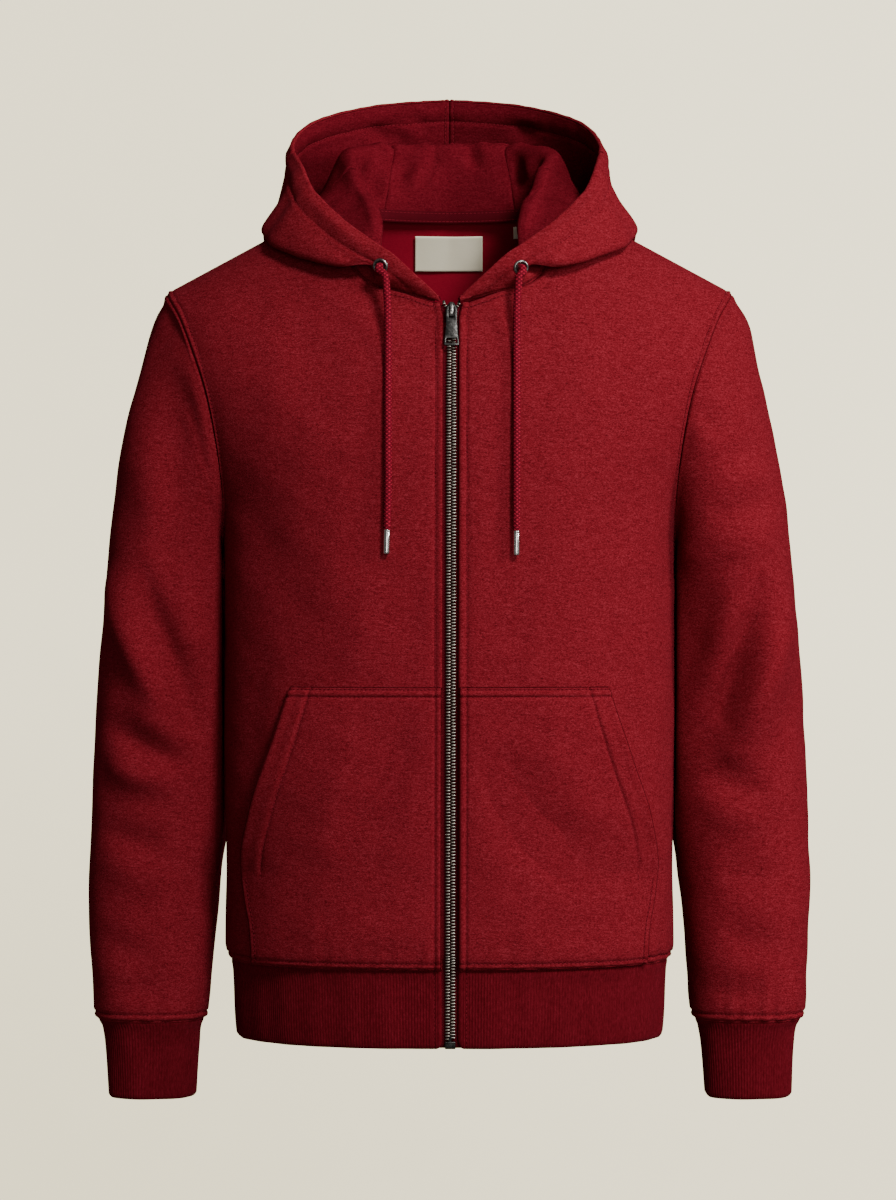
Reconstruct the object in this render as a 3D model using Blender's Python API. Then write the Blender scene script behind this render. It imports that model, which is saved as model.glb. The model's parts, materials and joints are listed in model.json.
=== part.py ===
"""Zip up hoodie, filled out and hollow, as it is worn.

Millimetres in the tables, metres in the meshes, +Z up, the front faces -Y,
+X is the wearer's left.  The origin is the level of the high shoulder points
on the line of the shoulder seams, where the wearer's shoulders hold it.

Every cloth piece is a thin wall.  The pieces are cut from two forms: the
torso (front and back halves that meet in the shoulder and side seams) and the
hood (one folded sheet from the neck seam over the ridge, down into the bag
and up to the lip).
"""

import math

import bmesh
import bpy
import numpy as np

for old in list(bpy.data.objects):
    bpy.data.objects.remove(old, do_unlink=True)

# ------------------------------------------------------------------ sizes, mm
CLOTH = 2.0            # body cloth, brushed fleece
HOOD_CLOTH = 1.6       # each of the two layers of the hood
GAP = 0.3              # between pieces at a seam
SEAM = GAP / 2 + 0.05  # what each piece gives up at a seam

LENGTH_BOTTOM_Z = -697.0   # lower edge of the hem rib
HEM_SEAM_Z = -633.5        # hem rib to body
SHOULDER_X, SHOULDER_Z = 234.0, -84.0
NECK_X, NECK_Z = 90.0, -6.5          # high shoulder point
NECK_FRONT_Z, NECK_BACK_Z = -98.5, -13.0
NECK_FRONT_LIFT = 8.6                # the front of the neck seam runs straighter up to the sides
UNDERARM_Z = -300.0
PLACKET = 6.3              # panel edge to middle of the zip
HOOD_START = 1.1            # how far past the seam line the hood begins
FORM_N = 2.4               # roundness of the torso's sections

# torso: one row for each level
TORSO = [
    # z,    half_width, armhole_inset, front_depth, back_depth
    (-697.0, 175.5, 0.000, 113.5, 110.5),
    (-680.0, 177.0, 0.000, 115.0, 112.0),
    (-645.0, 178.5, 0.000, 115.5, 112.5),
    (-633.5, 181.0, 0.000, 117.0, 114.0),
    (-622.0, 185.5, 0.000, 121.0, 117.5),
    (-600.0, 185.3, 0.000, 122.0, 118.0),
    (-560.0, 184.4, 0.000, 121.8, 116.5),
    (-504.0, 185.5, 0.000, 123.0, 114.0),
    (-420.0, 186.3, 0.000, 124.5, 113.0),
    (-338.0, 186.3, 0.000, 125.0, 115.0),
    (-300.0, 186.6, 0.000, 124.5, 117.0),
    (-270.0, 188.5, 0.0186, 124.0, 118.0),
    (-214.0, 207.0, 0.087, 121.0, 119.0),
    (-154.0, 235.0, 0.136, 115.0, 118.0),
    (-106.0, 253.0, 0.1225, 108.0, 112.0),
    (-84.0, 262.0, 0.107, 105.0, 108.0),
    (-40.0, 270.0, 0.100, 101.0, 100.0),
    (0.0, 278.0, 0.100, 97.0, 94.0),
    (60.0, 285.0, 0.100, 92.0, 88.0),
]
FRONT_RISE_Z, BACK_RISE_Z = -230.0, -150.0   # from here the form closes to the shoulder

# levels of the armhole and the rows below it, on the side edge of the panels
ROWS_BODY = [-633.5, -622.0, -600.0, -540.0, -460.0, -380.0]
ROWS_ARMHOLE = [-300.0, -275.0, -245.0, -210.0, -174.0, -140.0, -109.0, -84.0]
# columns of the panels, as shares of the shoulder point's distance; the shoulder ones are shared
NECK_SHARE = NECK_X / SHOULDER_X
SHOULDER_COLUMNS = [NECK_SHARE, 0.51, 0.66, 0.81, 0.92, 0.98, 1.0]
# and the others meet the sections of the hood along the neck seam
FRONT_COLUMNS = [NECK_SHARE * math.sin(math.pi * q) for q in (0.0, 0.070, 0.140, 0.215, 0.310, 0.360, 0.410, 0.455)]
FRONT_COLUMNS += SHOULDER_COLUMNS
BACK_COLUMNS = [NECK_SHARE * math.sin(math.pi * q) for q in (1.0, 0.860, 0.720, 0.600, 0.550)] + SHOULDER_COLUMNS
BACK_COLUMNS[0] = 0.0
HEM_COLUMNS = [0.0, 0.13, 0.26] + SHOULDER_COLUMNS
RING = 2 * len(ROWS_ARMHOLE) - 2      # points round a sleeve

# sleeve: one row for each level below the armhole
SLEEVE = [
    # z,    x_outer, x_inner, depth, y_middle
    (-330.0, 287.2, 180.0, 150.0, 18.0),
    (-400.0, 293.1, 179.0, 140.0, 22.0),
    (-465.0, 296.6, 180.0, 127.0, 22.0),
    (-520.0, 299.0, 183.5, 115.0, 19.0),
    (-560.0, 299.6, 190.0, 106.0, 14.0),
    (-605.0, 299.0, 194.6, 98.0, 8.0),
    (-645.0, 297.0, 198.0, 92.0, 4.0),
    (-672.0, 295.4, 199.5, 86.0, 1.0),
    (-684.0, 291.8, 202.8, 79.0, 0.0),
]
CUFF = [
    # z,    x_outer, x_inner, depth, y_middle
    (-684.4, 291.4, 203.2, 78.0, 0.0),
    (-690.0, 287.6, 206.0, 73.0, 0.0),
    (-706.0, 285.0, 208.4, 68.5, 0.0),
    (-748.5, 282.6, 211.4, 66.0, 0.0),
]

# hood: one row for each section, from the zip to the middle of the back.
# neck = place along half the neck seam; fold = how far the sheet is folded
# over its ridge; the ridge, the valley (where it rests) and the lip are points.
HOOD = [
    # neck,  fold, ridge_r, valley_r, bulge, ridge (x, y, z),  valley (x, y, z),      lip (x, y, z)
    (0.000, 0.00, 0.0, 0.0, 0.0, (8.0, -92.5, -97.0), (8.6, -93.0, -96.0), (10.0, -93.5, -93.0)),
    (0.070, 0.00, 0.0, 0.0, 0.5, (25.0, -93.5, -90.5), (25.5, -95.5, -87.0), (26.5, -96.0, -78.5)),
    (0.140, 0.00, 0.0, 0.0, 1.5, (41.0, -93.0, -84.5), (42.0, -96.5, -78.5), (45.0, -95.5, -61.5)),
    (0.215, 0.10, 2.0, 2.0, 3.0, (56.0, -88.0, -75.0), (60.0, -95.0, -74.0), (62.0, -91.0, -50.0)),
    (0.310, 0.85, 4.0, 6.0, 4.0, (56.0, -72.0, -36.0), (92.0, -84.0, -70.5), (86.0, -76.0, -32.0)),
    (0.410, 1.00, 6.5, 7.0, 3.0, (66.0, -48.0, -16.0), (132.0, -53.0, -53.0), (110.0, -51.0, -7.0)),
    (0.455, 1.00, 6.5, 6.5, 2.0, (72.5, -27.0, -3.0), (142.5, -29.0, -44.5), (117.0, -38.0, 6.0)),
    (0.500, 1.00, 8.0, 6.5, 1.0, (80.0, -4.0, 15.0), (147.0, -3.0, -36.5), (122.0, -25.0, 18.0)),
    (0.600, 1.00, 9.0, 9.0, 3.0, (87.0, 38.0, 37.0), (138.0, 74.0, -66.0), (131.0, 18.0, 42.0)),
    (0.720, 1.00, 9.0, 12.0, 16.0, (66.0, 72.0, 46.5), (98.0, 118.0, -112.0), (113.0, 66.0, 67.0)),
    (0.860, 1.00, 9.0, 13.0, 20.0, (34.0, 84.0, 48.0), (47.0, 133.0, -137.0), (64.0, 112.0, 86.0)),
    (1.000, 1.00, 9.0, 14.0, 22.0, (0.0, 87.0, 49.0), (0.0, 137.0, -143.0), (0.0, 126.0, 93.0)),
]
HOOD_SECTIONS = [0.0, 0.070, 0.140, 0.215, 0.262, 0.310, 0.360, 0.410, 0.455, 0.500, 0.550,
                 0.600, 0.660, 0.720, 0.790, 0.860, 1.0]
LIP_LEFT_IN = 0.04         # the wearer's left rim falls in by this share, high up
GUSSET_FROM = 0.790        # the gusset spans the nape between these two sections
NAPE_CREST = 3             # and reaches from the neck seam to this place on the sheet

# pockets: the half pocket on the front, from the zip edge outward
POCKET_TOP_Z, POCKET_OPEN_LOW_Z = -407.5, -556.0
POCKET_EDGE = [
    # z,    x of the pocket's outer edge
    (-407.5, 126.5),
    (-436.0, 133.0),
    (-470.0, 142.5),
    (-512.0, 156.0),
    (-548.0, 165.5),
    (-560.0, 167.0),
    (-582.0, 164.5),
    (-600.0, 161.0),
    (-631.0, 158.5),
]
POCKET_BULGE = 7.0         # how far the hand opening stands open
POCKET_LIE = 0.9           # how close the sewn pocket lies on the front

ZIP_TOP_Z, ZIP_STOP_Z = -99.5, -690.5
TAB_HINGE_Z = -103.6
CORD_D, AGLET_D, AGLET_LENGTH = 6.0, 5.2, 19.0


# -------------------------------------------------------------- curves, tables
def column(rows, key, value):
    """A column of a table as a smooth function of another, with no overshoot."""
    pairs = sorted((row[key], row[value]) for row in rows)
    xs = np.array([p[0] for p in pairs], float)
    ys = np.array([p[1] for p in pairs], float)
    h = np.diff(xs)
    d = np.diff(ys) / h
    m = np.zeros(len(xs))
    for i in range(1, len(xs) - 1):
        if d[i - 1] * d[i] > 0:
            w1, w2 = 2 * h[i] + h[i - 1], h[i] + 2 * h[i - 1]
            m[i] = (w1 + w2) / (w1 / d[i - 1] + w2 / d[i])
    m[0], m[-1] = d[0], d[-1]

    def at(x):
        x = np.clip(np.asarray(x, float), xs[0], xs[-1])
        i = np.clip(np.searchsorted(xs, x) - 1, 0, len(h) - 1)
        t = (x - xs[i]) / h[i]
        return ((1 + 2 * t) * (1 - t) ** 2 * ys[i] + t * (1 - t) ** 2 * h[i] * m[i]
                + t * t * (3 - 2 * t) * ys[i + 1] + t * t * (t - 1) * h[i] * m[i + 1])

    return at


half_width = column(TORSO, 0, 1)
armhole_inset = column(TORSO, 0, 2)
front_depth = column(TORSO, 0, 3)
back_depth = column(TORSO, 0, 4)


def through(points, t):
    """Smooth curve through points, t from 0 to len-1."""
    n = len(points)
    i = int(min(max(math.floor(t), 0), n - 2))
    u = t - i
    p1, p2 = points[i], points[i + 1]
    p0 = points[i - 1] if i > 0 else 2 * p1 - p2
    p3 = points[i + 2] if i + 2 < n else 2 * p2 - p1
    return 0.5 * ((2 * p1) + (p2 - p0) * u + (2 * p0 - 5 * p1 + 4 * p2 - p3) * u * u
                  + (3 * p1 - p0 - 3 * p2 + p3) * u ** 3)


# --------------------------------------------------------------- torso surface
def zip_x(z):
    return 0.5 + 1.1 * (z + 697.0) / 600.0


def side_x(z):
    """Edge of the body panels: side seam, and above the underarm the armhole."""
    return half_width(z) * (1 - armhole_inset(z))


def ridge_z(x):
    """The line of the shoulder seam, carried on over the neck opening."""
    x = abs(x)
    if x < NECK_X:
        return NECK_Z + 0.35 * (NECK_X - x)
    return NECK_Z + (SHOULDER_Z - NECK_Z) * (x - NECK_X) / (SHOULDER_X - NECK_X)


def depth(x, z, back):
    """How far the torso stands in front of (or behind) the shoulder line."""
    a = half_width(z)
    b = back_depth(z) if back else front_depth(z)
    rise = BACK_RISE_Z if back else FRONT_RISE_Z
    power = 2.4 if back else 2.0
    u = max(0.0, (z - rise) / (ridge_z(x) - rise))
    h = max(0.0, 1 - min(1.0, abs(x) / a) ** FORM_N) ** (1 / FORM_N)
    v = max(0.0, 1 - min(1.0, u) ** power) ** (1 / power)
    return float(b * h * v)


def torso_point(x, z, back):
    d = depth(x, z, back)
    return np.array([x, d if back else -d, z])


def top_z(x, back):
    x = abs(x)
    if x >= NECK_X - 1e-6:
        return ridge_z(x)
    low = NECK_BACK_Z if back else NECK_FRONT_Z
    z = low + (NECK_Z - low) * (1 - math.sqrt(max(0.0, 1 - (x / NECK_X) ** 4)))
    if not back:
        z += NECK_FRONT_LIFT * math.sin(math.pi * min(1.0, x / (0.95 * NECK_X))) ** 2
    return z


def panel_point(c, edge_z, side, back):
    """c runs from the centre front (or back) to the side edge, edge_z is the level there."""
    x_top = c * SHOULDER_X
    share = (edge_z - HEM_SEAM_Z) / (SHOULDER_Z - HEM_SEAM_Z)
    z = HEM_SEAM_Z + (top_z(x_top, back) - HEM_SEAM_Z) * share
    w = float(side_x(edge_z))
    # near the neck the columns run straight up, at the side they follow the armhole
    up = min(1.0, max(0.0, (edge_z + 270.0) / 130.0))
    near = min(1.0, (1 - c) / (1 - NECK_SHARE))
    w += (SHOULDER_X - w) * up * up * (3 - 2 * up) * near
    if back:
        x = side * c * w
    else:
        start = zip_x(z) + side * PLACKET
        x = side * c * w + start * max(0.0, 1 - c * SHOULDER_X / NECK_X)
    if c >= 1 - 1e-9 and edge_z <= UNDERARM_Z + 1e-6:
        return np.array([x, 0.0, z])
    if c >= 1 - 1e-9 and edge_z >= SHOULDER_Z - 1e-6:
        return np.array([x, 0.0, z])
    p = torso_point(x, z, back)
    if edge_z >= SHOULDER_Z - 1e-6 and abs(x_top) >= NECK_X - 1e-6:
        p[1] = 0.0
    return p


def torso_level(q):
    """Below 0 inside the torso's form, 0 on it, above 0 outside."""
    a = float(half_width(q[2]))
    back = q[1] > 0
    b = float(back_depth(q[2]) if back else front_depth(q[2]))
    rise = BACK_RISE_Z if back else FRONT_RISE_Z
    power = 2.4 if back else 2.0
    u = max(0.0, (q[2] - rise) / (ridge_z(q[0]) - rise))
    hx = 1 - (abs(q[0]) / a) ** FORM_N
    vx = 1 - u ** power
    h2 = math.copysign(abs(hx) ** (2 / FORM_N), hx)
    v2 = math.copysign(abs(vx) ** (2 / power), vx)
    if hx < 0 and vx < 0:
        return (q[1] / b) ** 2 + abs(h2) + abs(v2)
    return (q[1] / b) ** 2 - h2 * v2


def torso_slope(p, e=0.5):
    """How fast the level changes along x, y and z."""
    return np.array([(torso_level(p + d) - torso_level(p - d)) / (2 * e) for d in np.eye(3) * e])


def torso_normal(p, back):
    """The way out of the torso at a point of one of its panels."""
    q = np.array(p, float)
    q[1] = max(abs(q[1]), 0.2) * (1 if back else -1)
    n = torso_slope(q, 0.1)
    if abs(p[1]) < 1e-6:
        n[1] = 0.0
    return n / max(1e-9, np.linalg.norm(n))


def off_torso(p, clear):
    """A point moved out of the torso until it is this far clear of it."""
    p = np.array(p, float)
    for _ in range(12):
        slope = torso_slope(p)
        size = float(np.linalg.norm(slope))
        if size < 1e-9:
            break
        far = torso_level(p) / size
        if far >= clear - 0.02:
            break
        p = p + slope / size * min(clear - far, 3.0)
    return p


# ---------------------------------------------------------------- hood surface
def neck_point(q, side):
    """Half the neck seam: 0 at the zip, 0.5 on the shoulder, 1 at the centre back."""
    wave = math.sin(math.pi * q)
    if q <= 0.5:
        x = PLACKET + 1.0 + (NECK_X - PLACKET - 1.0) * wave
        z = top_z(x, False)
        p = torso_point(x, z, False)
    else:
        x = NECK_X * wave
        z = top_z(x, True)
        p = torso_point(x, z, True)
    if abs(q - 0.5) < 1e-9:
        p = np.array([NECK_X, 0.0, NECK_Z])
    p[0] *= side
    return p


def neck_leave(q):
    """The way the hood leaves the neck seam: up in the middle, inward on the shoulders."""
    a, b = neck_point(q - 0.004, 1.0), neck_point(q + 0.004, 1.0)
    seam = (b - a) / np.linalg.norm(b - a)
    p = neck_point(q, 1.0)
    slope = (SHOULDER_Z - NECK_Z) / (SHOULDER_X - NECK_X)
    out = np.array([-slope, 0.0, 1.0])
    if abs(q - 0.5) > 0.03:
        back, e = q > 0.5, 0.5
        fx = (depth(p[0] + e, p[2], back) - depth(p[0] - e, p[2], back)) / (2 * e)
        fz = (depth(p[0], p[2] + e, back) - depth(p[0], p[2] - e, back)) / (2 * e)
        out = np.array([-fx, 1.0 if back else -1.0, -fz])
    way = np.cross(seam, out)
    way = way / np.linalg.norm(way)
    if way[0] > 0 and abs(way[0]) > 0.3 or way[2] < -0.3:
        way = -way
    share = math.exp(-((q - 0.43) / 0.11) ** 2)
    way = way * share + np.array([0.0, 0.0, 1.0 - share])
    return way / np.linalg.norm(way)


def hood_controls(row, side):
    """The points that one section of the hood's sheet runs through."""
    q, fold, rr, vr, bulge, ridge, valley, lip = row
    flip = np.array([side, 1.0, 1.0])
    leave = neck_leave(min(max(q, 0.005), 0.995))
    n = neck_point(q, 1.0) + HOOD_START * leave
    k, v, l = (np.array(p, float) for p in (ridge, valley, lip))
    if side > 0:
        l[0] *= 1 - LIP_LEFT_IN * min(1.0, max(0.0, (l[2] - 15.0) / 25.0))
    out = v - k
    out[2] = 0.0
    out = out / max(1e-6, float(np.linalg.norm(out)))
    up = np.array([0.0, 0.0, 1.0])
    k1, k2 = k - rr * out - 0.8 * rr * up, k + rr * out - 0.8 * rr * up
    v1, v2 = v - vr * out + 0.8 * vr * up, v + vr * out + 0.8 * vr * up
    stand = n + 0.12 * (k1 - n) + leave * 4.0
    fall = (k2 + v1) / 2
    wall = (v2 + l) / 2 + bulge * (out * 0.9 + np.array([0.0, 0.0, -0.1]))
    folded = [n, stand, k1, k, k2, fall, v1, v, v2, wall, l]
    plain = []
    for t in (0.0, 0.1, 0.2, 0.3, 0.4, 0.5, 0.6, 0.7, 0.8, 0.9, 1.0):
        plain.append((1 - t) ** 2 * n + 2 * t * (1 - t) * (v + np.array([0, -1.5, 0]) * bulge) + t * t * l)
    return [flip * (a * fold + b * (1 - fold)) for a, b in zip(folded, plain)]


HOOD_Q = [row[0] for row in HOOD]


def hood_sheet(side, sections, along):
    """Grid of points of the hood's middle surface."""
    controls = [hood_controls(row, side) for row in HOOD]
    flip = np.array([side, 1.0, 1.0])
    grid = []
    for q in sections:
        i = int(min(np.searchsorted(HOOD_Q, q + 1e-9) - 1, len(HOOD_Q) - 2))
        t = i + (q - HOOD_Q[i]) / (HOOD_Q[i + 1] - HOOD_Q[i])
        ring = [through([c[j] for c in controls], t) for j in range(len(controls[0]))]
        if q > 1 - 1e-9:
            for p in ring:
                p[0] = 0.0
        ring[0] = neck_point(q, side) + HOOD_START * flip * neck_leave(min(max(q, 0.005), 0.995))
        line = [through(ring, s) for s in along]
        out = [line[0]]
        for s, p in zip(along[1:], line[1:]):
            out.append(off_torso(p, 3.4) if s > 2.0 else p)
        if q > 1 - 1e-9:
            for p in out:
                p[0] = 0.0
        grid.append(out)
    return np.array(grid)


# ---------------------------------------------------------------- solids, seams
COLOURS = {
    "fleece": (0.22, 0.012, 0.018, 0.9, 0.0),
    "rib": (0.17, 0.008, 0.014, 0.9, 0.0),
    "tape": (0.16, 0.008, 0.012, 0.8, 0.0),
    "label": (0.50, 0.46, 0.38, 0.5, 0.0),
    "gunmetal": (0.22, 0.21, 0.20, 0.35, 1.0),
    "silver": (0.62, 0.61, 0.60, 0.25, 1.0),
    "cord": (0.28, 0.012, 0.025, 0.8, 0.0),
}
materials = {}


def material(name):
    if name not in materials:
        r, g, b, rough, metal = COLOURS[name]
        m = bpy.data.materials.new(name)
        m.use_nodes = True
        shader = m.node_tree.nodes["Principled BSDF"]
        shader.inputs["Base Color"].default_value = (r, g, b, 1)
        shader.inputs["Roughness"].default_value = rough
        shader.inputs["Metallic"].default_value = metal
        materials[name] = m
    return materials[name]


root = bpy.data.objects.new("hoodie", None)
bpy.context.scene.collection.objects.link(root)


def solid(name, points, faces, kind, smooth=True):
    mesh = bpy.data.meshes.new(name)
    mesh.from_pydata([tuple(float(c) / 1000 for c in p) for p in points], [], faces)
    bm = bmesh.new()
    bm.from_mesh(mesh)
    bmesh.ops.recalc_face_normals(bm, faces=bm.faces)
    if bm.calc_volume(signed=True) < 0:
        bmesh.ops.reverse_faces(bm, faces=bm.faces)
    bm.to_mesh(mesh)
    bm.free()
    mesh.materials.append(material(kind))
    if smooth:
        mesh.shade_smooth()
        mesh.set_sharp_from_angle(angle=math.radians(50))
    obj = bpy.data.objects.new(name, mesh)
    bpy.context.scene.collection.objects.link(obj)
    obj.parent = root
    return obj


class Patch:
    """Points of one or more pieces, their quads, and a normal at each point."""

    def __init__(self):
        self.points, self.quads = [], []

    def grid(self, pts, closed=False):
        """Adds a grid of points; returns the numbers of its points."""
        rows, cols = pts.shape[0], pts.shape[1]
        base = len(self.points)
        ids = np.arange(rows * cols).reshape(rows, cols) + base
        self.points.extend(pts.reshape(-1, 3))
        made = []
        for i in range(rows - 1):
            for j in range(cols if closed else cols - 1):
                k = (j + 1) % cols
                made.append((ids[i, j], ids[i + 1, j], ids[i + 1, k], ids[i, k]))
        self.quads.append(made)
        return ids

    def normals(self, outward):
        """Normals, one for all points that share a place; outward(point) says which way is out."""
        pts = np.array(self.points)
        acc = np.zeros_like(pts)
        for piece in self.quads:
            for quad in piece:
                a, b, c, d = (pts[i] for i in quad)
                n = np.cross(c - a, d - b)
                if np.dot(n, outward((a + b + c + d) / 4)) < 0:
                    n = -n
                for i in quad:
                    acc[i] += n
        place = {}
        for i, p in enumerate(pts):
            place.setdefault(tuple(np.round(p * 5).astype(int)), []).append(i)
        for same in place.values():
            total = acc[same].sum(axis=0)
            acc[same] = total / max(1e-9, np.linalg.norm(total))
        return pts, acc


def wall(name, pts, normals, quads, outer, inner, kind, seam=SEAM, keep=()):
    """A closed thin wall over these quads, from outer to inner along the normals."""
    quads = [tuple(int(i) for i in q) for q in quads]
    edges = {}
    for q in quads:
        for a, b in zip(q, q[1:] + q[:1]):
            edges.setdefault(frozenset((a, b)), []).append(q)
    moved = {i: pts[i].copy() for q in quads for i in q}
    inward = {}
    for edge, owners in edges.items():
        if len(owners) == 1:
            a, b = tuple(edge)
            if a in keep and b in keep:
                continue
            along = pts[b] - pts[a]
            size = np.linalg.norm(along)
            if size < 1e-6:
                continue
            along = along / size
            toward = sum(pts[i] for i in owners[0]) / 4 - (pts[a] + pts[b]) / 2
            toward = toward - along * np.dot(toward, along)
            toward = toward / max(1e-9, np.linalg.norm(toward))
            for i in (a, b):
                inward.setdefault(i, []).append(toward)
    for i, ways in inward.items():
        total = sum(ways)
        spread = max(0.5, np.dot(total, total) / len(ways))
        moved[i] = moved[i] + total * seam / spread
    number = {}
    out_pts, in_pts = [], []
    for i in sorted(moved):
        number[i] = len(out_pts)
        out_pts.append(moved[i] + normals[i] * outer)
        in_pts.append(moved[i] + normals[i] * inner)
    m = len(out_pts)
    faces = []
    for q in quads:
        a, b, c, d = q
        if np.linalg.norm(pts[a] - pts[c]) <= np.linalg.norm(pts[b] - pts[d]):
            tris = ((a, b, c), (a, c, d))
        else:
            tris = ((a, b, d), (b, c, d))
        for t in tris:
            if len(set(t)) < 3:
                continue
            x, y, z = (number[i] for i in t)
            faces.append((x, y, z))
            faces.append((z + m, y + m, x + m))
    for edge, owners in edges.items():
        if len(owners) == 1:
            q = owners[0]
            for a, b in zip(q, q[1:] + q[:1]):
                if frozenset((a, b)) == edge:
                    x, y = number[a], number[b]
                    faces.append((y, x, x + m, y + m))
    return solid(name, out_pts + in_pts, faces, kind)


# ------------------------------------------------------------------- the torso
body = Patch()
edge_rows = ROWS_BODY + ROWS_ARMHOLE


def half_grid(side, back):
    columns = BACK_COLUMNS if back else FRONT_COLUMNS
    return np.array([[panel_point(c, z, side, back) for c in columns] for z in edge_rows])


front_ids = {s: body.grid(half_grid(s, False)) for s in (1, -1)}
back_half = {s: half_grid(s, True) for s in (1, -1)}
back_grid = np.concatenate([back_half[-1][:, ::-1], back_half[1][:, 1:]], axis=1)
back_ids = body.grid(back_grid)


def sleeve_ring(row, side, count=RING, n=2.3):
    """One level of a sleeve or cuff: from the outer side round over the front."""
    z, xo, xi, dp, ym = row
    mid, half = (xo + xi) / 2, (xo - xi) / 2
    ring = []
    for k in range(count):
        t = 2 * math.pi * k / count
        cx, sy = math.cos(t), math.sin(t)
        ring.append(np.array([
            side * (mid + half * math.copysign(abs(cx) ** (2 / n), cx)),
            ym - dp / 2 * math.copysign(abs(sy) ** (2 / n), sy),
            z]))
    return ring


def armhole(side):
    """The armhole from the shoulder point down the front, up the back."""
    zs = ROWS_ARMHOLE[::-1]
    front = [panel_point(1.0, z, side, False) for z in zs]
    rear = [panel_point(1.0, z, side, True) for z in zs]
    return front + rear[-2:0:-1]


def sleeve_grid(side, fractions=(0.0, 0.12, 0.30, 0.52, 0.76)):
    start = armhole(side)
    first = sleeve_ring(SLEEVE[0], side)
    flip = np.array([side, 1.0, 1.0])
    rings = []
    for w in fractions:
        ring = []
        for k, (a, r) in enumerate(zip(start, first)):
            t = 2 * math.pi * k / RING
            size = float(np.linalg.norm(r - a))
            m0 = np.array([0.42, -0.22 * math.sin(t), -0.88]) * flip
            m0 = m0 / np.linalg.norm(m0) * size * 0.87
            m1 = np.array([0.065, 0.02, -1.0]) * flip * size * 0.92
            h00, h10 = 2 * w ** 3 - 3 * w * w + 1, w ** 3 - 2 * w * w + w
            h01, h11 = -2 * w ** 3 + 3 * w * w, w ** 3 - w * w
            p = h00 * a + h10 * m0 + h01 * r + h11 * m1
            if w > 0:
                p = off_torso(p, 1.4 if w < 0.2 else 2.0)
            ring.append(p)
        rings.append(ring)
    for row in SLEEVE:
        ring = sleeve_ring(row, side)
        rings.append([off_torso(p, 2.0) for p in ring])
    return np.array(rings)


sleeve_ids = {s: body.grid(sleeve_grid(s), closed=True) for s in (1, -1)}


def torso_out(p):
    """Outward from the torso's middle, or from the sleeve's axis."""
    if abs(p[0]) > side_x(p[2]) + 0.5:
        level = min(SLEEVE, key=lambda row: abs(row[0] - p[2]))
        mid = (level[1] + level[2]) / 2
        if p[2] > -330:
            mid = 210 + (mid - 210) * (SHOULDER_Z - 20 - p[2]) / (-330 - SHOULDER_Z + 20) * -1.0
            return np.array([p[0] - math.copysign(max(200.0, mid), p[0]), p[1] - level[4] * 0.5, (p[2] + 230) * 0.35])
        return np.array([p[0] - math.copysign(mid, p[0]), p[1] - level[4], 0.0])
    return np.array([p[0] * 0.3, p[1], max(0.0, p[2] + 160) * 0.4])


body_pts, body_n = body.normals(torso_out)
for ids, rear in ((front_ids[1], False), (front_ids[-1], False), (back_ids, True)):
    for i in ids.reshape(-1):
        body_n[i] = torso_normal(body_pts[i], rear)
for s in (1, -1):
    for k, i in enumerate(sleeve_ids[s][0]):
        body_n[i] = torso_normal(body_pts[i], k > RING // 2)
NAMES = {1: "left", -1: "right"}
for n, s in enumerate((1, -1)):
    wall("front_" + NAMES[s], body_pts, body_n, body.quads[n], 0.0, -CLOTH, "fleece", seam=0.3)
wall("back", body_pts, body_n, body.quads[2], 0.0, -CLOTH, "fleece")
for n, s in enumerate((1, -1)):
    wall("sleeve_" + NAMES[s], body_pts, body_n, body.quads[3 + n], 0.0, -CLOTH, "fleece", seam=0.5)

# ------------------------------------------------------------------ the cuffs
for s in (1, -1):
    cuff = Patch()
    cuff.grid(np.array([sleeve_ring(row, s) for row in CUFF]), closed=True)
    mid = s * (CUFF[0][1] + CUFF[0][2]) / 2
    pts, nor = cuff.normals(lambda p: np.array([p[0] - mid, p[1], 0.0]))
    wall("cuff_" + NAMES[s], pts, nor, cuff.quads[0], 0.0, -CLOTH, "rib")


# ------------------------------------------------------------- the hem rib band
def hem_columns(z):
    """Columns of the band: those of the panels above it."""
    out = []
    for c in HEM_COLUMNS:
        start = zip_x(z) + PLACKET
        out.append(start + c * (float(half_width(z)) - start))
    ring = [torso_point(x, z, False) for x in out[:-1]] + [np.array([out[-1], 0.0, z])]
    rear = [c * float(half_width(z)) for c in HEM_COLUMNS]
    ring += [torso_point(x, z, True) for x in rear[-2::-1]]
    ring += [torso_point(-x, z, True) for x in rear[1:-1]] + [np.array([-rear[-1], 0.0, z])]
    start = zip_x(z) - PLACKET
    left = [start + c * (-float(half_width(z)) - start) for c in HEM_COLUMNS]
    ring += [torso_point(x, z, False) for x in left[-2::-1]]
    return ring


hem = Patch()
hem.grid(np.array([hem_columns(z) for z in (-697.0, -680.0, -645.0, -634.0)]))
pts, nor = hem.normals(lambda p: np.array([p[0] * 0.3, p[1], 0.0]))
wall("hem_rib", pts, nor, hem.quads[0], 0.0, -CLOTH, "rib")


# ----------------------------------------------------------------- the pockets
pocket_edge = column(POCKET_EDGE, 0, 1)


def pocket_lift(x, z, edge):
    """The hand opening stands off the front, the sewn sides lie on it."""
    down = (POCKET_TOP_Z - z) / (POCKET_TOP_Z - POCKET_OPEN_LOW_Z)
    if down <= 0 or down >= 1:
        return POCKET_LIE
    near = max(0.0, 1 - (edge - x) / 75.0)
    return POCKET_LIE + POCKET_BULGE * math.sin(math.pi * down) ** 0.8 * near * near * (3 - 2 * near)


def front_normal(x, z):
    e = 0.5
    fx = (depth(x + e, z, False) - depth(x - e, z, False)) / (2 * e)
    fz = (depth(x, z + e, False) - depth(x, z - e, False)) / (2 * e)
    n = np.array([-fx, -1.0, -fz])
    return n / np.linalg.norm(n)


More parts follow.
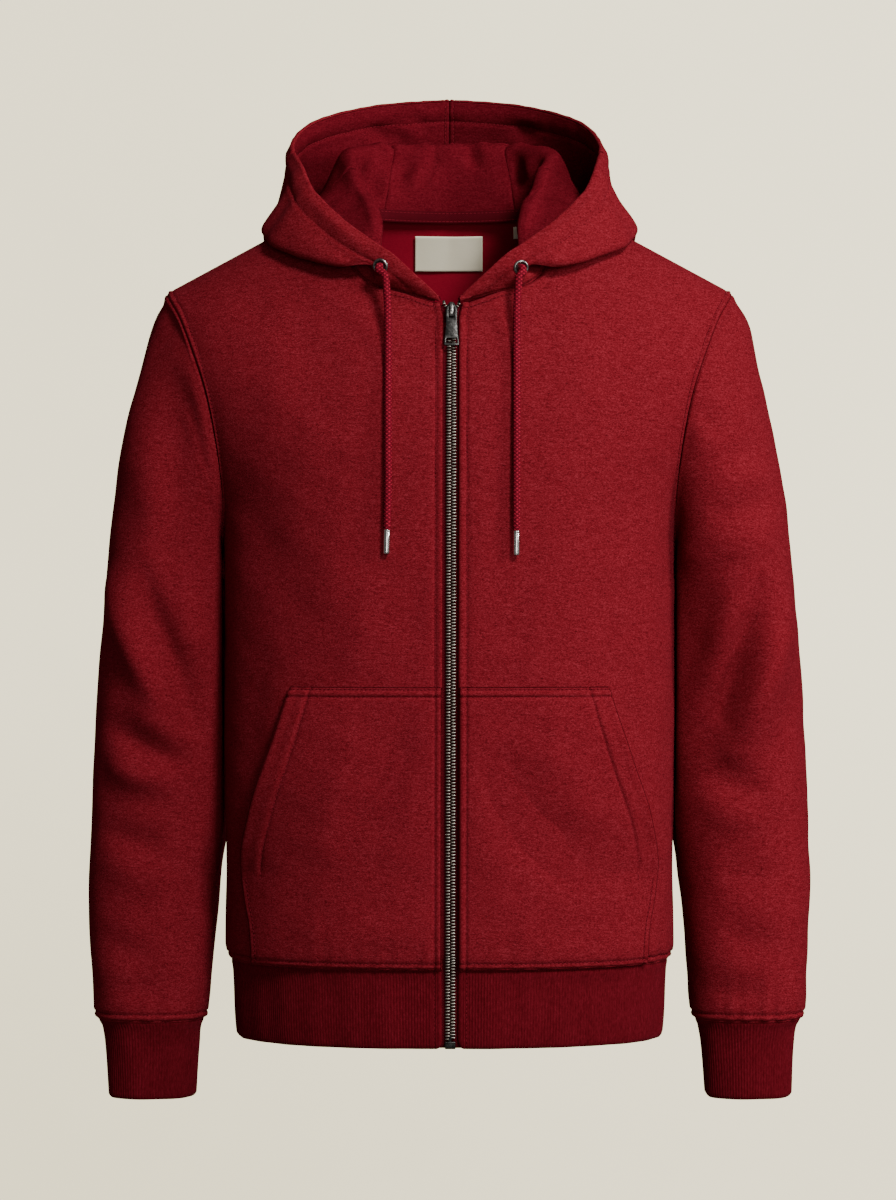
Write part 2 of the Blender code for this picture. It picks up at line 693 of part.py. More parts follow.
def on_front(x, z, lift):
    """A point of the front panels, moved out along its normal."""
    return torso_point(x, z, False) + front_normal(x, z) * lift


POCKET_ROWS = [-632.0, -621.5, -600.0, -578.0, -556.0, -535.0, -510.0, -482.0, -455.0, -430.0, -407.5]
for s in (1, -1):
    rows = []
    for z in POCKET_ROWS:
        edge = float(pocket_edge(z))
        start = abs(zip_x(z) + s * PLACKET) + 1.0
        line = []
        for c in (0.0, 0.22, 0.42, 0.60, 0.75, 0.89, 1.0):
            x = start + c * (edge - start)
            line.append((x, z, pocket_lift(x, z, edge)))
        rows.append(line)
    lower = np.array([[on_front(s * x, z, lift) for x, z, lift in line] for line in rows])
    pocket = Patch()
    pocket.grid(lower)
    pts, nor = pocket.normals(lambda p: np.array([0.0, -1.0, 0.0]))
    wall("pocket_" + NAMES[s], pts, nor, pocket.quads[0], CLOTH, 0.0, "fleece", seam=0.0)

# -------------------------------------------------------------------- the hood
ALONG = [0, 1, 2, 3, 4, 5, 6, 7, 8, 9, 10]
hood = Patch()
hood_ids = {s: hood.grid(hood_sheet(s, HOOD_SECTIONS, ALONG)) for s in (1, -1)}


def hood_outer_normals():
    """Normals of the sheet: out of the outer layer, away from the wearer's head."""
    pts = np.array(hood.points)
    acc = np.zeros_like(pts)
    for s, piece in zip((1, -1), hood.quads):
        for a, b, c, d in piece:
            n = np.cross(pts[c] - pts[a], pts[d] - pts[b]) * s
            for i in (a, b, c, d):
                acc[i] += n
    for s in (1, -1):
        for i in hood_ids[s][-1]:
            acc[i][0] = 0.0
    size = np.linalg.norm(acc, axis=1)
    return pts, acc / np.maximum(size, 1e-9)[:, None]


hood_pts, hood_n = hood_outer_normals()
gusset_col = HOOD_SECTIONS.index(GUSSET_FROM)
gusset_quads = []
for s, piece in zip((1, -1), hood.quads):
    steps = len(ALONG) - 1
    lining, nape = [], []
    for n, quad in enumerate(piece):
        i, j = n // steps, n % steps
        (nape if i >= gusset_col and j < NAPE_CREST else lining).append(quad)
    wall("hood_outer_" + NAMES[s], hood_pts, hood_n, piece, HOOD_CLOTH + 0.15, 0.15, "fleece")
    wall("hood_lining_" + NAMES[s], hood_pts, hood_n, lining, -0.15, -HOOD_CLOTH - 0.15, "fleece")
    gusset_quads.append(nape)

# the gusset crosses the middle, so its two halves share the points there
merge = {int(a): int(b) for a, b in zip(hood_ids[-1][-1], hood_ids[1][-1])}
nape = gusset_quads[0] + [tuple(merge.get(int(i), int(i)) for i in q) for q in gusset_quads[1]]
wall("hood_gusset", hood_pts, hood_n, nape, -0.15, -HOOD_CLOTH - 0.15, "fleece")


# -------------------------------------------------- tape and labels at the neck
def strip(name, centre, across, normal, width, thick, kind):
    """A flat band: centre points, the way across and the way out at each."""
    rows = []
    for c, a, n in zip(centre, across, normal):
        a = a / np.linalg.norm(a)
        n = n / np.linalg.norm(n)
        rows.append([c - a * width / 2, c + a * width / 2,
                     c + a * width / 2 + n * thick, c - a * width / 2 + n * thick])
    points, faces = [p for row in rows for p in row], []
    for i in range(len(rows) - 1):
        for j in range(4):
            k = (j + 1) % 4
            faces.append((4 * i + j, 4 * i + k, 4 * i + 4 + k, 4 * i + 4 + j))
    last = 4 * (len(rows) - 1)
    faces.append((3, 2, 1, 0))
    faces.append((last, last + 1, last + 2, last + 3))
    return solid(name, points, faces, kind)


tape_mid, tape_in = [], []
for k in range(13):
    q = 0.695 + 0.305 * k / 6
    p = neck_point(min(q, 2 - q), 1.0 if q <= 1 else -1.0)
    inward = np.array([-p[0] * 0.35, -70.0, 0.0])
    inward = inward / np.linalg.norm(inward)
    tape_mid.append(p + inward * 3.6 + np.array([0, 0, -1.0]))
    tape_in.append(inward)
strip("neck_tape", tape_mid, [np.array([0.0, 0.0, 1.0])] * 13, tape_in, 10.0, 0.7, "tape")


def back_inner(x, z, lift):
    """A point of the back panel's inner face, moved in towards the wearer."""
    e = 0.5
    fx = (depth(x + e, z, True) - depth(x - e, z, True)) / (2 * e)
    fz = (depth(x, z + e, True) - depth(x, z - e, True)) / (2 * e)
    n = np.array([-fx, 1.0, -fz])
    n = n / np.linalg.norm(n)
    return torso_point(x, z, True) - n * (CLOTH + lift), -n


def inner_label(name, x0, x1, z0, z1, lift, thick, nx, nz):
    label = Patch()
    grid, ns = [], []
    for i in range(nz + 1):
        line = []
        for j in range(nx + 1):
            p, n = back_inner(x0 + (x1 - x0) * j / nx, z0 + (z1 - z0) * i / nz, lift)
            line.append(p)
            ns.append(n)
        grid.append(line)
    label.grid(np.array(grid))
    wall(name, np.array(label.points), np.array(ns), label.quads[0], thick, 0.0, "label", seam=0.0)


inner_label("neck_label", -29.5, 28.5, -55.5, -27.0, 1.6, 0.7, 4, 3)
inner_label("size_tab", 55.0, 64.0, -29.0, -19.5, 1.8, 0.6, 1, 1)


# --------------------------------------------------------------------- the zip
def zip_frame(z):
    """Point of the front surface at the zip, the way out and the way down."""
    p = torso_point(float(zip_x(z)), z, False)
    n = front_normal(float(zip_x(z)), z)
    n[0] = 0.0
    n = n / np.linalg.norm(n)
    return p, n, np.array([0.0, -n[2], n[1]])


ZIP_ROWS = [-696.5, -680.0, -660.0, -645.0, -633.5, -622.0, -600.0, -560.0, -500.0, -430.0, -360.0,
            -305.0, -270.0, -240.0, -215.0, -190.0, -170.0, -150.0, -135.0, -120.0, -108.0, -99.0]
for s in (1, -1):
    centre, out = [], []
    for z in ZIP_ROWS:
        p, n, _ = zip_frame(z)
        centre.append(p - n * 4.0 + np.array([s * 8.3, 0.0, 0.0]))
        out.append(n)
    strip("zip_tape_" + NAMES[s], centre, [np.array([1.0, 0.0, 0.0])] * len(centre), out, 15.8, 0.7, "tape")

centre, out = [], []
for z in [-690.2] + ZIP_ROWS[1:-2] + [-115.6]:
    p, n, _ = zip_frame(z)
    centre.append(p - n * 2.7)
    out.append(n)
strip("zip_chain", centre, [np.array([1.0, 0.0, 0.0])] * len(centre), out, 5.8, 2.9, "gunmetal")


def framed(frame, x, along, away):
    """A point given across, down along the zip and out from the front."""
    p, n, t = frame
    return p + np.array([x, 0.0, 0.0]) + t * along + n * away


def extruded(name, outline, holes, frame, low, high, kind):
    """A flat plate in the zip's frame, with its outline and its holes cut through."""
    bm = bmesh.new()
    loops = []
    for loop in [outline] + holes:
        verts = [bm.verts.new(tuple(framed(frame, x, d, low) / 1000)) for x, d in loop]
        loops.append([bm.edges.new((a, b)) for a, b in zip(verts, verts[1:] + verts[:1])])
    bmesh.ops.triangle_fill(bm, use_beauty=True, use_dissolve=False, edges=[e for l in loops for e in l])
    lift = frame[1] * (high - low) / 1000
    done = bmesh.ops.extrude_face_region(bm, geom=bm.faces[:])
    moved = [g for g in done["geom"] if isinstance(g, bmesh.types.BMVert)]
    bmesh.ops.translate(bm, verts=moved, vec=tuple(lift))
    bmesh.ops.recalc_face_normals(bm, faces=bm.faces)
    if bm.calc_volume(signed=True) < 0:
        bmesh.ops.reverse_faces(bm, faces=bm.faces)
    mesh = bpy.data.meshes.new(name)
    bm.to_mesh(mesh)
    bm.free()
    mesh.materials.append(material(kind))
    obj = bpy.data.objects.new(name, mesh)
    bpy.context.scene.collection.objects.link(obj)
    return obj


def rounded(x, d0, d1, r, x1=None, steps=3):
    """A rounded outline, half width x at the top and x1 at the bottom."""
    x1 = x if x1 is None else x1
    out = []
    for cx, cy, w, start in ((x1 - r, d1 - r, 1, 0), (-x1 + r, d1 - r, 1, 90), (-x + r, d0 + r, 1, 180), (x - r, d0 + r, 1, 270)):
        for i in range(steps + 1):
            t = math.radians(start + 90 * i / steps)
            out.append((cx + r * math.cos(t), cy + r * math.sin(t)))
    return out


hinge = zip_frame(TAB_HINGE_Z)
# slider: a plate over the chain with an arch on it, cut from one outline seen from the side
slider = bmesh.new()
plate = [(-4.4, 0.8), (11.0, 0.8), (11.0, 2.6), (-4.4, 2.6)]
arch_hole = [(-2.0, 2.6), (-2.0, 5.6), (-1.2, 6.2), (3.6, 6.2), (4.4, 5.6), (4.4, 2.6)]


def prism(bm, outline, x):
    """A solid with this outline (down, out) and half width x across the zip."""
    left = [bm.verts.new(tuple(framed(hinge, -x, d, a) / 1000)) for d, a in outline]
    right = [bm.verts.new(tuple(framed(hinge, x, d, a) / 1000)) for d, a in outline]
    bm.faces.new(left)
    bm.faces.new(right[::-1])
    n = len(outline)
    for i in range(n):
        j = (i + 1) % n
        bm.faces.new((left[j], left[i], right[i], right[j]))


def finish(bm, name, kind):
    bmesh.ops.recalc_face_normals(bm, faces=bm.faces)
    if bm.calc_volume(signed=True) < 0:
        bmesh.ops.reverse_faces(bm, faces=bm.faces)
    mesh = bpy.data.meshes.new(name)
    bm.to_mesh(mesh)
    bm.free()
    mesh.materials.append(material(kind))
    obj = bpy.data.objects.new(name, mesh)
    bpy.context.scene.collection.objects.link(obj)
    return obj


prism(slider, plate, 4.8)
slider_obj = finish(slider, "zip_slider", "gunmetal")
slider_obj.parent = root
arch_bm = bmesh.new()
prism(arch_bm, [(-3.4, 2.2), (-2.0, 2.2), (-2.0, 5.6), (-1.2, 6.2), (3.6, 6.2), (4.4, 5.6), (4.4, 2.2),
                (5.8, 2.2), (5.8, 6.2), (4.2, 7.5), (-1.8, 7.5), (-3.4, 6.2)], 1.5)
arch_obj = finish(arch_bm, "slider_arch_guide", "gunmetal")
arch_obj.hide_render = True
arch_obj.display_type = "WIRE"
joined = slider_obj.modifiers.new("arch", "BOOLEAN")
joined.operation = "UNION"
joined.object = arch_obj
joined.solver = "EXACT"

tab = extruded(
    "pull_tab",
    rounded(4.5, -1.1, 34.2, 1.0, x1=6.0),
    [rounded(2.7, 1.1, 7.4, 0.7), rounded(3.9, 26.2, 31.2, 0.5, x1=4.2)],
    (np.zeros(3), hinge[1], hinge[2]), -0.8, 0.8, "gunmetal")
pivot = framed(hinge, 0.0, 0.0, 4.1)
tab.location = tuple(pivot / 1000)
tab.parent = root

stop = bmesh.new()
low = zip_frame(-693.7)
corners = [(-3.0, -2.3), (3.0, -2.3), (3.0, 1.0), (-3.0, 1.0)]
left = [stop.verts.new(tuple(framed(low, -4.4, d, a) / 1000)) for d, a in corners]
right = [stop.verts.new(tuple(framed(low, 4.4, d, a) / 1000)) for d, a in corners]
stop.faces.new(left)
stop.faces.new(right[::-1])
for i in range(4):
    j = (i + 1) % 4
    stop.faces.new((left[j], left[i], right[i], right[j]))
finish(stop, "zip_stop", "gunmetal").parent = root

# --------------------------------------------------------- eyelets and drawcord
EYELET = {1: (56.9, -70.6), -1: (-55.1, -69.4)}     # x, z
CORD = {
    # side: rows of x, z, and how far the cord's middle stands off the front panel
    1: [(55.6, -80.0), (54.4, -92.0), (53.7, -106.0), (53.5, -125.0), (53.4, -150.0), (53.3, -180.0),
        (53.1, -215.0), (52.9, -250.0), (52.8, -283.0)],
    -1: [(-51.6, -79.0), (-49.9, -92.0), (-49.2, -106.0), (-48.9, -125.0), (-48.8, -150.0), (-48.8, -180.0),
         (-48.7, -215.0), (-48.6, -250.0), (-49.3, -282.0)],
}


def hood_face(x, z, side):
    """The outer face of the hood in front, near the eyelet: its point and its way out."""
    grid = hood_sheet(side, [0.140, 0.180, 0.215, 0.240, 0.262, 0.285, 0.310], [5, 6, 7, 7.5, 8, 8.5, 9, 9.5, 10])
    best, found = 1e9, None
    for i in range(grid.shape[0] - 1):
        for j in range(grid.shape[1] - 1):
            for u in np.linspace(0, 1, 9):
                for v in np.linspace(0, 1, 9):
                    p = ((1 - u) * (1 - v) * grid[i, j] + u * (1 - v) * grid[i + 1, j]
                         + u * v * grid[i + 1, j + 1] + (1 - u) * v * grid[i, j + 1])
                    miss = (p[0] - x) ** 2 + (p[2] - z) ** 2
                    if miss < best:
                        n = np.cross(grid[i + 1, j + 1] - grid[i, j], grid[i, j + 1] - grid[i + 1, j])
                        best, found = miss, (p, n)
    p, n = found
    n = n / np.linalg.norm(n)
    if n[1] > 0:
        n = -n
    return p + n * (HOOD_CLOTH + 0.15), n


def turned(name, base, axis, profile, kind, count=16):
    """A ring or pin turned about an axis: profile of (radius, along), closed."""
    axis = axis / np.linalg.norm(axis)
    side = np.cross(axis, np.array([1.0, 0.0, 0.0]))
    side = side / np.linalg.norm(side)
    other = np.cross(axis, side)
    points, faces = [], []
    for k in range(count):
        t = 2 * math.pi * k / count
        for r, a in profile:
            points.append(base + axis * a + side * (r * math.cos(t)) + other * (r * math.sin(t)))
    m = len(profile)
    for k in range(count):
        for j in range(m):
            a, b = k * m + j, k * m + (j + 1) % m
            c, d = ((k + 1) % count) * m + (j + 1) % m, ((k + 1) % count) * m + j
            faces.append((a, b, c, d))
    return solid(name, points, faces, kind)


def pin(name, a, b, rings, kind, count=12):
    """A turned pin from a to b: rings of (share, radius)."""
    axis = (b - a) / np.linalg.norm(b - a)
    side = np.cross(axis, np.array([1.0, 0.0, 0.0]))
    side = side / np.linalg.norm(side)
    other = np.cross(axis, side)
    points, faces = [], []
    for share, r in rings:
        for k in range(count):
            t = 2 * math.pi * k / count
            points.append(a + (b - a) * share + side * (r * math.cos(t)) + other * (r * math.sin(t)))
    for i in range(len(rings) - 1):
        for k in range(count):
            k2 = (k + 1) % count
            faces.append((i * count + k, i * count + k2, (i + 1) * count + k2, (i + 1) * count + k))
    faces.append(tuple(range(count))[::-1])
    last = (len(rings) - 1) * count
    faces.append(tuple(last + k for k in range(count)))
    return solid(name, points, faces, kind)


for s in (1, -1):
    x, z = EYELET[s]
    face, n = hood_face(x, z, s)
    turned("eyelet_" + NAMES[s], face, n,
           [(6.2, 0.35), (6.2, 0.9), (5.6, 1.6), (4.4, 1.6), (4.0, 1.0), (4.0, 0.35)], "gunmetal")
    route = [face + n * 1.2, face + n * 3.6, face + n * 5.2 + np.array([0, 0, -2.6])]
    clearance = CORD_D / 2 + 0.8
    for k, (cx, cz) in enumerate(CORD[s]):
        p = on_front(cx, cz, clearance)
        if cz > -100:
            p[1] = min(p[1], face[1] - 5.2 + 0.10 * (face[2] - cz))
        route.append(p)
    # the cord hangs off the hood's edge and meets the chest lower down
    for k in range(3, 3 + len(CORD[s])):
        hang = face[1] - 6.0 - 0.075 * (face[2] - route[k][2])
        route[k][1] = min(route[k][1], hang)
    knots = [np.array(p) for p in route]
    samples = [through(knots, t) for t in np.linspace(0, len(knots) - 1, 34)]
    for p in samples:
        p[:] = p
    curve = bpy.data.curves.new("drawcord_" + NAMES[s], "CURVE")
    curve.dimensions = "3D"
    curve.bevel_depth = CORD_D / 2000
    curve.bevel_resolution = 2
    curve.use_fill_caps = True
    spline = curve.splines.new("POLY")
    spline.points.add(len(samples) - 1)
    for point, p in zip(spline.points, samples):
        point.co = (p[0] / 1000, p[1] / 1000, p[2] / 1000, 1)
    curve.materials.append(material("cord"))
    cord = bpy.data.objects.new("drawcord_" + NAMES[s], curve)
    bpy.context.scene.collection.objects.link(cord)
    cord.parent = root
    end, before = samples[-1], samples[-2]
    way = (end - before) / np.linalg.norm(end - before)
    pin("aglet_" + NAMES[s], end + way * 0.3, end + way * (0.3 + AGLET_LENGTH),
        [(0.0, 2.3), (0.03, AGLET_D / 2), (0.97, AGLET_D / 2), (1.0, 2.3)], "silver")
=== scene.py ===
import json
import math

import bpy
import numpy as np
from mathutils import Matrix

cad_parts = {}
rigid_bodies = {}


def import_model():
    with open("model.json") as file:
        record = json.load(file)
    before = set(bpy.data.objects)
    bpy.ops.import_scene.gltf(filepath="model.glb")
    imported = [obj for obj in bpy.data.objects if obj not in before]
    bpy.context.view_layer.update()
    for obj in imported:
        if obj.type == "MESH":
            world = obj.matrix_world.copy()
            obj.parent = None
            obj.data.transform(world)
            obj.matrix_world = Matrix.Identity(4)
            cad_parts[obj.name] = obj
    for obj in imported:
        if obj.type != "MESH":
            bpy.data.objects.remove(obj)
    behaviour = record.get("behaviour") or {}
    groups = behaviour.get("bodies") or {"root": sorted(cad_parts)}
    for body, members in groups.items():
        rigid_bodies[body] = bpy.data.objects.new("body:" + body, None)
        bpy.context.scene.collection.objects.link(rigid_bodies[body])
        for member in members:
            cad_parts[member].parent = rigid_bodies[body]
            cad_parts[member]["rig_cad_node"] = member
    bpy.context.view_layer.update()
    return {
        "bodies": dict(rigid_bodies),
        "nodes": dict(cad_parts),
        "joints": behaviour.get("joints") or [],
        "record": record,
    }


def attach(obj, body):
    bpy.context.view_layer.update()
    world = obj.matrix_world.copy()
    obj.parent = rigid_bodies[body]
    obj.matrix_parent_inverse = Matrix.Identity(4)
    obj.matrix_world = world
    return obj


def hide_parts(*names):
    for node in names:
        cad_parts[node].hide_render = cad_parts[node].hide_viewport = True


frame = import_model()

STEP = 4.0           # grid step of the cloth, mm
NAMES = {1: "left", -1: "right"}       # the wearer's sides

# ------------------------------------------------------------------ the camera
# the object's plane y = 0 shows at 0.83 mm a pixel, seen level from 3 m
camera_data = bpy.data.cameras.new("camera")
camera_data.sensor_width = 36.0
camera_data.sensor_fit = "AUTO"
camera_data.lens = 108.43
camera_data.clip_end = 50
camera = bpy.data.objects.new("camera", camera_data)
camera.location = (-0.0012, -3.0, -0.338)
camera.rotation_euler = (math.pi / 2, 0, 0)
bpy.context.scene.collection.objects.link(camera)
bpy.context.scene.camera = camera


def photo(px, py, y=0.0):
    """x and z of a place in the image that lies at this depth, mm."""
    k = 0.83 * (3000.0 + y) / 3000.0
    return (px - 449.5) * k, (600.0 - py) * k - 338.0


# ------------------------------------------------- sizes and tables of the form
CLOTH, HOOD_CLOTH = 2.0, 1.6
HEM_SEAM_Z = -633.5
SHOULDER_X, SHOULDER_Z = 234.0, -84.0
NECK_X, NECK_Z = 90.0, -6.5
NECK_FRONT_Z, NECK_BACK_Z = -98.5, -13.0
NECK_FRONT_LIFT = 8.6
UNDERARM_Z = -300.0
PLACKET = 6.3
HOOD_START = 1.1
FORM_N = 2.4
TORSO = [
    (-697.0, 175.5, 0.000, 113.5, 110.5), (-680.0, 177.0, 0.000, 115.0, 112.0), (-645.0, 178.5, 0.000, 115.5, 112.5),
    (-633.5, 181.0, 0.000, 117.0, 114.0), (-622.0, 185.5, 0.000, 121.0, 117.5), (-600.0, 185.3, 0.000, 122.0, 118.0),
    (-560.0, 184.4, 0.000, 121.8, 116.5), (-504.0, 185.5, 0.000, 123.0, 114.0), (-420.0, 186.3, 0.000, 124.5, 113.0),
    (-338.0, 186.3, 0.000, 125.0, 115.0), (-300.0, 186.6, 0.000, 124.5, 117.0), (-270.0, 188.5, 0.0186, 124.0, 118.0),
    (-214.0, 207.0, 0.087, 121.0, 119.0), (-154.0, 235.0, 0.136, 115.0, 118.0), (-106.0, 253.0, 0.1225, 108.0, 112.0),
    (-84.0, 262.0, 0.107, 105.0, 108.0), (-40.0, 270.0, 0.100, 101.0, 100.0), (0.0, 278.0, 0.100, 97.0, 94.0),
    (60.0, 285.0, 0.100, 92.0, 88.0),
]
FRONT_RISE_Z, BACK_RISE_Z = -230.0, -150.0
ROWS_ARMHOLE = [-300.0, -275.0, -245.0, -210.0, -174.0, -140.0, -109.0, -84.0]
NECK_SHARE = NECK_X / SHOULDER_X
SLEEVE = [
    (-330.0, 287.2, 180.0, 150.0, 18.0), (-400.0, 293.1, 179.0, 140.0, 22.0), (-465.0, 296.6, 180.0, 127.0, 22.0),
    (-520.0, 299.0, 183.5, 115.0, 19.0), (-560.0, 299.6, 190.0, 106.0, 14.0), (-605.0, 299.0, 194.6, 98.0, 8.0),
    (-645.0, 297.0, 198.0, 92.0, 4.0), (-672.0, 295.4, 199.5, 86.0, 1.0), (-684.0, 291.8, 202.8, 79.0, 0.0),
]
CUFF = [
    (-684.4, 291.4, 203.2, 78.0, 0.0), (-690.0, 287.6, 206.0, 73.0, 0.0), (-706.0, 285.0, 208.4, 68.5, 0.0),
    (-748.5, 282.6, 211.4, 66.0, 0.0),
]
HOOD = [
    (0.000, 0.00, 0.0, 0.0, 0.0, (8.0, -92.5, -97.0), (8.6, -93.0, -96.0), (10.0, -93.5, -93.0)),
    (0.070, 0.00, 0.0, 0.0, 0.5, (25.0, -93.5, -90.5), (25.5, -95.5, -87.0), (26.5, -96.0, -78.5)),
    (0.140, 0.00, 0.0, 0.0, 1.5, (41.0, -93.0, -84.5), (42.0, -96.5, -78.5), (45.0, -95.5, -61.5)),
    (0.215, 0.10, 2.0, 2.0, 3.0, (56.0, -88.0, -75.0), (60.0, -95.0, -74.0), (62.0, -91.0, -50.0)),
    (0.310, 0.85, 4.0, 6.0, 4.0, (56.0, -72.0, -36.0), (92.0, -84.0, -70.5), (86.0, -76.0, -32.0)),
    (0.410, 1.00, 6.5, 7.0, 3.0, (66.0, -48.0, -16.0), (132.0, -53.0, -53.0), (110.0, -51.0, -7.0)),
    (0.455, 1.00, 6.5, 6.5, 2.0, (72.5, -27.0, -3.0), (142.5, -29.0, -44.5), (117.0, -38.0, 6.0)),
    (0.500, 1.00, 8.0, 6.5, 1.0, (80.0, -4.0, 15.0), (147.0, -3.0, -36.5), (122.0, -25.0, 18.0)),
    (0.600, 1.00, 9.0, 9.0, 3.0, (87.0, 38.0, 37.0), (138.0, 74.0, -66.0), (131.0, 18.0, 42.0)),
    (0.720, 1.00, 9.0, 12.0, 16.0, (66.0, 72.0, 46.5), (98.0, 118.0, -112.0), (113.0, 66.0, 67.0)),
    (0.860, 1.00, 9.0, 13.0, 20.0, (34.0, 84.0, 48.0), (47.0, 133.0, -137.0), (64.0, 112.0, 86.0)),
    (1.000, 1.00, 9.0, 14.0, 22.0, (0.0, 87.0, 49.0), (0.0, 137.0, -143.0), (0.0, 126.0, 93.0)),
]
LIP_LEFT_IN = 0.04
GUSSET_FROM, NAPE_CREST = 0.790, 3.0
POCKET_TOP_Z, POCKET_OPEN_LOW_Z = -407.5, -556.0
POCKET_EDGE = [
    (-407.5, 126.5), (-436.0, 133.0), (-470.0, 142.5), (-512.0, 156.0), (-548.0, 165.5), (-560.0, 167.0),
    (-582.0, 164.5), (-600.0, 161.0), (-631.0, 158.5),
]
POCKET_BULGE, POCKET_LIE = 7.0, 0.9
TAB_HINGE_Z = -103.6
CORD_D, AGLET_D, AGLET_LENGTH = 6.0, 5.2, 19.0
EYELET = {1: (56.9, -70.6), -1: (-55.1, -69.4)}
CORD = {
    1: [(55.6, -80.0), (54.4, -92.0), (53.7, -106.0), (53.5, -125.0), (53.4, -150.0), (53.3, -180.0),
        (53.1, -215.0), (52.9, -250.0), (52.8, -283.0)],
    -1: [(-51.6, -79.0), (-49.9, -92.0), (-49.2, -106.0), (-48.9, -125.0), (-48.8, -150.0), (-48.8, -180.0),
         (-48.7, -215.0), (-48.6, -250.0), (-49.3, -282.0)],
}


# -------------------------------------------------------------- curves, tables
def column(rows, key, value):
    """A column of a table as a smooth function of another, with no overshoot."""
    pairs = sorted((row[key], row[value]) for row in rows)
    xs = np.array([p[0] for p in pairs], float)
    ys = np.array([p[1] for p in pairs], float)
    h = np.diff(xs)
    d = np.diff(ys) / h
    m = np.zeros(len(xs))
    for i in range(1, len(xs) - 1):
        if d[i - 1] * d[i] > 0:
            w1, w2 = 2 * h[i] + h[i - 1], h[i] + 2 * h[i - 1]
            m[i] = (w1 + w2) / (w1 / d[i - 1] + w2 / d[i])
    m[0], m[-1] = d[0], d[-1]

    def at(x):
        x = np.clip(np.asarray(x, float), xs[0], xs[-1])
        i = np.clip(np.searchsorted(xs, x) - 1, 0, len(h) - 1)
        t = (x - xs[i]) / h[i]
        return ((1 + 2 * t) * (1 - t) ** 2 * ys[i] + t * (1 - t) ** 2 * h[i] * m[i]
                + t * t * (3 - 2 * t) * ys[i + 1] + t * t * (t - 1) * h[i] * m[i + 1])

    return at


half_width, armhole_inset = column(TORSO, 0, 1), column(TORSO, 0, 2)
front_depth, back_depth = column(TORSO, 0, 3), column(TORSO, 0, 4)
pocket_edge = column(POCKET_EDGE, 0, 1)


def smooth(x, a=0.0, b=1.0):
    t = np.clip((np.asarray(x, float) - a) / (b - a), 0, 1)
    return t * t * (3 - 2 * t)


def bell(x, w):
    return np.exp(-(np.asarray(x, float) / w) ** 2)


def through(points, t):
    """Smooth curve through points (k, ...), at each t from 0 to k-1: (len(t), ...)."""
    points = np.asarray(points, float)
    t = np.atleast_1d(np.asarray(t, float))
    n = len(points)
    i = np.clip(np.floor(t).astype(int), 0, n - 2)
    u = (t - i).reshape((-1,) + (1,) * (points.ndim - 1))
    ext = np.concatenate([2 * points[:1] - points[1:2], points, 2 * points[-1:] - points[-2:-1]])
    p0, p1, p2, p3 = ext[i], ext[i + 1], ext[i + 2], ext[i + 3]
    return 0.5 * ((2 * p1) + (p2 - p0) * u + (2 * p0 - 5 * p1 + 4 * p2 - p3) * u * u
                  + (3 * p1 - p0 - 3 * p2 + p3) * u ** 3)


def unit(v):
    return v / np.maximum(1e-9, np.linalg.norm(v, axis=-1, keepdims=True))


def spaced(curve, lo, hi, step, edges=(0.7, 1.6, 2.8, 4.4, 6.4)):
    """Parameters along a curve that are a step apart, and closer together at its ends."""
    t = np.linspace(lo, hi, 1500)
    p = curve(t)
    s = np.concatenate([[0], np.cumsum(np.linalg.norm(np.diff(p, axis=0), axis=1))])
    length = s[-1]
    first = list(edges) if edges else []
    start = (first[-1] if first else 0.0)
    count = max(2, int(round((length - 2 * start) / step)))
    marks = [0.0] + first + [start + (length - 2 * start) * k / count for k in range(1, count)]
    marks += [length - e for e in first[::-1]] + [length]
    return np.interp(marks, s, t)


# --------------------------------------------------------------- torso surface
def zip_x(z):
    return 0.5 + 1.1 * (np.asarray(z, float) + 697.0) / 600.0


def side_x(z):
    return half_width(z) * (1 - armhole_inset(z))


def ridge_z(x):
    x = np.abs(x)
    return np.where(x < NECK_X, NECK_Z + 0.35 * (NECK_X - x),
                    NECK_Z + (SHOULDER_Z - NECK_Z) * (x - NECK_X) / (SHOULDER_X - NECK_X))


def depth(x, z, back):
    x, z = np.asarray(x, float), np.asarray(z, float)
    a = half_width(z)
    b = back_depth(z) if back else front_depth(z)
    rise = BACK_RISE_Z if back else FRONT_RISE_Z
    power = 2.4 if back else 2.0
    u = np.maximum(0.0, (z - rise) / (ridge_z(x) - rise))
    h = np.maximum(0.0, 1 - np.minimum(1.0, np.abs(x) / a) ** FORM_N) ** (1 / FORM_N)
    v = np.maximum(0.0, 1 - np.minimum(1.0, u) ** power) ** (1 / power)
    return b * h * v


def torso_point(x, z, back):
    d = depth(x, z, back)
    return np.stack(np.broadcast_arrays(x, d if back else -d, z), axis=-1).astype(float)


def top_z(x, back):
    x = np.abs(x)
    low = NECK_BACK_Z if back else NECK_FRONT_Z
    z = low + (NECK_Z - low) * (1 - np.sqrt(np.maximum(0.0, 1 - np.minimum(1.0, x / NECK_X) ** 4)))
    if not back:
        z = z + NECK_FRONT_LIFT * np.sin(np.pi * np.minimum(1.0, x / (0.95 * NECK_X))) ** 2
    return np.where(x >= NECK_X - 1e-6, ridge_z(x), z)


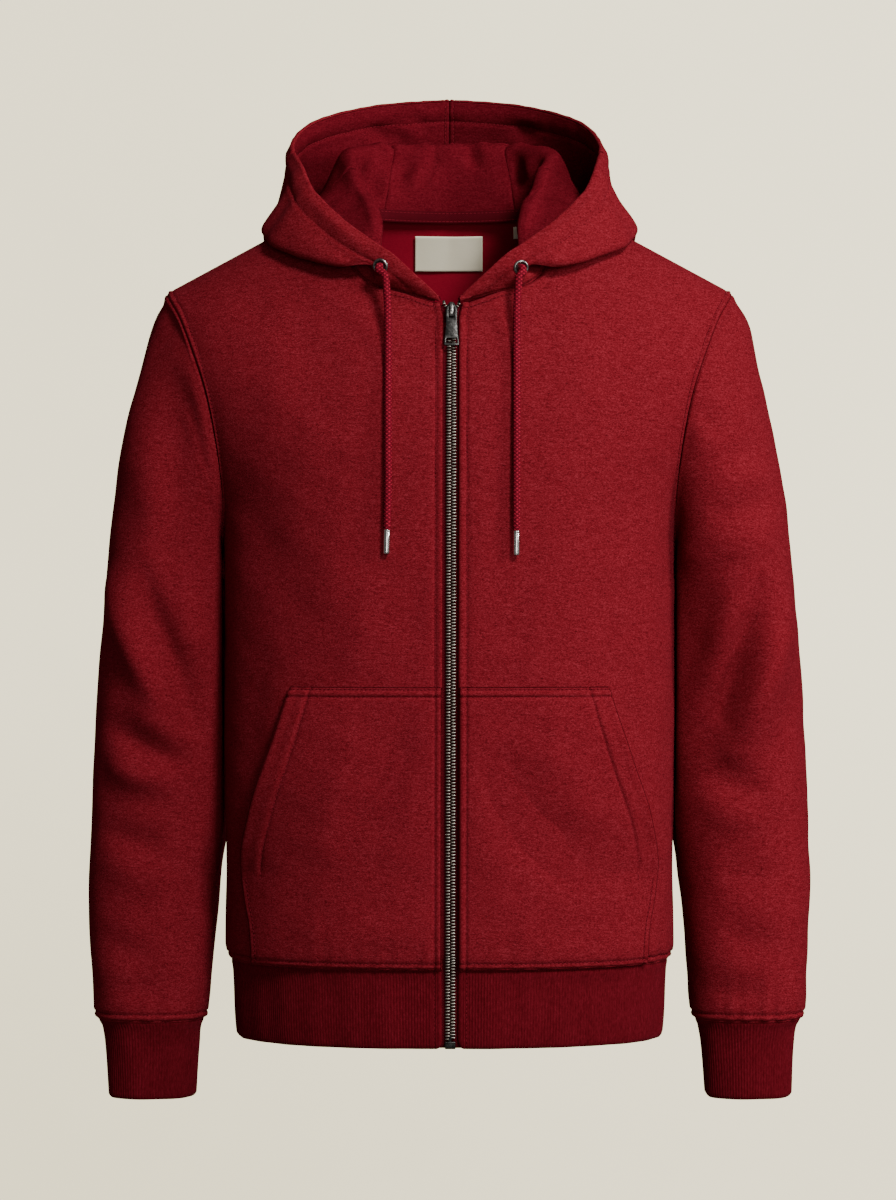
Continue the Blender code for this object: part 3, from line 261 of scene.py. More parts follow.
def panel_point(c, edge_z, side, back):
    """c runs from the centre front (or back) to the side edge, edge_z is the level there."""
    c, edge_z = np.broadcast_arrays(np.asarray(c, float), np.asarray(edge_z, float))
    x_top = c * SHOULDER_X
    share = (edge_z - HEM_SEAM_Z) / (SHOULDER_Z - HEM_SEAM_Z)
    z = HEM_SEAM_Z + (top_z(x_top, back) - HEM_SEAM_Z) * share
    w = side_x(edge_z)
    up = np.clip((edge_z + 270.0) / 130.0, 0, 1)
    near = np.minimum(1.0, (1 - c) / (1 - NECK_SHARE))
    w = w + (SHOULDER_X - w) * up * up * (3 - 2 * up) * near
    x = side * c * w
    if not back:
        start = zip_x(z) + side * PLACKET
        x = x + start * np.maximum(0.0, 1 - c * SHOULDER_X / NECK_X)
    p = torso_point(x, z, back)
    p[..., 1] = np.where((edge_z >= SHOULDER_Z - 1e-6) & (np.abs(x_top) >= NECK_X - 1e-6), 0.0, p[..., 1])
    p[..., 1] = np.where((c >= 1 - 1e-9) & (edge_z <= UNDERARM_Z + 1e-6), 0.0, p[..., 1])
    return p


def torso_level(q):
    """Below 0 inside the torso's form, 0 on it, above 0 outside."""
    x, y, z = q[..., 0], q[..., 1], q[..., 2]
    a = half_width(z)
    back = y > 0
    b = np.where(back, back_depth(z), front_depth(z))
    rise = np.where(back, BACK_RISE_Z, FRONT_RISE_Z)
    power = np.where(back, 2.4, 2.0)
    u = np.maximum(0.0, (z - rise) / (ridge_z(x) - rise))
    hx = 1 - (np.abs(x) / a) ** FORM_N
    vx = 1 - u ** power
    h2 = np.copysign(np.abs(hx) ** (2 / FORM_N), hx)
    v2 = np.copysign(np.abs(vx) ** (2 / power), vx)
    both = (hx < 0) & (vx < 0)
    return (y / b) ** 2 + np.where(both, np.abs(h2) + np.abs(v2), -h2 * v2)


def torso_slope(p, e=0.5):
    return np.stack([(torso_level(p + d) - torso_level(p - d)) / (2 * e) for d in np.eye(3) * e], axis=-1)


def off_torso(p, clear):
    """Points moved out of the torso until they are this far clear of it."""
    p = np.array(p, float)
    clear = np.broadcast_to(np.asarray(clear, float), p.shape[:-1])
    for _ in range(12):
        slope = torso_slope(p)
        size = np.maximum(1e-9, np.linalg.norm(slope, axis=-1))
        far = torso_level(p) / size
        need = np.clip(clear - far, 0.0, 3.0)
        need = np.where(far >= clear - 0.02, 0.0, need)
        if need.max() <= 0:
            break
        p = p + slope / size[..., None] * need[..., None]
    return p


def front_normal(x, z, back=False):
    e = 0.5
    fx = (depth(x + e, z, back) - depth(x - e, z, back)) / (2 * e)
    fz = (depth(x, z + e, back) - depth(x, z - e, back)) / (2 * e)
    n = np.stack(np.broadcast_arrays(-fx, 1.0 if back else -1.0, -fz), axis=-1)
    return unit(n)


def on_front(x, z, lift):
    return torso_point(x, z, False) + front_normal(x, z) * np.asarray(lift, float)[..., None]


# ---------------------------------------------------------------- hood surface
def neck_point(q, side):
    q = np.atleast_1d(np.asarray(q, float))
    wave = np.sin(np.pi * q)
    xf = PLACKET + 1.0 + (NECK_X - PLACKET - 1.0) * wave
    xb = NECK_X * wave
    f = torso_point(xf, top_z(xf, False), False)
    b = torso_point(xb, top_z(xb, True), True)
    p = np.where((q <= 0.5)[:, None], f, b)
    p[np.abs(q - 0.5) < 1e-9] = (NECK_X, 0.0, NECK_Z)
    p[:, 0] *= side
    return p


def neck_leave(q):
    """The way the hood leaves the neck seam: up in the middle, inward on the shoulders."""
    q = np.atleast_1d(np.asarray(q, float))
    seam = unit(neck_point(q + 0.004, 1.0) - neck_point(q - 0.004, 1.0))
    p = neck_point(q, 1.0)
    slope = (SHOULDER_Z - NECK_Z) / (SHOULDER_X - NECK_X)
    out = np.tile(np.array([-slope, 0.0, 1.0]), (len(q), 1))
    for k in range(len(q)):
        if abs(q[k] - 0.5) > 0.03:
            back, e = bool(q[k] > 0.5), 0.5
            x, z = p[k, 0], p[k, 2]
            fx = (depth(x + e, z, back) - depth(x - e, z, back)) / (2 * e)
            fz = (depth(x, z + e, back) - depth(x, z - e, back)) / (2 * e)
            out[k] = (-fx, 1.0 if back else -1.0, -fz)
    way = unit(np.cross(seam, out))
    flip = ((way[:, 0] > 0) & (np.abs(way[:, 0]) > 0.3)) | (way[:, 2] < -0.3)
    way = np.where(flip[:, None], -way, way)
    share = np.exp(-((q - 0.43) / 0.11) ** 2)[:, None]
    return unit(way * share + np.array([0.0, 0.0, 1.0]) * (1.0 - share))


def hood_controls(row, side):
    q, fold, rr, vr, bulge, ridge, valley, lip = row
    leave = neck_leave(min(max(q, 0.005), 0.995))[0]
    n = neck_point(q, 1.0)[0] + HOOD_START * leave
    k, v, l = (np.array(p, float) for p in (ridge, valley, lip))
    if side > 0:
        l[0] *= 1 - LIP_LEFT_IN * min(1.0, max(0.0, (l[2] - 15.0) / 25.0))
    out = v - k
    out[2] = 0.0
    out = out / max(1e-6, float(np.linalg.norm(out)))
    up = np.array([0.0, 0.0, 1.0])
    k1, k2 = k - rr * out - 0.8 * rr * up, k + rr * out - 0.8 * rr * up
    v1, v2 = v - vr * out + 0.8 * vr * up, v + vr * out + 0.8 * vr * up
    stand = n + 0.12 * (k1 - n) + leave * 4.0
    fall = (k2 + v1) / 2
    wall = (v2 + l) / 2 + bulge * (out * 0.9 + np.array([0.0, 0.0, -0.1]))
    folded = [n, stand, k1, k, k2, fall, v1, v, v2, wall, l]
    plain = []
    for t in (0.0, 0.1, 0.2, 0.3, 0.4, 0.5, 0.6, 0.7, 0.8, 0.9, 1.0):
        plain.append((1 - t) ** 2 * n + 2 * t * (1 - t) * (v + np.array([0, -1.5, 0]) * bulge) + t * t * l)
    return np.array([a * fold + b * (1 - fold) for a, b in zip(folded, plain)]) * np.array([side, 1.0, 1.0])


HOOD_Q = np.array([row[0] for row in HOOD])


def hood_sheet(side, sections, along):
    """Grid of points of the hood's middle surface: (sections, along)."""
    controls = np.array([hood_controls(row, side) for row in HOOD])
    sections = np.atleast_1d(np.asarray(sections, float))
    i = np.clip(np.searchsorted(HOOD_Q, sections + 1e-9) - 1, 0, len(HOOD_Q) - 2)
    t = i + (sections - HOOD_Q[i]) / (HOOD_Q[i + 1] - HOOD_Q[i])
    rings = through(controls, t)
    clipped = np.clip(sections, 0.005, 0.995)
    rings[:, 0] = neck_point(sections, side) + HOOD_START * neck_leave(clipped) * np.array([side, 1.0, 1.0])
    lines = np.swapaxes(through(np.swapaxes(rings, 0, 1), along), 0, 1)
    far = off_torso(lines, 3.4)
    lines = np.where((np.asarray(along) > 2.0)[None, :, None], far, lines)
    lines[sections > 1 - 1e-9, :, 0] = 0.0
    return lines


# ------------------------------------------------------------ grids and meshes
collection = bpy.context.scene.collection
materials = {}


def new_mesh(name, points, faces, kind, smooth_faces=True):
    """points in mm; faces an (n, 3) or (n, 4) array, or a list of those."""
    points = np.asarray(points, float).reshape(-1, 3) / 1000.0
    groups = faces if isinstance(faces, list) else [faces]
    groups = [np.asarray(g, np.int32) for g in groups if len(g)]
    loops = np.concatenate([g.reshape(-1) for g in groups])
    sizes = np.concatenate([np.full(len(g), g.shape[1], np.int32) for g in groups])
    starts = np.concatenate([[0], np.cumsum(sizes)[:-1]]).astype(np.int32)
    mesh = bpy.data.meshes.new(name)
    mesh.vertices.add(len(points))
    mesh.vertices.foreach_set("co", points.astype(np.float32).reshape(-1))
    mesh.loops.add(len(loops))
    mesh.loops.foreach_set("vertex_index", loops)
    mesh.polygons.add(len(sizes))
    mesh.polygons.foreach_set("loop_start", starts)
    mesh.polygons.foreach_set("loop_total", sizes)
    mesh.update(calc_edges=True)
    mesh.validate()
    if smooth_faces:
        mesh.shade_smooth()
    mesh.materials.append(materials[kind])
    obj = bpy.data.objects.new(name, mesh)
    collection.objects.link(obj)
    return obj


def grid_faces(ids, closed=False):
    a, b = ids[:-1], ids[1:]
    if closed:
        a2, b2 = np.roll(a, -1, axis=1), np.roll(b, -1, axis=1)
    else:
        a, a2, b, b2 = a[:, :-1], a[:, 1:], b[:, :-1], b[:, 1:]
    return np.stack([a, b, b2, a2], axis=-1).reshape(-1, 4)


def grid_normals(P, closed=False):
    """Normals of a grid: cross of across and along."""
    if closed:
        du = np.roll(P, -1, axis=1) - np.roll(P, 1, axis=1)
    else:
        du = np.gradient(P, axis=1)
    dv = np.gradient(P, axis=0)
    return unit(np.cross(du, dv))


def border(rows, cols):
    """The grid's border, in order, as (i, j)."""
    i = np.concatenate([np.zeros(cols - 1), np.arange(rows - 1), np.full(cols - 1, rows - 1), np.arange(rows - 1, 0, -1)])
    j = np.concatenate([np.arange(cols - 1), np.full(rows - 1, cols - 1), np.arange(cols - 1, 0, -1), np.zeros(rows - 1)])
    return i.astype(int), j.astype(int)


def fewer_behind(obj, behind, keep=0.28):
    """Fewer faces on the hidden side of a shell; behind lists that side's vertices away from its rim."""
    count = len(obj.data.polygons)
    corners = np.zeros(len(obj.data.loops), np.int32)
    starts = np.zeros(count, np.int32)
    obj.data.loops.foreach_get("vertex_index", corners)
    obj.data.polygons.foreach_get("loop_start", starts)
    hidden = np.zeros(len(obj.data.vertices), bool)
    hidden[behind] = True
    share = np.logical_and.reduceat(hidden[corners], starts).mean()
    obj.vertex_groups.new(name="behind").add([int(v) for v in behind], 1.0, "ADD")
    fewer = obj.modifiers.new("fewer_behind", "DECIMATE")
    fewer.decimate_type = "COLLAPSE"
    fewer.vertex_group = "behind"
    fewer.ratio = float(1.0 - share * (1.0 - keep))


def shell(name, outer, inner, kind, closed=False, rim=0.35, thin_inner=1):
    """A closed thin shell between two grids, with a rounded rim. Outer's quads face out."""
    rows, cols = outer.shape[:2]
    keep = np.unique(np.concatenate([np.arange(0, rows, thin_inner), [rows - 1]]))
    inner = inner[keep] if thin_inner > 1 and closed else inner
    r2 = inner.shape[0]
    n_out = rows * cols
    ids = np.arange(n_out).reshape(rows, cols)
    idi = np.arange(r2 * cols).reshape(r2, cols) + n_out
    points = [outer.reshape(-1, 3), inner.reshape(-1, 3)]
    faces = [grid_faces(ids, closed)[:, ::-1], grid_faces(idi, closed)]
    base = n_out + r2 * cols

    def bridge(a, b, pa, pb, toward, loop):
        nonlocal base
        mid = (pa + pb) / 2 + toward * rim
        k = len(a)
        m = np.arange(k) + base
        points.append(mid)
        base += k
        nxt = np.roll(np.arange(k), -1) if loop else np.arange(1, k)
        cur = np.arange(k) if loop else np.arange(k - 1)
        faces.append(np.stack([a[cur], m[cur], m[nxt], a[nxt]], axis=-1))
        faces.append(np.stack([m[cur], b[cur], b[nxt], m[nxt]], axis=-1))

    if closed:
        bridge(ids[0][::-1], idi[0][::-1], outer[0][::-1], inner[0][::-1], unit(outer[0] - outer[1])[::-1], True)
        bridge(ids[-1], idi[-1], outer[-1], inner[-1], unit(outer[-1] - outer[-2]), True)
    else:
        i, j = border(rows, cols)
        ii, jj = np.clip(i, 1, rows - 2), np.clip(j, 1, cols - 2)
        toward = unit(outer[i, j] - outer[ii, jj])
        order = np.arange(len(i))[::-1]
        bridge(ids[i, j][order], idi[i, j][order], outer[i, j][order], inner[i, j][order], toward[order], True)
    obj = new_mesh(name, np.concatenate(points), faces, kind)
    fewer_behind(obj, (idi[2:-2] if closed else idi[2:-2, 2:-2]).reshape(-1))
    return obj


def two_faced(obj, size, kind):
    """Gives the inner face of a shell its own material, for a cloth whose two faces differ."""
    obj.data.materials.append(materials[kind])
    each = (size[0] - 1) * (size[1] - 1)
    index = np.zeros(len(obj.data.polygons), np.int32)
    index[each:2 * each] = 1
    obj.data.polygons.foreach_set("material_index", index)


def arcs(P, closed=False):
    """Distances in mm from each edge of a grid, along its own lines."""
    u = np.linalg.norm(np.diff(P, axis=1), axis=2)
    v = np.linalg.norm(np.diff(P, axis=0), axis=2)
    left = np.concatenate([np.zeros((P.shape[0], 1)), np.cumsum(u, axis=1)], axis=1)
    low = np.concatenate([np.zeros((1, P.shape[1])), np.cumsum(v, axis=0)], axis=0)
    return {"left": left, "right": left[:, -1:] - left, "low": low, "high": low[-1:] - low}


def soft_noise(P, wave, seed, count=7):
    """A smooth uneven field of about -1 to 1, with bumps about this wide in mm."""
    rng = np.random.RandomState(seed)
    total = np.zeros(P.shape[:-1])
    for _ in range(count):
        k = rng.normal(size=3)
        k = k / np.linalg.norm(k) * 2 * math.pi / (wave * rng.uniform(0.7, 1.6))
        total += np.sin(P @ k + rng.uniform(0, 2 * math.pi)) * rng.uniform(0.6, 1.0)
    return total / (0.55 * count)


def creases(P, N, rows, look):
    """Soft troughs and ridges: rows of (width, depth, lean, [(x, z), ...]), on the side that looks this way."""
    total = np.zeros(P.shape[:-1])
    look = np.asarray(look, float)
    side = smooth((N @ look), 0.05, 0.5)
    q = P[..., [0, 2]].reshape(-1, 2)
    for width, height, lean, path in rows:
        pts = through(np.array(path, float), np.linspace(0, len(path) - 1, 6 * (len(path) - 1) + 1))
        reach = width * 3.2
        near = np.where((q[:, 0] > pts[:, 0].min() - reach) & (q[:, 0] < pts[:, 0].max() + reach)
                        & (q[:, 1] > pts[:, 1].min() - reach) & (q[:, 1] < pts[:, 1].max() + reach))[0]
        if not len(near):
            continue
        a, b = pts[:-1], pts[1:]
        ab = b - a
        seg = np.linalg.norm(ab, axis=1)
        cum = np.concatenate([[0], np.cumsum(seg)])
        d = q[near][:, None, :] - a[None]
        t = np.clip((d * ab[None]).sum(-1) / np.maximum(1e-9, seg ** 2)[None], 0, 1)
        off = d - t[..., None] * ab[None]
        dist = np.linalg.norm(off, axis=-1)
        best = dist.argmin(axis=1)
        pick = np.arange(len(near))
        cross = ab[best, 0] * off[pick, best, 1] - ab[best, 1] * off[pick, best, 0]
        signed = np.copysign(dist[pick, best], cross)
        share = (cum[best] + t[pick, best] * seg[best]) / cum[-1]
        taper = np.sin(np.pi * np.clip(share, 0, 1)) ** 0.75
        w = width * (1 + lean * np.tanh(signed / width)) * (0.75 + 0.25 * taper)
        shape = bell(signed, w) - 0.32 * bell(np.abs(signed) - 2.0 * width, 0.9 * width)
        flat = total.reshape(-1)
        flat[near] += height * shape * taper
    return total * side


def finish_piece(obj, node=None, body="garment"):
    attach(obj, body)
    if node:
        for n in ([node] if isinstance(node, str) else node):
            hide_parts(n)
    return obj


def thread(name, lines, kind, length=2.7, gap=0.9, radius=0.32, lift=0.12, width=1.0):
    """Rows of stitches: each line is (points, normals), each stitch a small soft grain of thread."""
    sides = 4
    ring = np.array([(math.cos(2 * math.pi * k / sides), math.sin(2 * math.pi * k / sides)) for k in range(sides)])
    stations = ((-0.5, 0.35), (-0.3, 1.0), (0.3, 1.0), (0.5, 0.35))
    pts, quads, caps, base = [], [], [], 0
    for points, normals in lines:
        points, normals = np.asarray(points, float), np.asarray(normals, float)
        s = np.concatenate([[0], np.cumsum(np.linalg.norm(np.diff(points, axis=0), axis=1))])
        count = int(s[-1] / (length + gap))
        for k in range(count):
            m = (k + 0.5) * (length + gap) * s[-1] / (count * (length + gap))
            a = np.array([np.interp(m - length / 2, s, points[:, c]) for c in range(3)])
            b = np.array([np.interp(m + length / 2, s, points[:, c]) for c in range(3)])
            n = unit(np.array([np.interp(m, s, normals[:, c]) for c in range(3)]))
            way = unit(b - a)
            side = unit(np.cross(way, n))
            for f, r in stations:
                centre = (a + b) / 2 + (b - a) * f + n * (lift + radius * 0.25 * (r - 0.6))
                for cx, cy in ring:
                    pts.append(centre + (side * cx * width + n * cy * 0.8) * radius * r)
            for j in range(len(stations) - 1):
                for c in range(sides):
                    c2 = (c + 1) % sides
                    quads.append((base + j * sides + c, base + j * sides + c2,
                                  base + (j + 1) * sides + c2, base + (j + 1) * sides + c))
            last = base + (len(stations) - 1) * sides
            caps.append(tuple(base + c for c in range(sides))[::-1])
            caps.append(tuple(last + c for c in range(sides)))
            base += len(stations) * sides
    return new_mesh(name, np.array(pts), [np.array(quads), np.array(caps)], kind)


# ------------------------------------------------------------------- materials
class Nodes:
    """A short way to write a node tree."""

    def __init__(self, name):
        self.m = bpy.data.materials.new(name)
        self.m.use_nodes = True
        self.t = self.m.node_tree
        self.shader = self.t.nodes["Principled BSDF"]
        self.coord = self.t.nodes.new("ShaderNodeTexCoord").outputs["Object"]
        materials[name] = self.m

    def node(self, kind, inputs=(), **settings):
        n = self.t.nodes.new(kind)
        for k, v in settings.items():
            setattr(n, k, v)
        for k, v in dict(inputs).items():
            if isinstance(v, bpy.types.NodeSocket):
                self.t.links.new(v, n.inputs[k])
            else:
                n.inputs[k].default_value = v
        return n

    def noise(self, stretch, scale=1.0, detail=3.0, rough=0.55):
        """Noise; stretch is the features per metre along x, y and z."""
        m = self.node("ShaderNodeMapping", {"Vector": self.coord, "Scale": stretch})
        n = self.node("ShaderNodeTexNoise", {"Vector": m.outputs[0], "Scale": scale, "Detail": detail, "Roughness": rough})
        return n.outputs["Fac"]

    def math(self, op, a, b=0.0, c=0.0):
        return self.node("ShaderNodeMath", {0: a, 1: b, 2: c}, operation=op).outputs[0]

    def ramp(self, fac, stops):
        n = self.node("ShaderNodeValToRGB", {"Fac": fac})
        e = n.color_ramp.elements
        while len(e) < len(stops):
            e.new(0.5)
        for el, (pos, col) in zip(e, stops):
            el.position = pos
            el.color = (*col, 1)
        return n.outputs["Color"]

    def mix(self, fac, a, b):
        n = self.node("ShaderNodeMix", data_type="RGBA")
        for k, v in ((0, fac), (6, a), (7, b)):
            if isinstance(v, bpy.types.NodeSocket):
                self.t.links.new(v, n.inputs[k])
            else:
                n.inputs[k].default_value = (*v, 1) if isinstance(v, tuple) else v
        return n.outputs[2]

    def bump(self, height, strength, distance, normal=None):
        ins = {"Height": height, "Strength": strength, "Distance": distance}
        if normal is not None:
            ins["Normal"] = normal
        return self.node("ShaderNodeBump", ins).outputs["Normal"]

    def put(self, **values):
        for k, v in values.items():
            name = {"color": "Base Color", "rough": "Roughness", "metal": "Metallic", "sheen": "Sheen Weight",
                    "sheen_rough": "Sheen Roughness", "sheen_tint": "Sheen Tint", "normal": "Normal",
                    "specular": "Specular IOR Level", "aniso": "Anisotropic", "coat": "Coat Weight"}[k]
            if isinstance(v, bpy.types.NodeSocket):
                self.t.links.new(v, self.shader.inputs[name])
            else:
                self.shader.inputs[name].default_value = v


def shade_strip_mesh(name, lines, kind, width=1.3, lift=0.07):
    """Painted shade for the floor of a sewn groove or a shadow line beside an edge: a narrow dark strip along each
    line, (points, normals, width factor).
    """
    pts, quads, base = [], [], 0
    for line in lines:
        points, normals = np.asarray(line[0], float), np.asarray(line[1], float)
        if len(points) < 3:
            continue
        way = unit(np.gradient(points, axis=0))
        side = unit(np.cross(way, normals)) * width / 2 * (line[2] if len(line) > 2 else 1.0)
        mid = points + normals * lift
        rows = np.stack([mid - side, mid, mid + side], axis=1)
        ids = base + np.arange(rows.shape[0] * 3).reshape(-1, 3)
        pts.append(rows.reshape(-1, 3))
        quads.append(grid_faces(ids))
        base += rows.shape[0] * 3
    return new_mesh(name, np.concatenate(pts), [np.concatenate(quads)], kind)


def times(c, k):
    return tuple(min(1.0, v * k) for v in c)


FLEECE = (0.155, 0.0078, 0.0140)
# the backdrop's glow, from its painted shade to its painted light
STAGE_PAINTED_SHADE = (0.68, 0.606, 0.400)
STAGE_PAINTED_LIGHT = (0.98, 0.885, 0.618)


def fleece(name, base, marl=1.0, streak=(560, 560, 1150), sheen=0.025, pale=1.0):
    """Marl brushed fleece: red fibres of uneven depth lying in fine courses."""
    n = Nodes(name)
    a = n.noise(streak, detail=4.0, rough=0.66)
    b = n.noise((120, 120, 620), detail=3.0, rough=0.6)
    c = n.noise((1500, 1500, 1900), detail=2.0, rough=0.7)
    mixed = n.math("MULTIPLY_ADD", a, 0.46, n.math("MULTIPLY_ADD", b, 0.16, n.math("MULTIPLY", c, 0.38)))
    lo, hi = 0.5 - 0.13, 0.5 + 0.13
    dark, light = times(base, 1 - 0.66 * marl), times(base, 1 + 0.58 * marl)
    light = (light[0], light[1] + 0.012 * pale, light[2] + 0.014 * pale)
    color = n.ramp(mixed, [(lo, dark), (0.5, base), (hi, light)])
    fleck = n.noise((560, 560, 1900), detail=5.0, rough=0.75)
    spots = n.ramp(fleck, [(0.60, (0, 0, 0)), (0.72, (1, 1, 1))])
    tip = (min(1, base[0] * 1.75), base[1] + 0.038 * pale, base[2] + 0.046 * pale)
    color = n.mix(n.math("MULTIPLY", spots, 0.55 * marl), color, tip)
    fuzz = n.noise((2600, 2600, 2600), detail=2.0, rough=0.7)
    height = n.math("MULTIPLY_ADD", a, 0.6, n.math("MULTIPLY", fuzz, 0.5))
    n.put(color=color, rough=0.94, sheen=sheen, sheen_rough=0.45, sheen_tint=(0.85, 0.16, 0.24, 1), specular=0.0,
          normal=n.bump(height, 0.75, 0.0006))
    return n


fleece("fleece", FLEECE)
fleece("fleece_hood", times(FLEECE, 1.02))
inside = Nodes("inside")
loops = inside.noise((520, 520, 1700), detail=3.0, rough=0.6)
knots = inside.noise((1500, 1500, 1500), detail=2.0)
tone = inside.math("MULTIPLY_ADD", loops, 0.6, inside.math("MULTIPLY", knots, 0.4))
inside.put(color=inside.ramp(tone, [(0.36, (0.24, 0.0075, 0.020)), (0.62, (0.31, 0.0110, 0.027))]), rough=0.95,
           specular=0.0, normal=inside.bump(loops, 0.4, 0.0003))
# the hood's lining and gusset: the same fleece darkened, painted shade for the hollow inside the hood
fleece("inside_hood", (0.105, 0.0044, 0.0100), marl=0.9, sheen=0.0, pale=0.4)
# a dark copy of the fleece: painted shade for the floor of sewn grooves and the shadow lines along edges
fleece("painted_groove_shade", times(FLEECE, 0.40), marl=0.8, sheen=0.0, pale=0.2)
RIB = (0.092, 0.0042, 0.0084)
rib = Nodes("rib")
fibre = rib.noise((700, 700, 240), detail=4.0, rough=0.65)
patch = rib.noise((70, 70, 40), detail=2.0)
grain = rib.noise((1900, 1900, 2300), detail=2.0, rough=0.7)
tone = rib.math("MULTIPLY_ADD", fibre, 0.45, rib.math("MULTIPLY_ADD", patch, 0.08, rib.math("MULTIPLY", grain, 0.47)))
rib.put(color=rib.ramp(tone, [(0.36, times(RIB, 0.60)), (0.5, RIB), (0.64, (0.142, 0.008, 0.016))]), rough=0.93, sheen=0.07,
        sheen_rough=0.45, sheen_tint=(0.85, 0.16, 0.24, 1), specular=0.0, normal=rib.bump(grain, 0.5, 0.0003))
sew = Nodes("thread")
twist = sew.noise((2400, 2400, 2400), detail=2.0)
sew.put(color=sew.ramp(twist, [(0.35, (0.15, 0.006, 0.015)), (0.65, (0.27, 0.018, 0.032))]), rough=0.8, specular=0.05,
        normal=sew.bump(twist, 0.4, 0.0002))
tape = Nodes("tape")
m = tape.node("ShaderNodeMapping", {"Vector": tape.coord, "Rotation": (0.0, math.radians(38), 0.0), "Scale": (1.0, 1.0, 1.0)})
wave = tape.node("ShaderNodeTexWave", {"Vector": m.outputs[0], "Scale": 260.0, "Distortion": 0.6, "Detail": 1.0, "Detail Scale": 8.0},
                 bands_direction="X").outputs["Fac"]
grain = tape.noise((900, 900, 900), detail=3.0)
tone = tape.math("MULTIPLY_ADD", wave, 0.45, tape.math("MULTIPLY", grain, 0.55))
tape.put(color=tape.ramp(tone, [(0.25, (0.040, 0.0015, 0.0040)), (0.75, (0.100, 0.0045, 0.0105))]), rough=0.9, specular=0.03,
         normal=tape.bump(wave, 0.5, 0.0003))
satin = Nodes("satin")
warp = satin.noise((260, 260, 5200), detail=2.0)
soft = satin.noise((60, 60, 60), detail=2.0)
tone = satin.math("MULTIPLY_ADD", warp, 0.5, satin.math("MULTIPLY", soft, 0.5))
satin.put(color=satin.ramp(tone, [(0.3, (0.93, 0.87, 0.655)), (0.7, (1.0, 0.94, 0.735))]), rough=0.42, sheen=0.1, specular=0.5,
          normal=satin.bump(warp, 0.3, 0.0002))


def metal(name, dark, mid, light, rough, scratch=0.5):
    n = Nodes(name)
    worn = n.noise((350, 350, 350), detail=5.0, rough=0.65)
    fine = n.noise((2600, 2600, 900), detail=3.0, rough=0.7)
    tone = n.math("MULTIPLY_ADD", worn, 0.6, n.math("MULTIPLY", fine, 0.4))
    n.put(color=n.ramp(tone, [(0.36, dark), (0.52, mid), (0.66, light)]), metal=1.0,
          rough=n.math("MULTIPLY_ADD", fine, 0.25, rough - 0.12), normal=n.bump(fine, 0.35 * scratch, 0.0002))
    return n


metal("gunmetal", (0.020, 0.0195, 0.019), (0.062, 0.060, 0.058), (0.175, 0.17, 0.163), 0.32)
metal("bridge", (0.09, 0.087, 0.082), (0.24, 0.233, 0.222), (0.48, 0.465, 0.44), 0.28)
metal("teeth", (0.11, 0.101, 0.087), (0.29, 0.265, 0.228), (0.50, 0.46, 0.40), 0.34)
metal("silver", (0.46, 0.45, 0.44), (0.66, 0.65, 0.63), (0.82, 0.81, 0.79), 0.20)
# a near-black colour for a disc set in each eyelet: painted shade for the hollow of the hole
painted_hole_shade = Nodes("painted_hole_shade")
grain = painted_hole_shade.noise((900, 900, 900), detail=2.0)
painted_hole_shade.put(color=painted_hole_shade.ramp(grain, [(0.3, (0.012, 0.002, 0.003)), (0.7, (0.03, 0.004, 0.006))]), rough=0.95)
braid = Nodes("cord")
yarn = braid.noise((1500, 1500, 1500), detail=3.0, rough=0.65)
turns = braid.noise((520, 520, 900), detail=2.0)
tone = braid.math("MULTIPLY_ADD", yarn, 0.55, braid.math("MULTIPLY", turns, 0.45))
# two crossing diagonal bands paint the braid's light and shade: painted highlights on the strand crests, painted shade
# in the gaps between them
strands = []
for turn in (52, -52):
    m = braid.node("ShaderNodeMapping", {"Vector": braid.coord, "Rotation": (0.0, math.radians(turn), 0.0)})
    strands.append(braid.node("ShaderNodeTexWave", {"Vector": m.outputs[0], "Scale": 128.0, "Distortion": 0.8, "Detail": 1.0,
                                                    "Detail Scale": 6.0}, bands_direction="X").outputs["Fac"])
cross = braid.math("MULTIPLY", strands[0], strands[1])
tone = braid.math("MULTIPLY_ADD", cross, 0.26, braid.math("MULTIPLY_ADD", tone, 0.60, 0.115))
braid.put(color=braid.ramp(tone, [(0.36, (0.062, 0.0014, 0.005)), (0.50, (0.165, 0.005, 0.017)), (0.66, (0.38, 0.018, 0.040))]), rough=0.8,
          sheen=0.0, specular=0.05, normal=braid.bump(yarn, 0.4, 0.0003))

# ------------------------------------------------------------- the cords, first
def hood_face(x, z, side):
    """The outer face of the hood in front, near the eyelet: its point and its way out."""
    grid = hood_sheet(side, [0.140, 0.180, 0.215, 0.240, 0.262, 0.285, 0.310], [5, 6, 7, 7.5, 8, 8.5, 9, 9.5, 10])
    uu, vv = np.meshgrid(np.linspace(0, 1, 9), np.linspace(0, 1, 9), indexing="ij")
    best, found = 1e9, None
    for i in range(grid.shape[0] - 1):
        for j in range(grid.shape[1] - 1):
            u, v = uu[..., None], vv[..., None]
            p = ((1 - u) * (1 - v) * grid[i, j] + u * (1 - v) * grid[i + 1, j]
                 + u * v * grid[i + 1, j + 1] + (1 - u) * v * grid[i, j + 1])
            miss = (p[..., 0] - x) ** 2 + (p[..., 2] - z) ** 2
            k = np.unravel_index(miss.argmin(), miss.shape)
            if miss[k] < best:
                n = np.cross(grid[i + 1, j + 1] - grid[i, j], grid[i, j + 1] - grid[i + 1, j])
                best, found = miss[k], (p[k], n)
    p, n = found
    n = n / np.linalg.norm(n)
    if n[1] > 0:
        n = -n
    return p + n * (HOOD_CLOTH + 0.15), n


def frames(path):
    """Tangent, side and up along a path, turning as little as possible."""
    t = unit(np.gradient(path, axis=0))
    side = np.zeros_like(path)
    s = np.cross(t[0], np.array([1.0, 0.0, 0.0]))
    s = s / np.linalg.norm(s)
    for i in range(len(path)):
        s = s - t[i] * np.dot(s, t[i])
        s = s / np.linalg.norm(s)
        side[i] = s
    return t, side, np.cross(t, side)


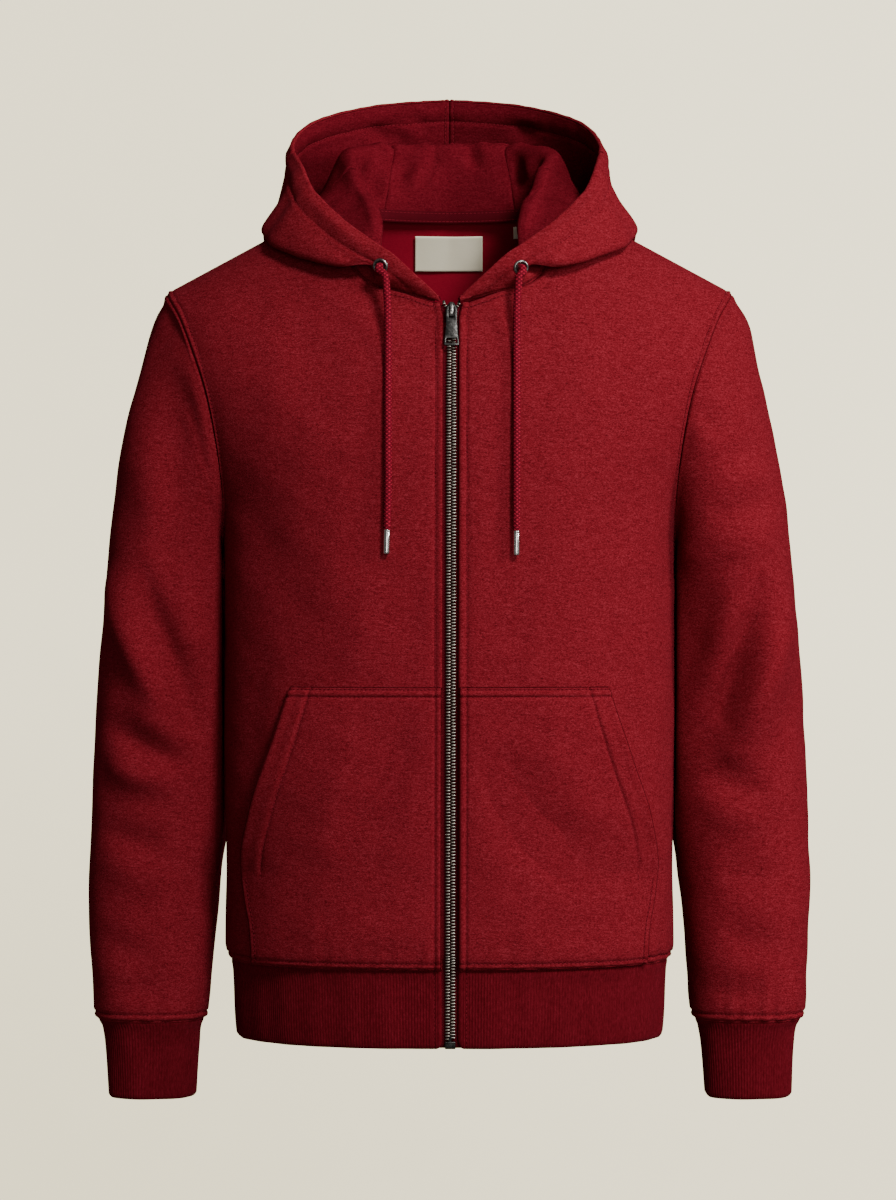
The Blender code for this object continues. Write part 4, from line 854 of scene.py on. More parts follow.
def tube(name, path, radii, kind, around=28, relief=None):
    """A closed tube along a path; relief(angle, length) is added to the radius."""
    t, a, b = frames(path)
    s = np.concatenate([[0], np.cumsum(np.linalg.norm(np.diff(path, axis=0), axis=1))])
    ang = np.linspace(0, 2 * math.pi, around, endpoint=False)
    r = np.asarray(radii, float)[:, None] * np.ones((1, around))
    if relief is not None:
        r = r + relief(ang[None, :], s[:, None])
    pts = path[:, None] + a[:, None] * (np.cos(ang)[None, :, None] * r[..., None]) + b[:, None] * (np.sin(ang)[None, :, None] * r[..., None])
    rows = len(path)
    ids = np.arange(rows * around).reshape(rows, around)
    faces = [grid_faces(ids, True)]
    caps = np.array([path[0] - t[0] * 0.2, path[-1] + t[-1] * 0.2])
    c0, c1 = rows * around, rows * around + 1
    first, last = ids[0], ids[-1]
    tris = [(c0, first[(k + 1) % around], first[k]) for k in range(around)] + [(c1, last[k], last[(k + 1) % around]) for k in range(around)]
    obj = new_mesh(name, np.concatenate([pts.reshape(-1, 3), caps]), [faces[0][:, ::-1], np.array(tris)[:, ::-1]], kind)
    fix_out(obj)
    return obj


def fix_out(obj):
    """Turns a closed mesh's faces outward if its volume is negative."""
    import bmesh
    bm = bmesh.new()
    bm.from_mesh(obj.data)
    if bm.calc_volume(signed=True) < 0:
        bmesh.ops.reverse_faces(bm, faces=bm.faces)
        bm.to_mesh(obj.data)
    bm.free()


def plait(ang, s, strands=8, pitch=17.0, high=0.80):
    """The over and under of a braid's strands."""
    k = strands
    a = ang * k / 2 + s * 2 * math.pi * k / 2 / pitch
    b = ang * k / 2 - s * 2 * math.pi * k / 2 / pitch
    ra, rb = np.abs(np.cos(a)) ** 0.9, np.abs(np.cos(b)) ** 0.9
    over = np.sign(np.sin(a) * np.sin(b))
    return high * (np.maximum(ra * (0.80 + 0.20 * over), rb * (0.80 - 0.20 * over)) - 0.92)


eyelet_at = {}
for s in (1, -1):
    x, z = EYELET[s]
    face, n = hood_face(x, z, s)
    eyelet_at[s] = (face, n)
    route = [face + n * 1.2, face + n * 3.6, face + n * 5.2 + np.array([0, 0, -2.6])]
    clearance = CORD_D / 2 + 0.8
    for cx, cz in CORD[s]:
        p = on_front(np.float64(cx), np.float64(cz), clearance)
        if cz > -100:
            p[1] = min(p[1], face[1] - 5.2 + 0.10 * (face[2] - cz))
        route.append(p)
    for k in range(3, 3 + len(CORD[s])):
        hang = face[1] - 6.0 - 0.075 * (face[2] - route[k][2])
        route[k][1] = min(route[k][1], hang)
    knots = np.array(route)
    samples = through(knots, np.linspace(0, len(knots) - 1, 34))
    seg = np.concatenate([[0], np.cumsum(np.linalg.norm(np.diff(samples, axis=0), axis=1))])
    fine = np.linspace(0, len(knots) - 1, 640)
    line = through(knots, fine)
    fs = np.concatenate([[0], np.cumsum(np.linalg.norm(np.diff(line, axis=0), axis=1))])
    even = np.linspace(0, fs[-1], len(fine))
    line = np.stack([np.interp(even, fs, line[:, c]) for c in range(3)], axis=1)
    radii = np.full(len(line), CORD_D / 2)
    near_end = fs[-1] - even
    radii = radii - 0.55 * bell(near_end, 2.0)
    cord_obj = tube("cord_" + NAMES[s], line, radii, "cord", around=30, relief=plait)
    end, before = samples[-1], samples[-2]
    way = (end - before) / np.linalg.norm(end - before)
    prof = [(-0.25, 2.35), (-0.1, 2.62), (0.25, 2.72), (0.9, 2.72), (1.15, 2.58), (1.9, 2.56), (2.1, 2.62), (9.0, 2.64), (17.0, 2.62),
            (18.2, 2.60), (18.75, 2.45), (19.1, 2.15), (19.2, 1.6)]
    aglet = tube("aglet_tip_" + NAMES[s], np.array([end + way * (0.3 + a) for a, _ in prof]), [r for _, r in prof], "silver", around=40)
    finish_piece(cord_obj, "drawcord_" + NAMES[s])
    finish_piece(aglet, "aglet_" + NAMES[s])


# ------------------------------------------------------------------ the cloth
SEAM_MARKS = (0.6, 1.4, 2.6, 4.2, 5.4, 6.2, 7.0, 8.6)


def marked(curve, lo, hi, step, first=SEAM_MARKS, last=SEAM_MARKS):
    """Parameters a step apart along a curve, with lines of their own near its ends."""
    t = np.linspace(lo, hi, 1500)
    p = curve(t)
    s = np.concatenate([[0], np.cumsum(np.linalg.norm(np.diff(p, axis=0), axis=1))])
    length = s[-1]
    a = first[-1] if len(first) else 0.0
    b = last[-1] if len(last) else 0.0
    count = max(2, int(round((length - a - b) / step)))
    marks = [0.0, *first] + [a + (length - a - b) * k / count for k in range(1, count)]
    marks += [length - e for e in last[::-1]] + [length]
    return np.interp(marks, s, t)


def pulled(P, amount=0.25, closed=False, low=True, high=True, left=True, right=True):
    """The grid with its border drawn in a little, so that two pieces keep a gap at a seam."""
    Q = P.copy()
    if low:
        Q[0] += unit(P[1] - P[0]) * amount
    if high:
        Q[-1] += unit(P[-2] - P[-1]) * amount
    if not closed:
        if left:
            Q[:, 0] += unit(P[:, 1] - P[:, 0]) * amount
        if right:
            Q[:, -1] += unit(P[:, -2] - P[:, -1]) * amount
    return Q


def offset_line(P, N, D, edge, dist, lo=0, hi=None):
    """Points and normals a fixed distance from one edge of a grid, along the rows or columns lo to hi."""
    if edge in ("low", "high"):
        P, N, D = P.swapaxes(0, 1), N.swapaxes(0, 1), D[edge].swapaxes(0, 1)
    else:
        D = D[edge]
    pts, nor = [], []
    for i in range(P.shape[0])[lo:hi]:
        d = D[i]
        if d[0] > d[-1]:
            d, p, n = d[::-1], P[i][::-1], N[i][::-1]
        else:
            p, n = P[i], N[i]
        if dist > d[-1]:
            continue
        pts.append([np.interp(dist, d, p[:, c]) for c in range(3)])
        nor.append([np.interp(dist, d, n[:, c]) for c in range(3)])
    return np.array(pts), unit(np.array(nor))


def seam_relief(dist, bead=0.45, roll=0.95, stitch=None):
    """How the cloth sinks into a seam, stands up as a bead beside it and sinks again at the topstitch."""
    d = -1.25 * roll * bell(dist, 1.3) + 1.35 * bead * bell(dist - 3.2, 2.2)
    if stitch is not None:
        d = d - 0.95 * bell(dist - stitch, 0.95) + 0.40 * bell(dist - stitch - 2.8, 1.7)
    return d


def gathers(P, dist, reach, high, wave, seed, axis=(1.0, 0.45, 0.0)):
    """Small uneven puckers that run out of a seam."""
    rng = np.random.RandomState(seed)
    s = P @ np.asarray(axis, float)
    total = np.zeros(P.shape[:-1])
    for k in range(5):
        w = wave * rng.uniform(0.65, 1.7)
        total += np.sin(2 * math.pi * s / w + rng.uniform(0, 6.28) + 0.6 * np.sin(s / (2.3 * w) + rng.uniform(0, 6.28)))
    return high * total / 2.4 * np.exp(-(dist / reach) ** 1.3) * smooth(dist, 0.0, 2.5)


def half_area(obj):
    n = len(obj.data.polygons)
    a = np.zeros(n, np.float32)
    obj.data.polygons.foreach_get("area", a)
    return float(a.sum()) / 2


def declare(obj, width, length, rests_on=("garment",)):
    """A cloth piece and the size of its cut, in metres."""
    area = min(half_area(obj), width * length)
    cuts.append((obj.name, width, length, round(half_area(obj), 5), len(obj.data.polygons)))


cuts = []

# creases: (width, height, lean, path in the image's pixels at that depth)
FRONT_CREASES = [
    (24, -2.5, 0.2, [(480, 748), (518, 806), (556, 858), (594, 906)]),
    (22, 1.6, 0.0, [(530, 732), (568, 796), (604, 852)]),
    (11, -1.5, 0.3, [(606, 630), (621, 690), (638, 752)]),
    (12, 1.2, 0.0, [(590, 620), (604, 668)]),
    (12, -1.3, -0.2, [(264, 628), (252, 700), (243, 792)]),
    (17, -1.3, 0.0, [(236, 468), (262, 540), (300, 612)]),
    (17, 1.1, 0.1, [(662, 470), (634, 548), (600, 602)]),
    (20, -1.2, 0.0, [(318, 292), (306, 350), (318, 428)]),
    (18, 1.0, 0.0, [(566, 296), (590, 356), (588, 430)]),
    (20, -1.0, 0.2, [(640, 330), (612, 400), (560, 470)]),
    (22, 1.1, 0.0, [(340, 470), (330, 560), (346, 640)]),
    (20, -1.0, 0.0, [(420, 560), (408, 620), (416, 670)]),
    (20, -0.9, 0.0, [(500, 470), (516, 560), (506, 650)]),
    (16, -1.3, 0.1, [(414, 728), (378, 790), (338, 852)]),
    (16, 1.0, 0.0, [(372, 730), (330, 800), (300, 862)]),
    (13, 0.9, 0.0, [(440, 900), (400, 930), (350, 946)]),
    (13, -0.9, 0.0, [(520, 900), (556, 928), (610, 944)]),
]
BACK_CREASES = [
    (18, -2.2, 0.2, [(-150, -210), (-96, -268), (-40, -300)]),
    (16, 1.8, 0.0, [(-140, -250), (-92, -300), (-36, -334)]),
    (18, -2.0, -0.2, [(146, -226), (98, -276), (48, -322)]),
    (15, 1.5, 0.0, [(150, -268), (104, -312), (60, -344)]),
    (22, -2.4, 0.1, [(-168, -470), (-110, -520), (-30, -536), (30, -526)]),
    (20, 1.9, 0.0, [(-160, -520), (-96, -560), (-10, -570)]),
    (20, -2.0, 0.0, [(172, -438), (120, -500), (60, -530)]),
    (24, 1.6, 0.1, [(166, -500), (110, -548), (50, -580)]),
    (20, -1.3, 0.0, [(-60, -140), (-30, -230), (-50, -320)]),
    (22, -1.2, 0.0, [(70, -130), (52, -220), (64, -300)]),
    (16, 1.2, 0.0, [(20, -360), (6, -420), (24, -480)]),
    (14, -1.2, 0.0, [(-90, -590), (-60, -612), (-40, -626)]),
    (14, 1.0, 0.0, [(70, -592), (96, -612), (110, -628)]),
]


def image_rows(rows, y):
    return [(w, h, lean, [photo(px, py, y) for px, py in path]) for w, h, lean, path in rows]


def body_relief(P, N, D, back):
    rows = BACK_CREASES if back else image_rows(FRONT_CREASES, -115.0)
    d = 1.35 * creases(P, N, rows, (0, 1, 0) if back else (0, -1, 0))
    d = d + 0.95 * soft_noise(P, 85.0, 11 if back else 7) + 0.50 * soft_noise(P, 34.0, 21 if back else 17)
    nearest = np.minimum(np.minimum(D["left"], D["right"]), np.minimum(D["low"], D["high"]))
    return d * smooth(nearest, 2.0, 26.0)


stitch_lines = []


def edge_curve(back, c=None, z=None):
    if c is not None:
        return lambda t: panel_point(c, t, 1, back)
    return lambda t: panel_point(t, z, 1, back)


def panel_grid(side, back, zs, first=SEAM_MARKS):
    """A front or back half: its columns fan out from the neck's steep end so that no quad is drawn thin."""
    theta = np.linspace(0, math.pi / 2, 700)
    x = np.concatenate([NECK_X * np.sin(theta), np.linspace(NECK_X, SHOULDER_X, 700)[1:]])
    z = top_z(x, back)
    z[699] = NECK_Z
    run = np.concatenate([[0], np.cumsum(np.hypot(np.diff(x), np.diff(z)))])
    a = first[-1] if len(first) else 0.0
    b = SEAM_MARKS[-1]
    corner = run[699]
    inner = np.linspace(a, corner, max(3, int(round((corner - a) / STEP))) + 1)[1:]
    outer_part = np.linspace(corner, run[-1] - b, max(3, int(round((run[-1] - b - corner) / STEP))) + 1)[1:-1]
    marks = np.concatenate([[0.0, *first], inner, outer_part, [run[-1] - e for e in SEAM_MARKS[::-1]], [run[-1]]])
    x_top, z_top = np.interp(marks, run, x), np.interp(marks, run, z)
    # at the lower levels the same columns are spread evenly
    t = np.linspace(0, 1, 1500)
    line = panel_point(t, -380.0, 1, back)
    low_run = np.concatenate([[0], np.cumsum(np.linalg.norm(np.diff(line, axis=0), axis=1))])
    end = low_run[-1]
    if back:
        knots = [(a, a), (corner, corner * 0.98), (run[-1] - b, end - b)]
    else:
        steep = float(np.interp(80.0, x[:700], run[:700]))
        knots = [(a, a), (steep, 84.0), (corner, 160.0), (run[-1] - b, end - b)]
    spread_low = column(knots, 0, 1)(np.clip(marks, a, run[-1] - b))
    spread_low = np.where(marks < a, marks, spread_low)
    spread_low = np.where(marks > run[-1] - b, end - (run[-1] - marks), spread_low)
    c_low = np.interp(spread_low, low_run, t)
    c_top = x_top / SHOULDER_X
    c_low[-1] = c_top[-1] = 1.0
    share = ((zs - HEM_SEAM_Z) / (SHOULDER_Z - HEM_SEAM_Z))[:, None]
    c = c_low[None] + (c_top - c_low)[None] * share ** 6
    Z = HEM_SEAM_Z + (z_top[None] - HEM_SEAM_Z) * share
    level = zs[:, None]
    w = side_x(level)
    up = smooth(level, -270.0, -140.0)
    near = np.minimum(1.0, (1 - c) / (1 - NECK_SHARE))
    w = w + (SHOULDER_X - w) * up * near
    X = side * c * w
    if not back:
        X = X + (zip_x(Z) + side * PLACKET) * np.maximum(0.0, 1 - c * SHOULDER_X / NECK_X)
    P = torso_point(X, Z, back)
    P[-1, x_top >= NECK_X - 1e-6, 1] = 0.0
    P[(zs <= UNDERARM_Z + 1e-6), -1, 1] = 0.0
    N = front_normal(X, Z, back)
    D = arcs(P)
    # the way to the top edge, straight and not along the columns
    top_line = P[-1]
    reach = D["high"].copy()
    close = D["high"] < 60
    seg_a, seg_b = top_line[:-1], top_line[1:]
    ab = seg_b - seg_a
    d = P[close][:, None] - seg_a[None]
    f = np.clip((d * ab[None]).sum(-1) / np.maximum(1e-12, (ab * ab).sum(-1))[None], 0, 1)
    reach[close] = np.minimum(reach[close], np.linalg.norm(d - f[..., None] * ab[None], axis=-1).min(axis=1))
    D["high"] = reach
    return P, N, D, X


# lines just inside the pockets', placket's and armhole's edges, drawn later as painted shadow strips
edge_lines = []
seam_rolls = []
for s in (1, -1):
    zs = marked(edge_curve(False, c=0.66), HEM_SEAM_Z, SHOULDER_Z, STEP)
    P, N, D, X = panel_grid(s, False, zs)
    d = body_relief(P, N, D, False)
    d = d + seam_relief(D["low"], 0.75, 0.4, 6.0)
    d = d + gathers(P, D["low"], 22.0, 0.55, 15.0, 31 + s)
    d = d + seam_relief(D["right"], 0.35, 0.9, None) * smooth(D["low"], 0, 6)
    armhole = smooth(P[..., 2], -306, -292)
    d = d + armhole * (-0.90 * bell(D["right"] - 5.0, 0.95) + 0.55 * bell(D["right"] - 2.6, 1.8))
    d = d + seam_relief(D["high"], 0.3, 0.9, None)
    X0 = np.abs(P[..., 0])
    at_neck = smooth(NECK_X + 4 - X0, 0, 3)
    d = d + at_neck * (0.9 * smooth(7.2 - D["high"], 0, 1.6) - 1.0 * bell(D["high"] - 4.8, 0.9) - 0.5 * bell(D["high"] - 7.6, 0.9))
    d = d + at_neck * 0.25 * np.sin(P[..., 0] / 3.4 + s) * bell(D["high"] - 8.0, 5.0)
    # the placket: a folded edge over the zip's tape with a row of topstitch
    d = d + 0.75 * smooth(8.0 - D["left"], 0, 6.5) - 1.10 * bell(D["left"] - 6.2, 1.0) - 0.8 * bell(D["left"], 0.8)
    d = d + 0.25 * np.sin(P[..., 2] / 2.9 + 1.3 * np.sin(P[..., 2] / 11.0)) * bell(D["left"] - 6.2, 3.2)
    outer = pulled(P + N * d[..., None])
    # at the top, above the slider, the two edges part
    part = smooth(outer[..., 2], -112.0, -97.0) * (1 - smooth(D["left"], 2.0, 18.0))
    outer[..., 0] += s * 2.6 * part
    inner = outer - N * CLOTH
    name = "front_%s_cloth" % NAMES[s]
    obj = shell(name, outer if s > 0 else outer[:, ::-1], inner if s > 0 else inner[:, ::-1], "fleece")
    fix_out(obj)
    finish_piece(obj, "front_" + NAMES[s])
    declare(obj, 0.275, 0.640)
    stitch_lines.append(offset_line(outer, N, D, "left", 6.2, 3, -3))
    stitch_lines.append(offset_line(outer, N, D, "low", 6.0, 2, -2))
    top = [i for i in range(len(zs)) if zs[i] > -296]
    stitch_lines.append(offset_line(outer, N, D, "right", 5.0, top[0], -2))
    edge_lines.append(offset_line(outer, N, D, "left", 0.6, 2, -4))
    edge_lines.append(offset_line(outer, N, D, "right", 0.6, top[0], -2))
    neck_cols = [j for j in range(P.shape[1]) if X0[-1, j] < 60]
    stitch_lines.append(offset_line(outer, N, D, "high", 4.6, 2, neck_cols[-1]))
    seam_rolls.append(outer[0, 2:] - N[0, 2:] * 1.15 + np.array([0, 0, -0.3]))
    if s > 0:
        front_zs = zs

zs = marked(edge_curve(True, c=0.66), HEM_SEAM_Z, SHOULDER_Z, STEP)
P1, N1, D1, _ = panel_grid(1, True, zs, first=(1.5,))
P2, N2, D2, _ = panel_grid(-1, True, zs, first=(1.5,))
P = np.concatenate([P2[:, ::-1], P1[:, 1:]], axis=1)
N = np.concatenate([N2[:, ::-1], N1[:, 1:]], axis=1)
D = arcs(P)
D["high"] = np.concatenate([D2["high"][:, ::-1], D1["high"][:, 1:]], axis=1)
d = body_relief(P, N, D, True)
d = d + seam_relief(D["low"], 0.75, 0.4, 6.0) + gathers(P, D["low"], 22.0, 0.6, 15.0, 41)
for side_name in ("left", "right"):
    d = d + seam_relief(D[side_name], 0.35, 0.9, None)
    d = d + smooth(P[..., 2], -306, -292) * (-0.90 * bell(D[side_name] - 5.0, 0.95) + 0.55 * bell(D[side_name] - 2.6, 1.8))
d = d + seam_relief(D["high"], 0.3, 0.9, 5.0)
outer = pulled(P + N * d[..., None])
inner = outer - N * CLOTH
obj = shell("back_cloth", outer, inner, "fleece")
fix_out(obj)
two_faced(obj, outer.shape[:2], "inside")
finish_piece(obj, "back")
declare(obj, 0.545, 0.690)
stitch_lines.append(offset_line(outer, N, D, "low", 6.0, 2, -2))
seam_rolls.append(outer[0] - N[0] * 1.15 + np.array([0, 0, -0.3]))
top = [i for i in range(len(zs)) if zs[i] > -296]
for side_name in ("left", "right"):
    stitch_lines.append(offset_line(outer, N, D, side_name, 5.0, top[0], -2))
stitch_lines.append(offset_line(outer, N, D, "high", 5.0, 3, -3))

# ------------------------------------------------------------------ the sleeves
SLEEVE_COLUMNS = [column(SLEEVE, 0, k) for k in range(5)]
armhole_level = column([(k, z) for k, z in enumerate(ROWS_ARMHOLE[::-1])], 0, 1)


def sleeve_ring(z, t, side, n=2.3, table=SLEEVE_COLUMNS):
    """Levels z (rows) by angles t (columns), from the outer side round over the front."""
    z, t = np.atleast_1d(z)[:, None], np.atleast_1d(t)[None, :]
    xo, xi, dp, ym = (table[k](z) for k in (1, 2, 3, 4))
    mid, half_w = (xo + xi) / 2, (xo - xi) / 2
    cx, sy = np.cos(t), np.sin(t)
    x = side * (mid + half_w * np.copysign(np.abs(cx) ** (2 / n), cx))
    y = ym - dp / 2 * np.copysign(np.abs(sy) ** (2 / n), sy)
    return np.stack(np.broadcast_arrays(x, y, z * np.ones_like(t)), axis=-1)


def sleeve_cap(w, t, side):
    """The part between the armhole (w = 0) and the first level of the sleeve (w = 1)."""
    w, t = np.atleast_1d(w), np.atleast_1d(t)
    k = t / (2 * math.pi) * 14
    z = armhole_level(np.where(k <= 7, k, 14 - k))
    a = np.where((k <= 7)[:, None], panel_point(1.0, z, side, False), panel_point(1.0, z, side, True))
    r = sleeve_ring(SLEEVE[0][0], t, side)[0]
    flip = np.array([side, 1.0, 1.0])
    size = np.linalg.norm(r - a, axis=1)[:, None]
    m0 = np.stack([np.full_like(t, 0.42), -0.22 * np.sin(t), np.full_like(t, -0.88)], axis=1) * flip
    m0 = unit(m0) * size * 0.87
    m1 = np.array([0.065, 0.02, -1.0]) * flip * size * 0.92
    w = w[:, None, None]
    h00, h10 = 2 * w ** 3 - 3 * w * w + 1, w ** 3 - 2 * w * w + w
    h01, h11 = -2 * w ** 3 + 3 * w * w, w ** 3 - w * w
    return h00 * a + h10 * m0 + h01 * r + h11 * m1


def sleeve_points(rows, t, side):
    """rows below 1 are shares of the cap, rows above are 1 + the distance below its first level, mm."""
    rows = np.asarray(rows, float)
    shares = [0.0, 0.12, 0.30, 0.52, 0.76]
    levels = np.array([row[0] for row in SLEEVE])
    rings = [sleeve_cap(w, t, side)[0] for w in shares]
    rings = [rings[0]] + [off_torso(r, 1.4 if w < 0.2 else 2.0) for w, r in zip(shares[1:], rings[1:])]
    rings += [off_torso(sleeve_ring(z, t, side)[0], 2.0) for z in levels]
    knots = np.array(shares + [1.0 + (levels[0] - z) for z in levels])
    k = np.interp(rows, knots, np.arange(len(knots)))
    moved = through(np.array(rings), k)
    far = off_torso(moved, 1.0)
    return np.where((rows > 0.14)[:, None, None], far, moved)


SLEEVE_CREASES = {
    # the wearer's right sleeve, at the image's left
    -1: [
        (15, 4.8, 0.3, [(112, 560), (126, 622), (150, 676), (176, 724)]),
        (14, -6.0, -0.3, [(140, 560), (152, 612), (176, 668), (200, 742)]),
        (26, -6.5, 0.2, [(184, 352), (180, 430), (182, 520), (190, 640)]),
        (11, -4.4, 0.3, [(104, 716), (130, 740), (166, 758), (196, 764)]),
        (12, 3.0, 0.0, [(106, 764), (140, 776), (172, 776)]),
        (11, -2.4, 0.3, [(100, 826), (128, 840), (164, 846)]),
        (13, 1.6, 0.0, [(102, 866), (136, 876), (170, 872)]),
        (12, -1.8, 0.0, [(98, 930), (124, 950), (150, 954)]),
        (10, -1.6, 0.2, [(108, 984), (134, 990), (160, 984)]),
        (18, -2.0, 0.2, [(176, 340), (168, 400), (178, 470)]),
        (18, 1.6, 0.0, [(150, 360), (142, 440), (150, 520)]),
        (20, -1.8, 0.0, [(132, 470), (128, 540), (134, 590)]),
        (12, -1.5, 0.0, [(196, 860), (190, 920), (196, 980)]),
    ],
    # the wearer's left sleeve, at the image's right
    1: [
        (12, -8.0, 0.3, [(766, 576), (749, 628), (731, 678), (714, 728)]),
        (16, 5.6, 0.2, [(782, 626), (764, 674), (744, 728), (726, 764)]),
        (24, -4.5, 0.2, [(700, 560), (702, 640), (706, 730), (708, 800)]),
        (12, 1.8, 0.0, [(738, 600), (722, 646), (704, 690)]),
        (10, -2.2, 0.2, [(684, 408), (704, 420), (726, 440)]),
        (11, 1.6, 0.0, [(696, 392), (716, 376), (738, 366)]),
        (11, -1.7, 0.0, [(722, 470), (742, 456), (764, 446)]),
        (13, -2.0, 0.1, [(706, 516), (740, 510), (778, 500)]),
        (14, 1.5, 0.0, [(712, 552), (744, 546), (776, 540)]),
        (12, -1.8, 0.2, [(700, 772), (734, 784), (770, 790)]),
        (13, 1.4, 0.0, [(700, 806), (736, 818), (776, 822)]),
        (12, -1.5, 0.0, [(716, 866), (748, 876), (786, 872)]),
        (11, -1.6, 0.2, [(724, 930), (752, 942), (782, 938)]),
        (10, -1.5, 0.1, [(710, 986), (738, 994), (766, 988)]),
        (13, 1.3, 0.0, [(700, 900), (706, 950), (712, 990)]),
    ],
}
SLEEVE_BACK = [
    (13, -3.4, 0.2, [(196, -392), (226, -430), (262, -452), (290, -456)]),
    (14, 2.8, 0.0, [(200, -430), (236, -468), (276, -486)]),
    (12, -2.8, 0.2, [(198, -470), (236, -504), (280, -516)]),
    (13, 2.0, 0.0, [(206, -516), (244, -540), (284, -546)]),
    (12, -2.0, 0.0, [(206, -566), (244, -584), (284, -582)]),
    (11, -1.8, 0.0, [(212, -622), (246, -636), (282, -630)]),
    (16, -2.2, 0.2, [(214, -210), (236, -270), (244, -330)]),
    (16, 1.8, 0.0, [(236, -190), (258, -250), (264, -310)]),
]


def sleeve_relief(P, N, side):
    d = 1.45 * creases(P, N, image_rows(SLEEVE_CREASES[side], -35.0), (0, -1, 0))
    d = d + 1.25 * creases(P, N, [(w, h, lean, [(side * x, z + 7 * side) for x, z in path]) for w, h, lean, path in SLEEVE_BACK], (0, 1, 0))
    d = d + 1.0 * soft_noise(P, 75.0, 51 + side) + 0.45 * soft_noise(P, 30.0, 61 + side)
    near_body = smooth(side_near(P), 2.0, 12.0)
    return d * (0.15 + 0.85 * near_body)


def side_near(P):
    """How far a point stands off the torso, mm."""
    slope = torso_slope(P)
    return torso_level(P) / np.maximum(1e-9, np.linalg.norm(slope, axis=-1))


for s in (1, -1):
    around = 96
    t = np.linspace(0, 2 * math.pi, around, endpoint=False)

    def cap_curve(w, s=s):
        return sleeve_cap(w, np.array([1.2]), s)[:, 0]

    cap_rows = marked(cap_curve, 0.0, 1.0, STEP, last=())
    low_len = SLEEVE[0][0] - SLEEVE[-1][0]
    marks = [low_len - e for e in SEAM_MARKS[::-1]] + [low_len]
    low_rows = 1.0 + np.concatenate([np.arange(STEP, marks[0] - 1, STEP), marks])
    rows = np.concatenate([cap_rows, low_rows])
    P = sleeve_points(rows, t, s)
    N = grid_normals(P, closed=True)
    centre = P.mean(axis=1, keepdims=True)
    if np.mean(((P - centre) * N).sum(-1)) < 0:
        N = -N
    D = arcs(P)
    fade = smooth(D["low"], 2.0, 22.0) * smooth(D["high"], 2.0, 24.0)
    d = sleeve_relief(P, N, s) * fade
    d = d + seam_relief(D["low"], 0.40, 0.8, None)
    d = d + seam_relief(D["high"], 0.85, 0.6, 6.0)
    d = d + gathers(P, D["high"], 26.0, 0.75, 13.0, 71 + s)
    d = d + gathers(P, D["low"], 20.0, 0.25, 22.0, 81 + s, axis=(0.2, 0.6, 1.0))
    under = np.abs((t + math.pi) % (2 * math.pi) - math.pi)
    d = d - 0.55 * bell((math.pi - under)[None, :] * 60.0, 1.6)
    outer = pulled(P + N * d[..., None], closed=True)
    keep_off = off_torso(outer, 0.6)
    outer = np.where((rows > 0.2)[:, None, None], keep_off, outer)
    # the crown slopes off the shoulder point, with no swelling on its outer side
    crown = bell(outer[..., 2] + 112.0, 27.0) * smooth(D["low"], 0.0, 14.0) * smooth(np.cos(t), 0.0, 0.9)[None, :]
    outer[..., 0] -= s * (6.5 if s < 0 else 3.5) * crown
    inner = outer - N * CLOTH
    obj = shell("sleeve_%s_cloth" % NAMES[s], outer, inner, "fleece", closed=True)
    fix_out(obj)
    finish_piece(obj, "sleeve_" + NAMES[s])
    declare(obj, 0.460, 0.630)
    ring = outer[-1] - N[-1] * 1.15 + np.array([0, 0, -0.3])
    seam_rolls.append(np.concatenate([ring, ring[:2]]))
    lp, ln = offset_line(outer, N, D, "high", 6.0)
    stitch_lines.append((np.concatenate([lp, lp[:1]]), np.concatenate([ln, ln[:1]])))

# ------------------------------------------------------- the ribs, cuffs and hem
def rib_wave(s, pitch, seed):
    """Upright ribs: rounded wales with narrow furrows, a little uneven."""
    rng = np.random.RandomState(seed)
    wob = 0.18 * np.sin(s / 31.0 + rng.uniform(0, 6)) + 0.12 * np.sin(s / 13.0 + rng.uniform(0, 6))
    return np.abs(np.cos(math.pi * (s + wob) / pitch)) ** 0.75 - 0.62


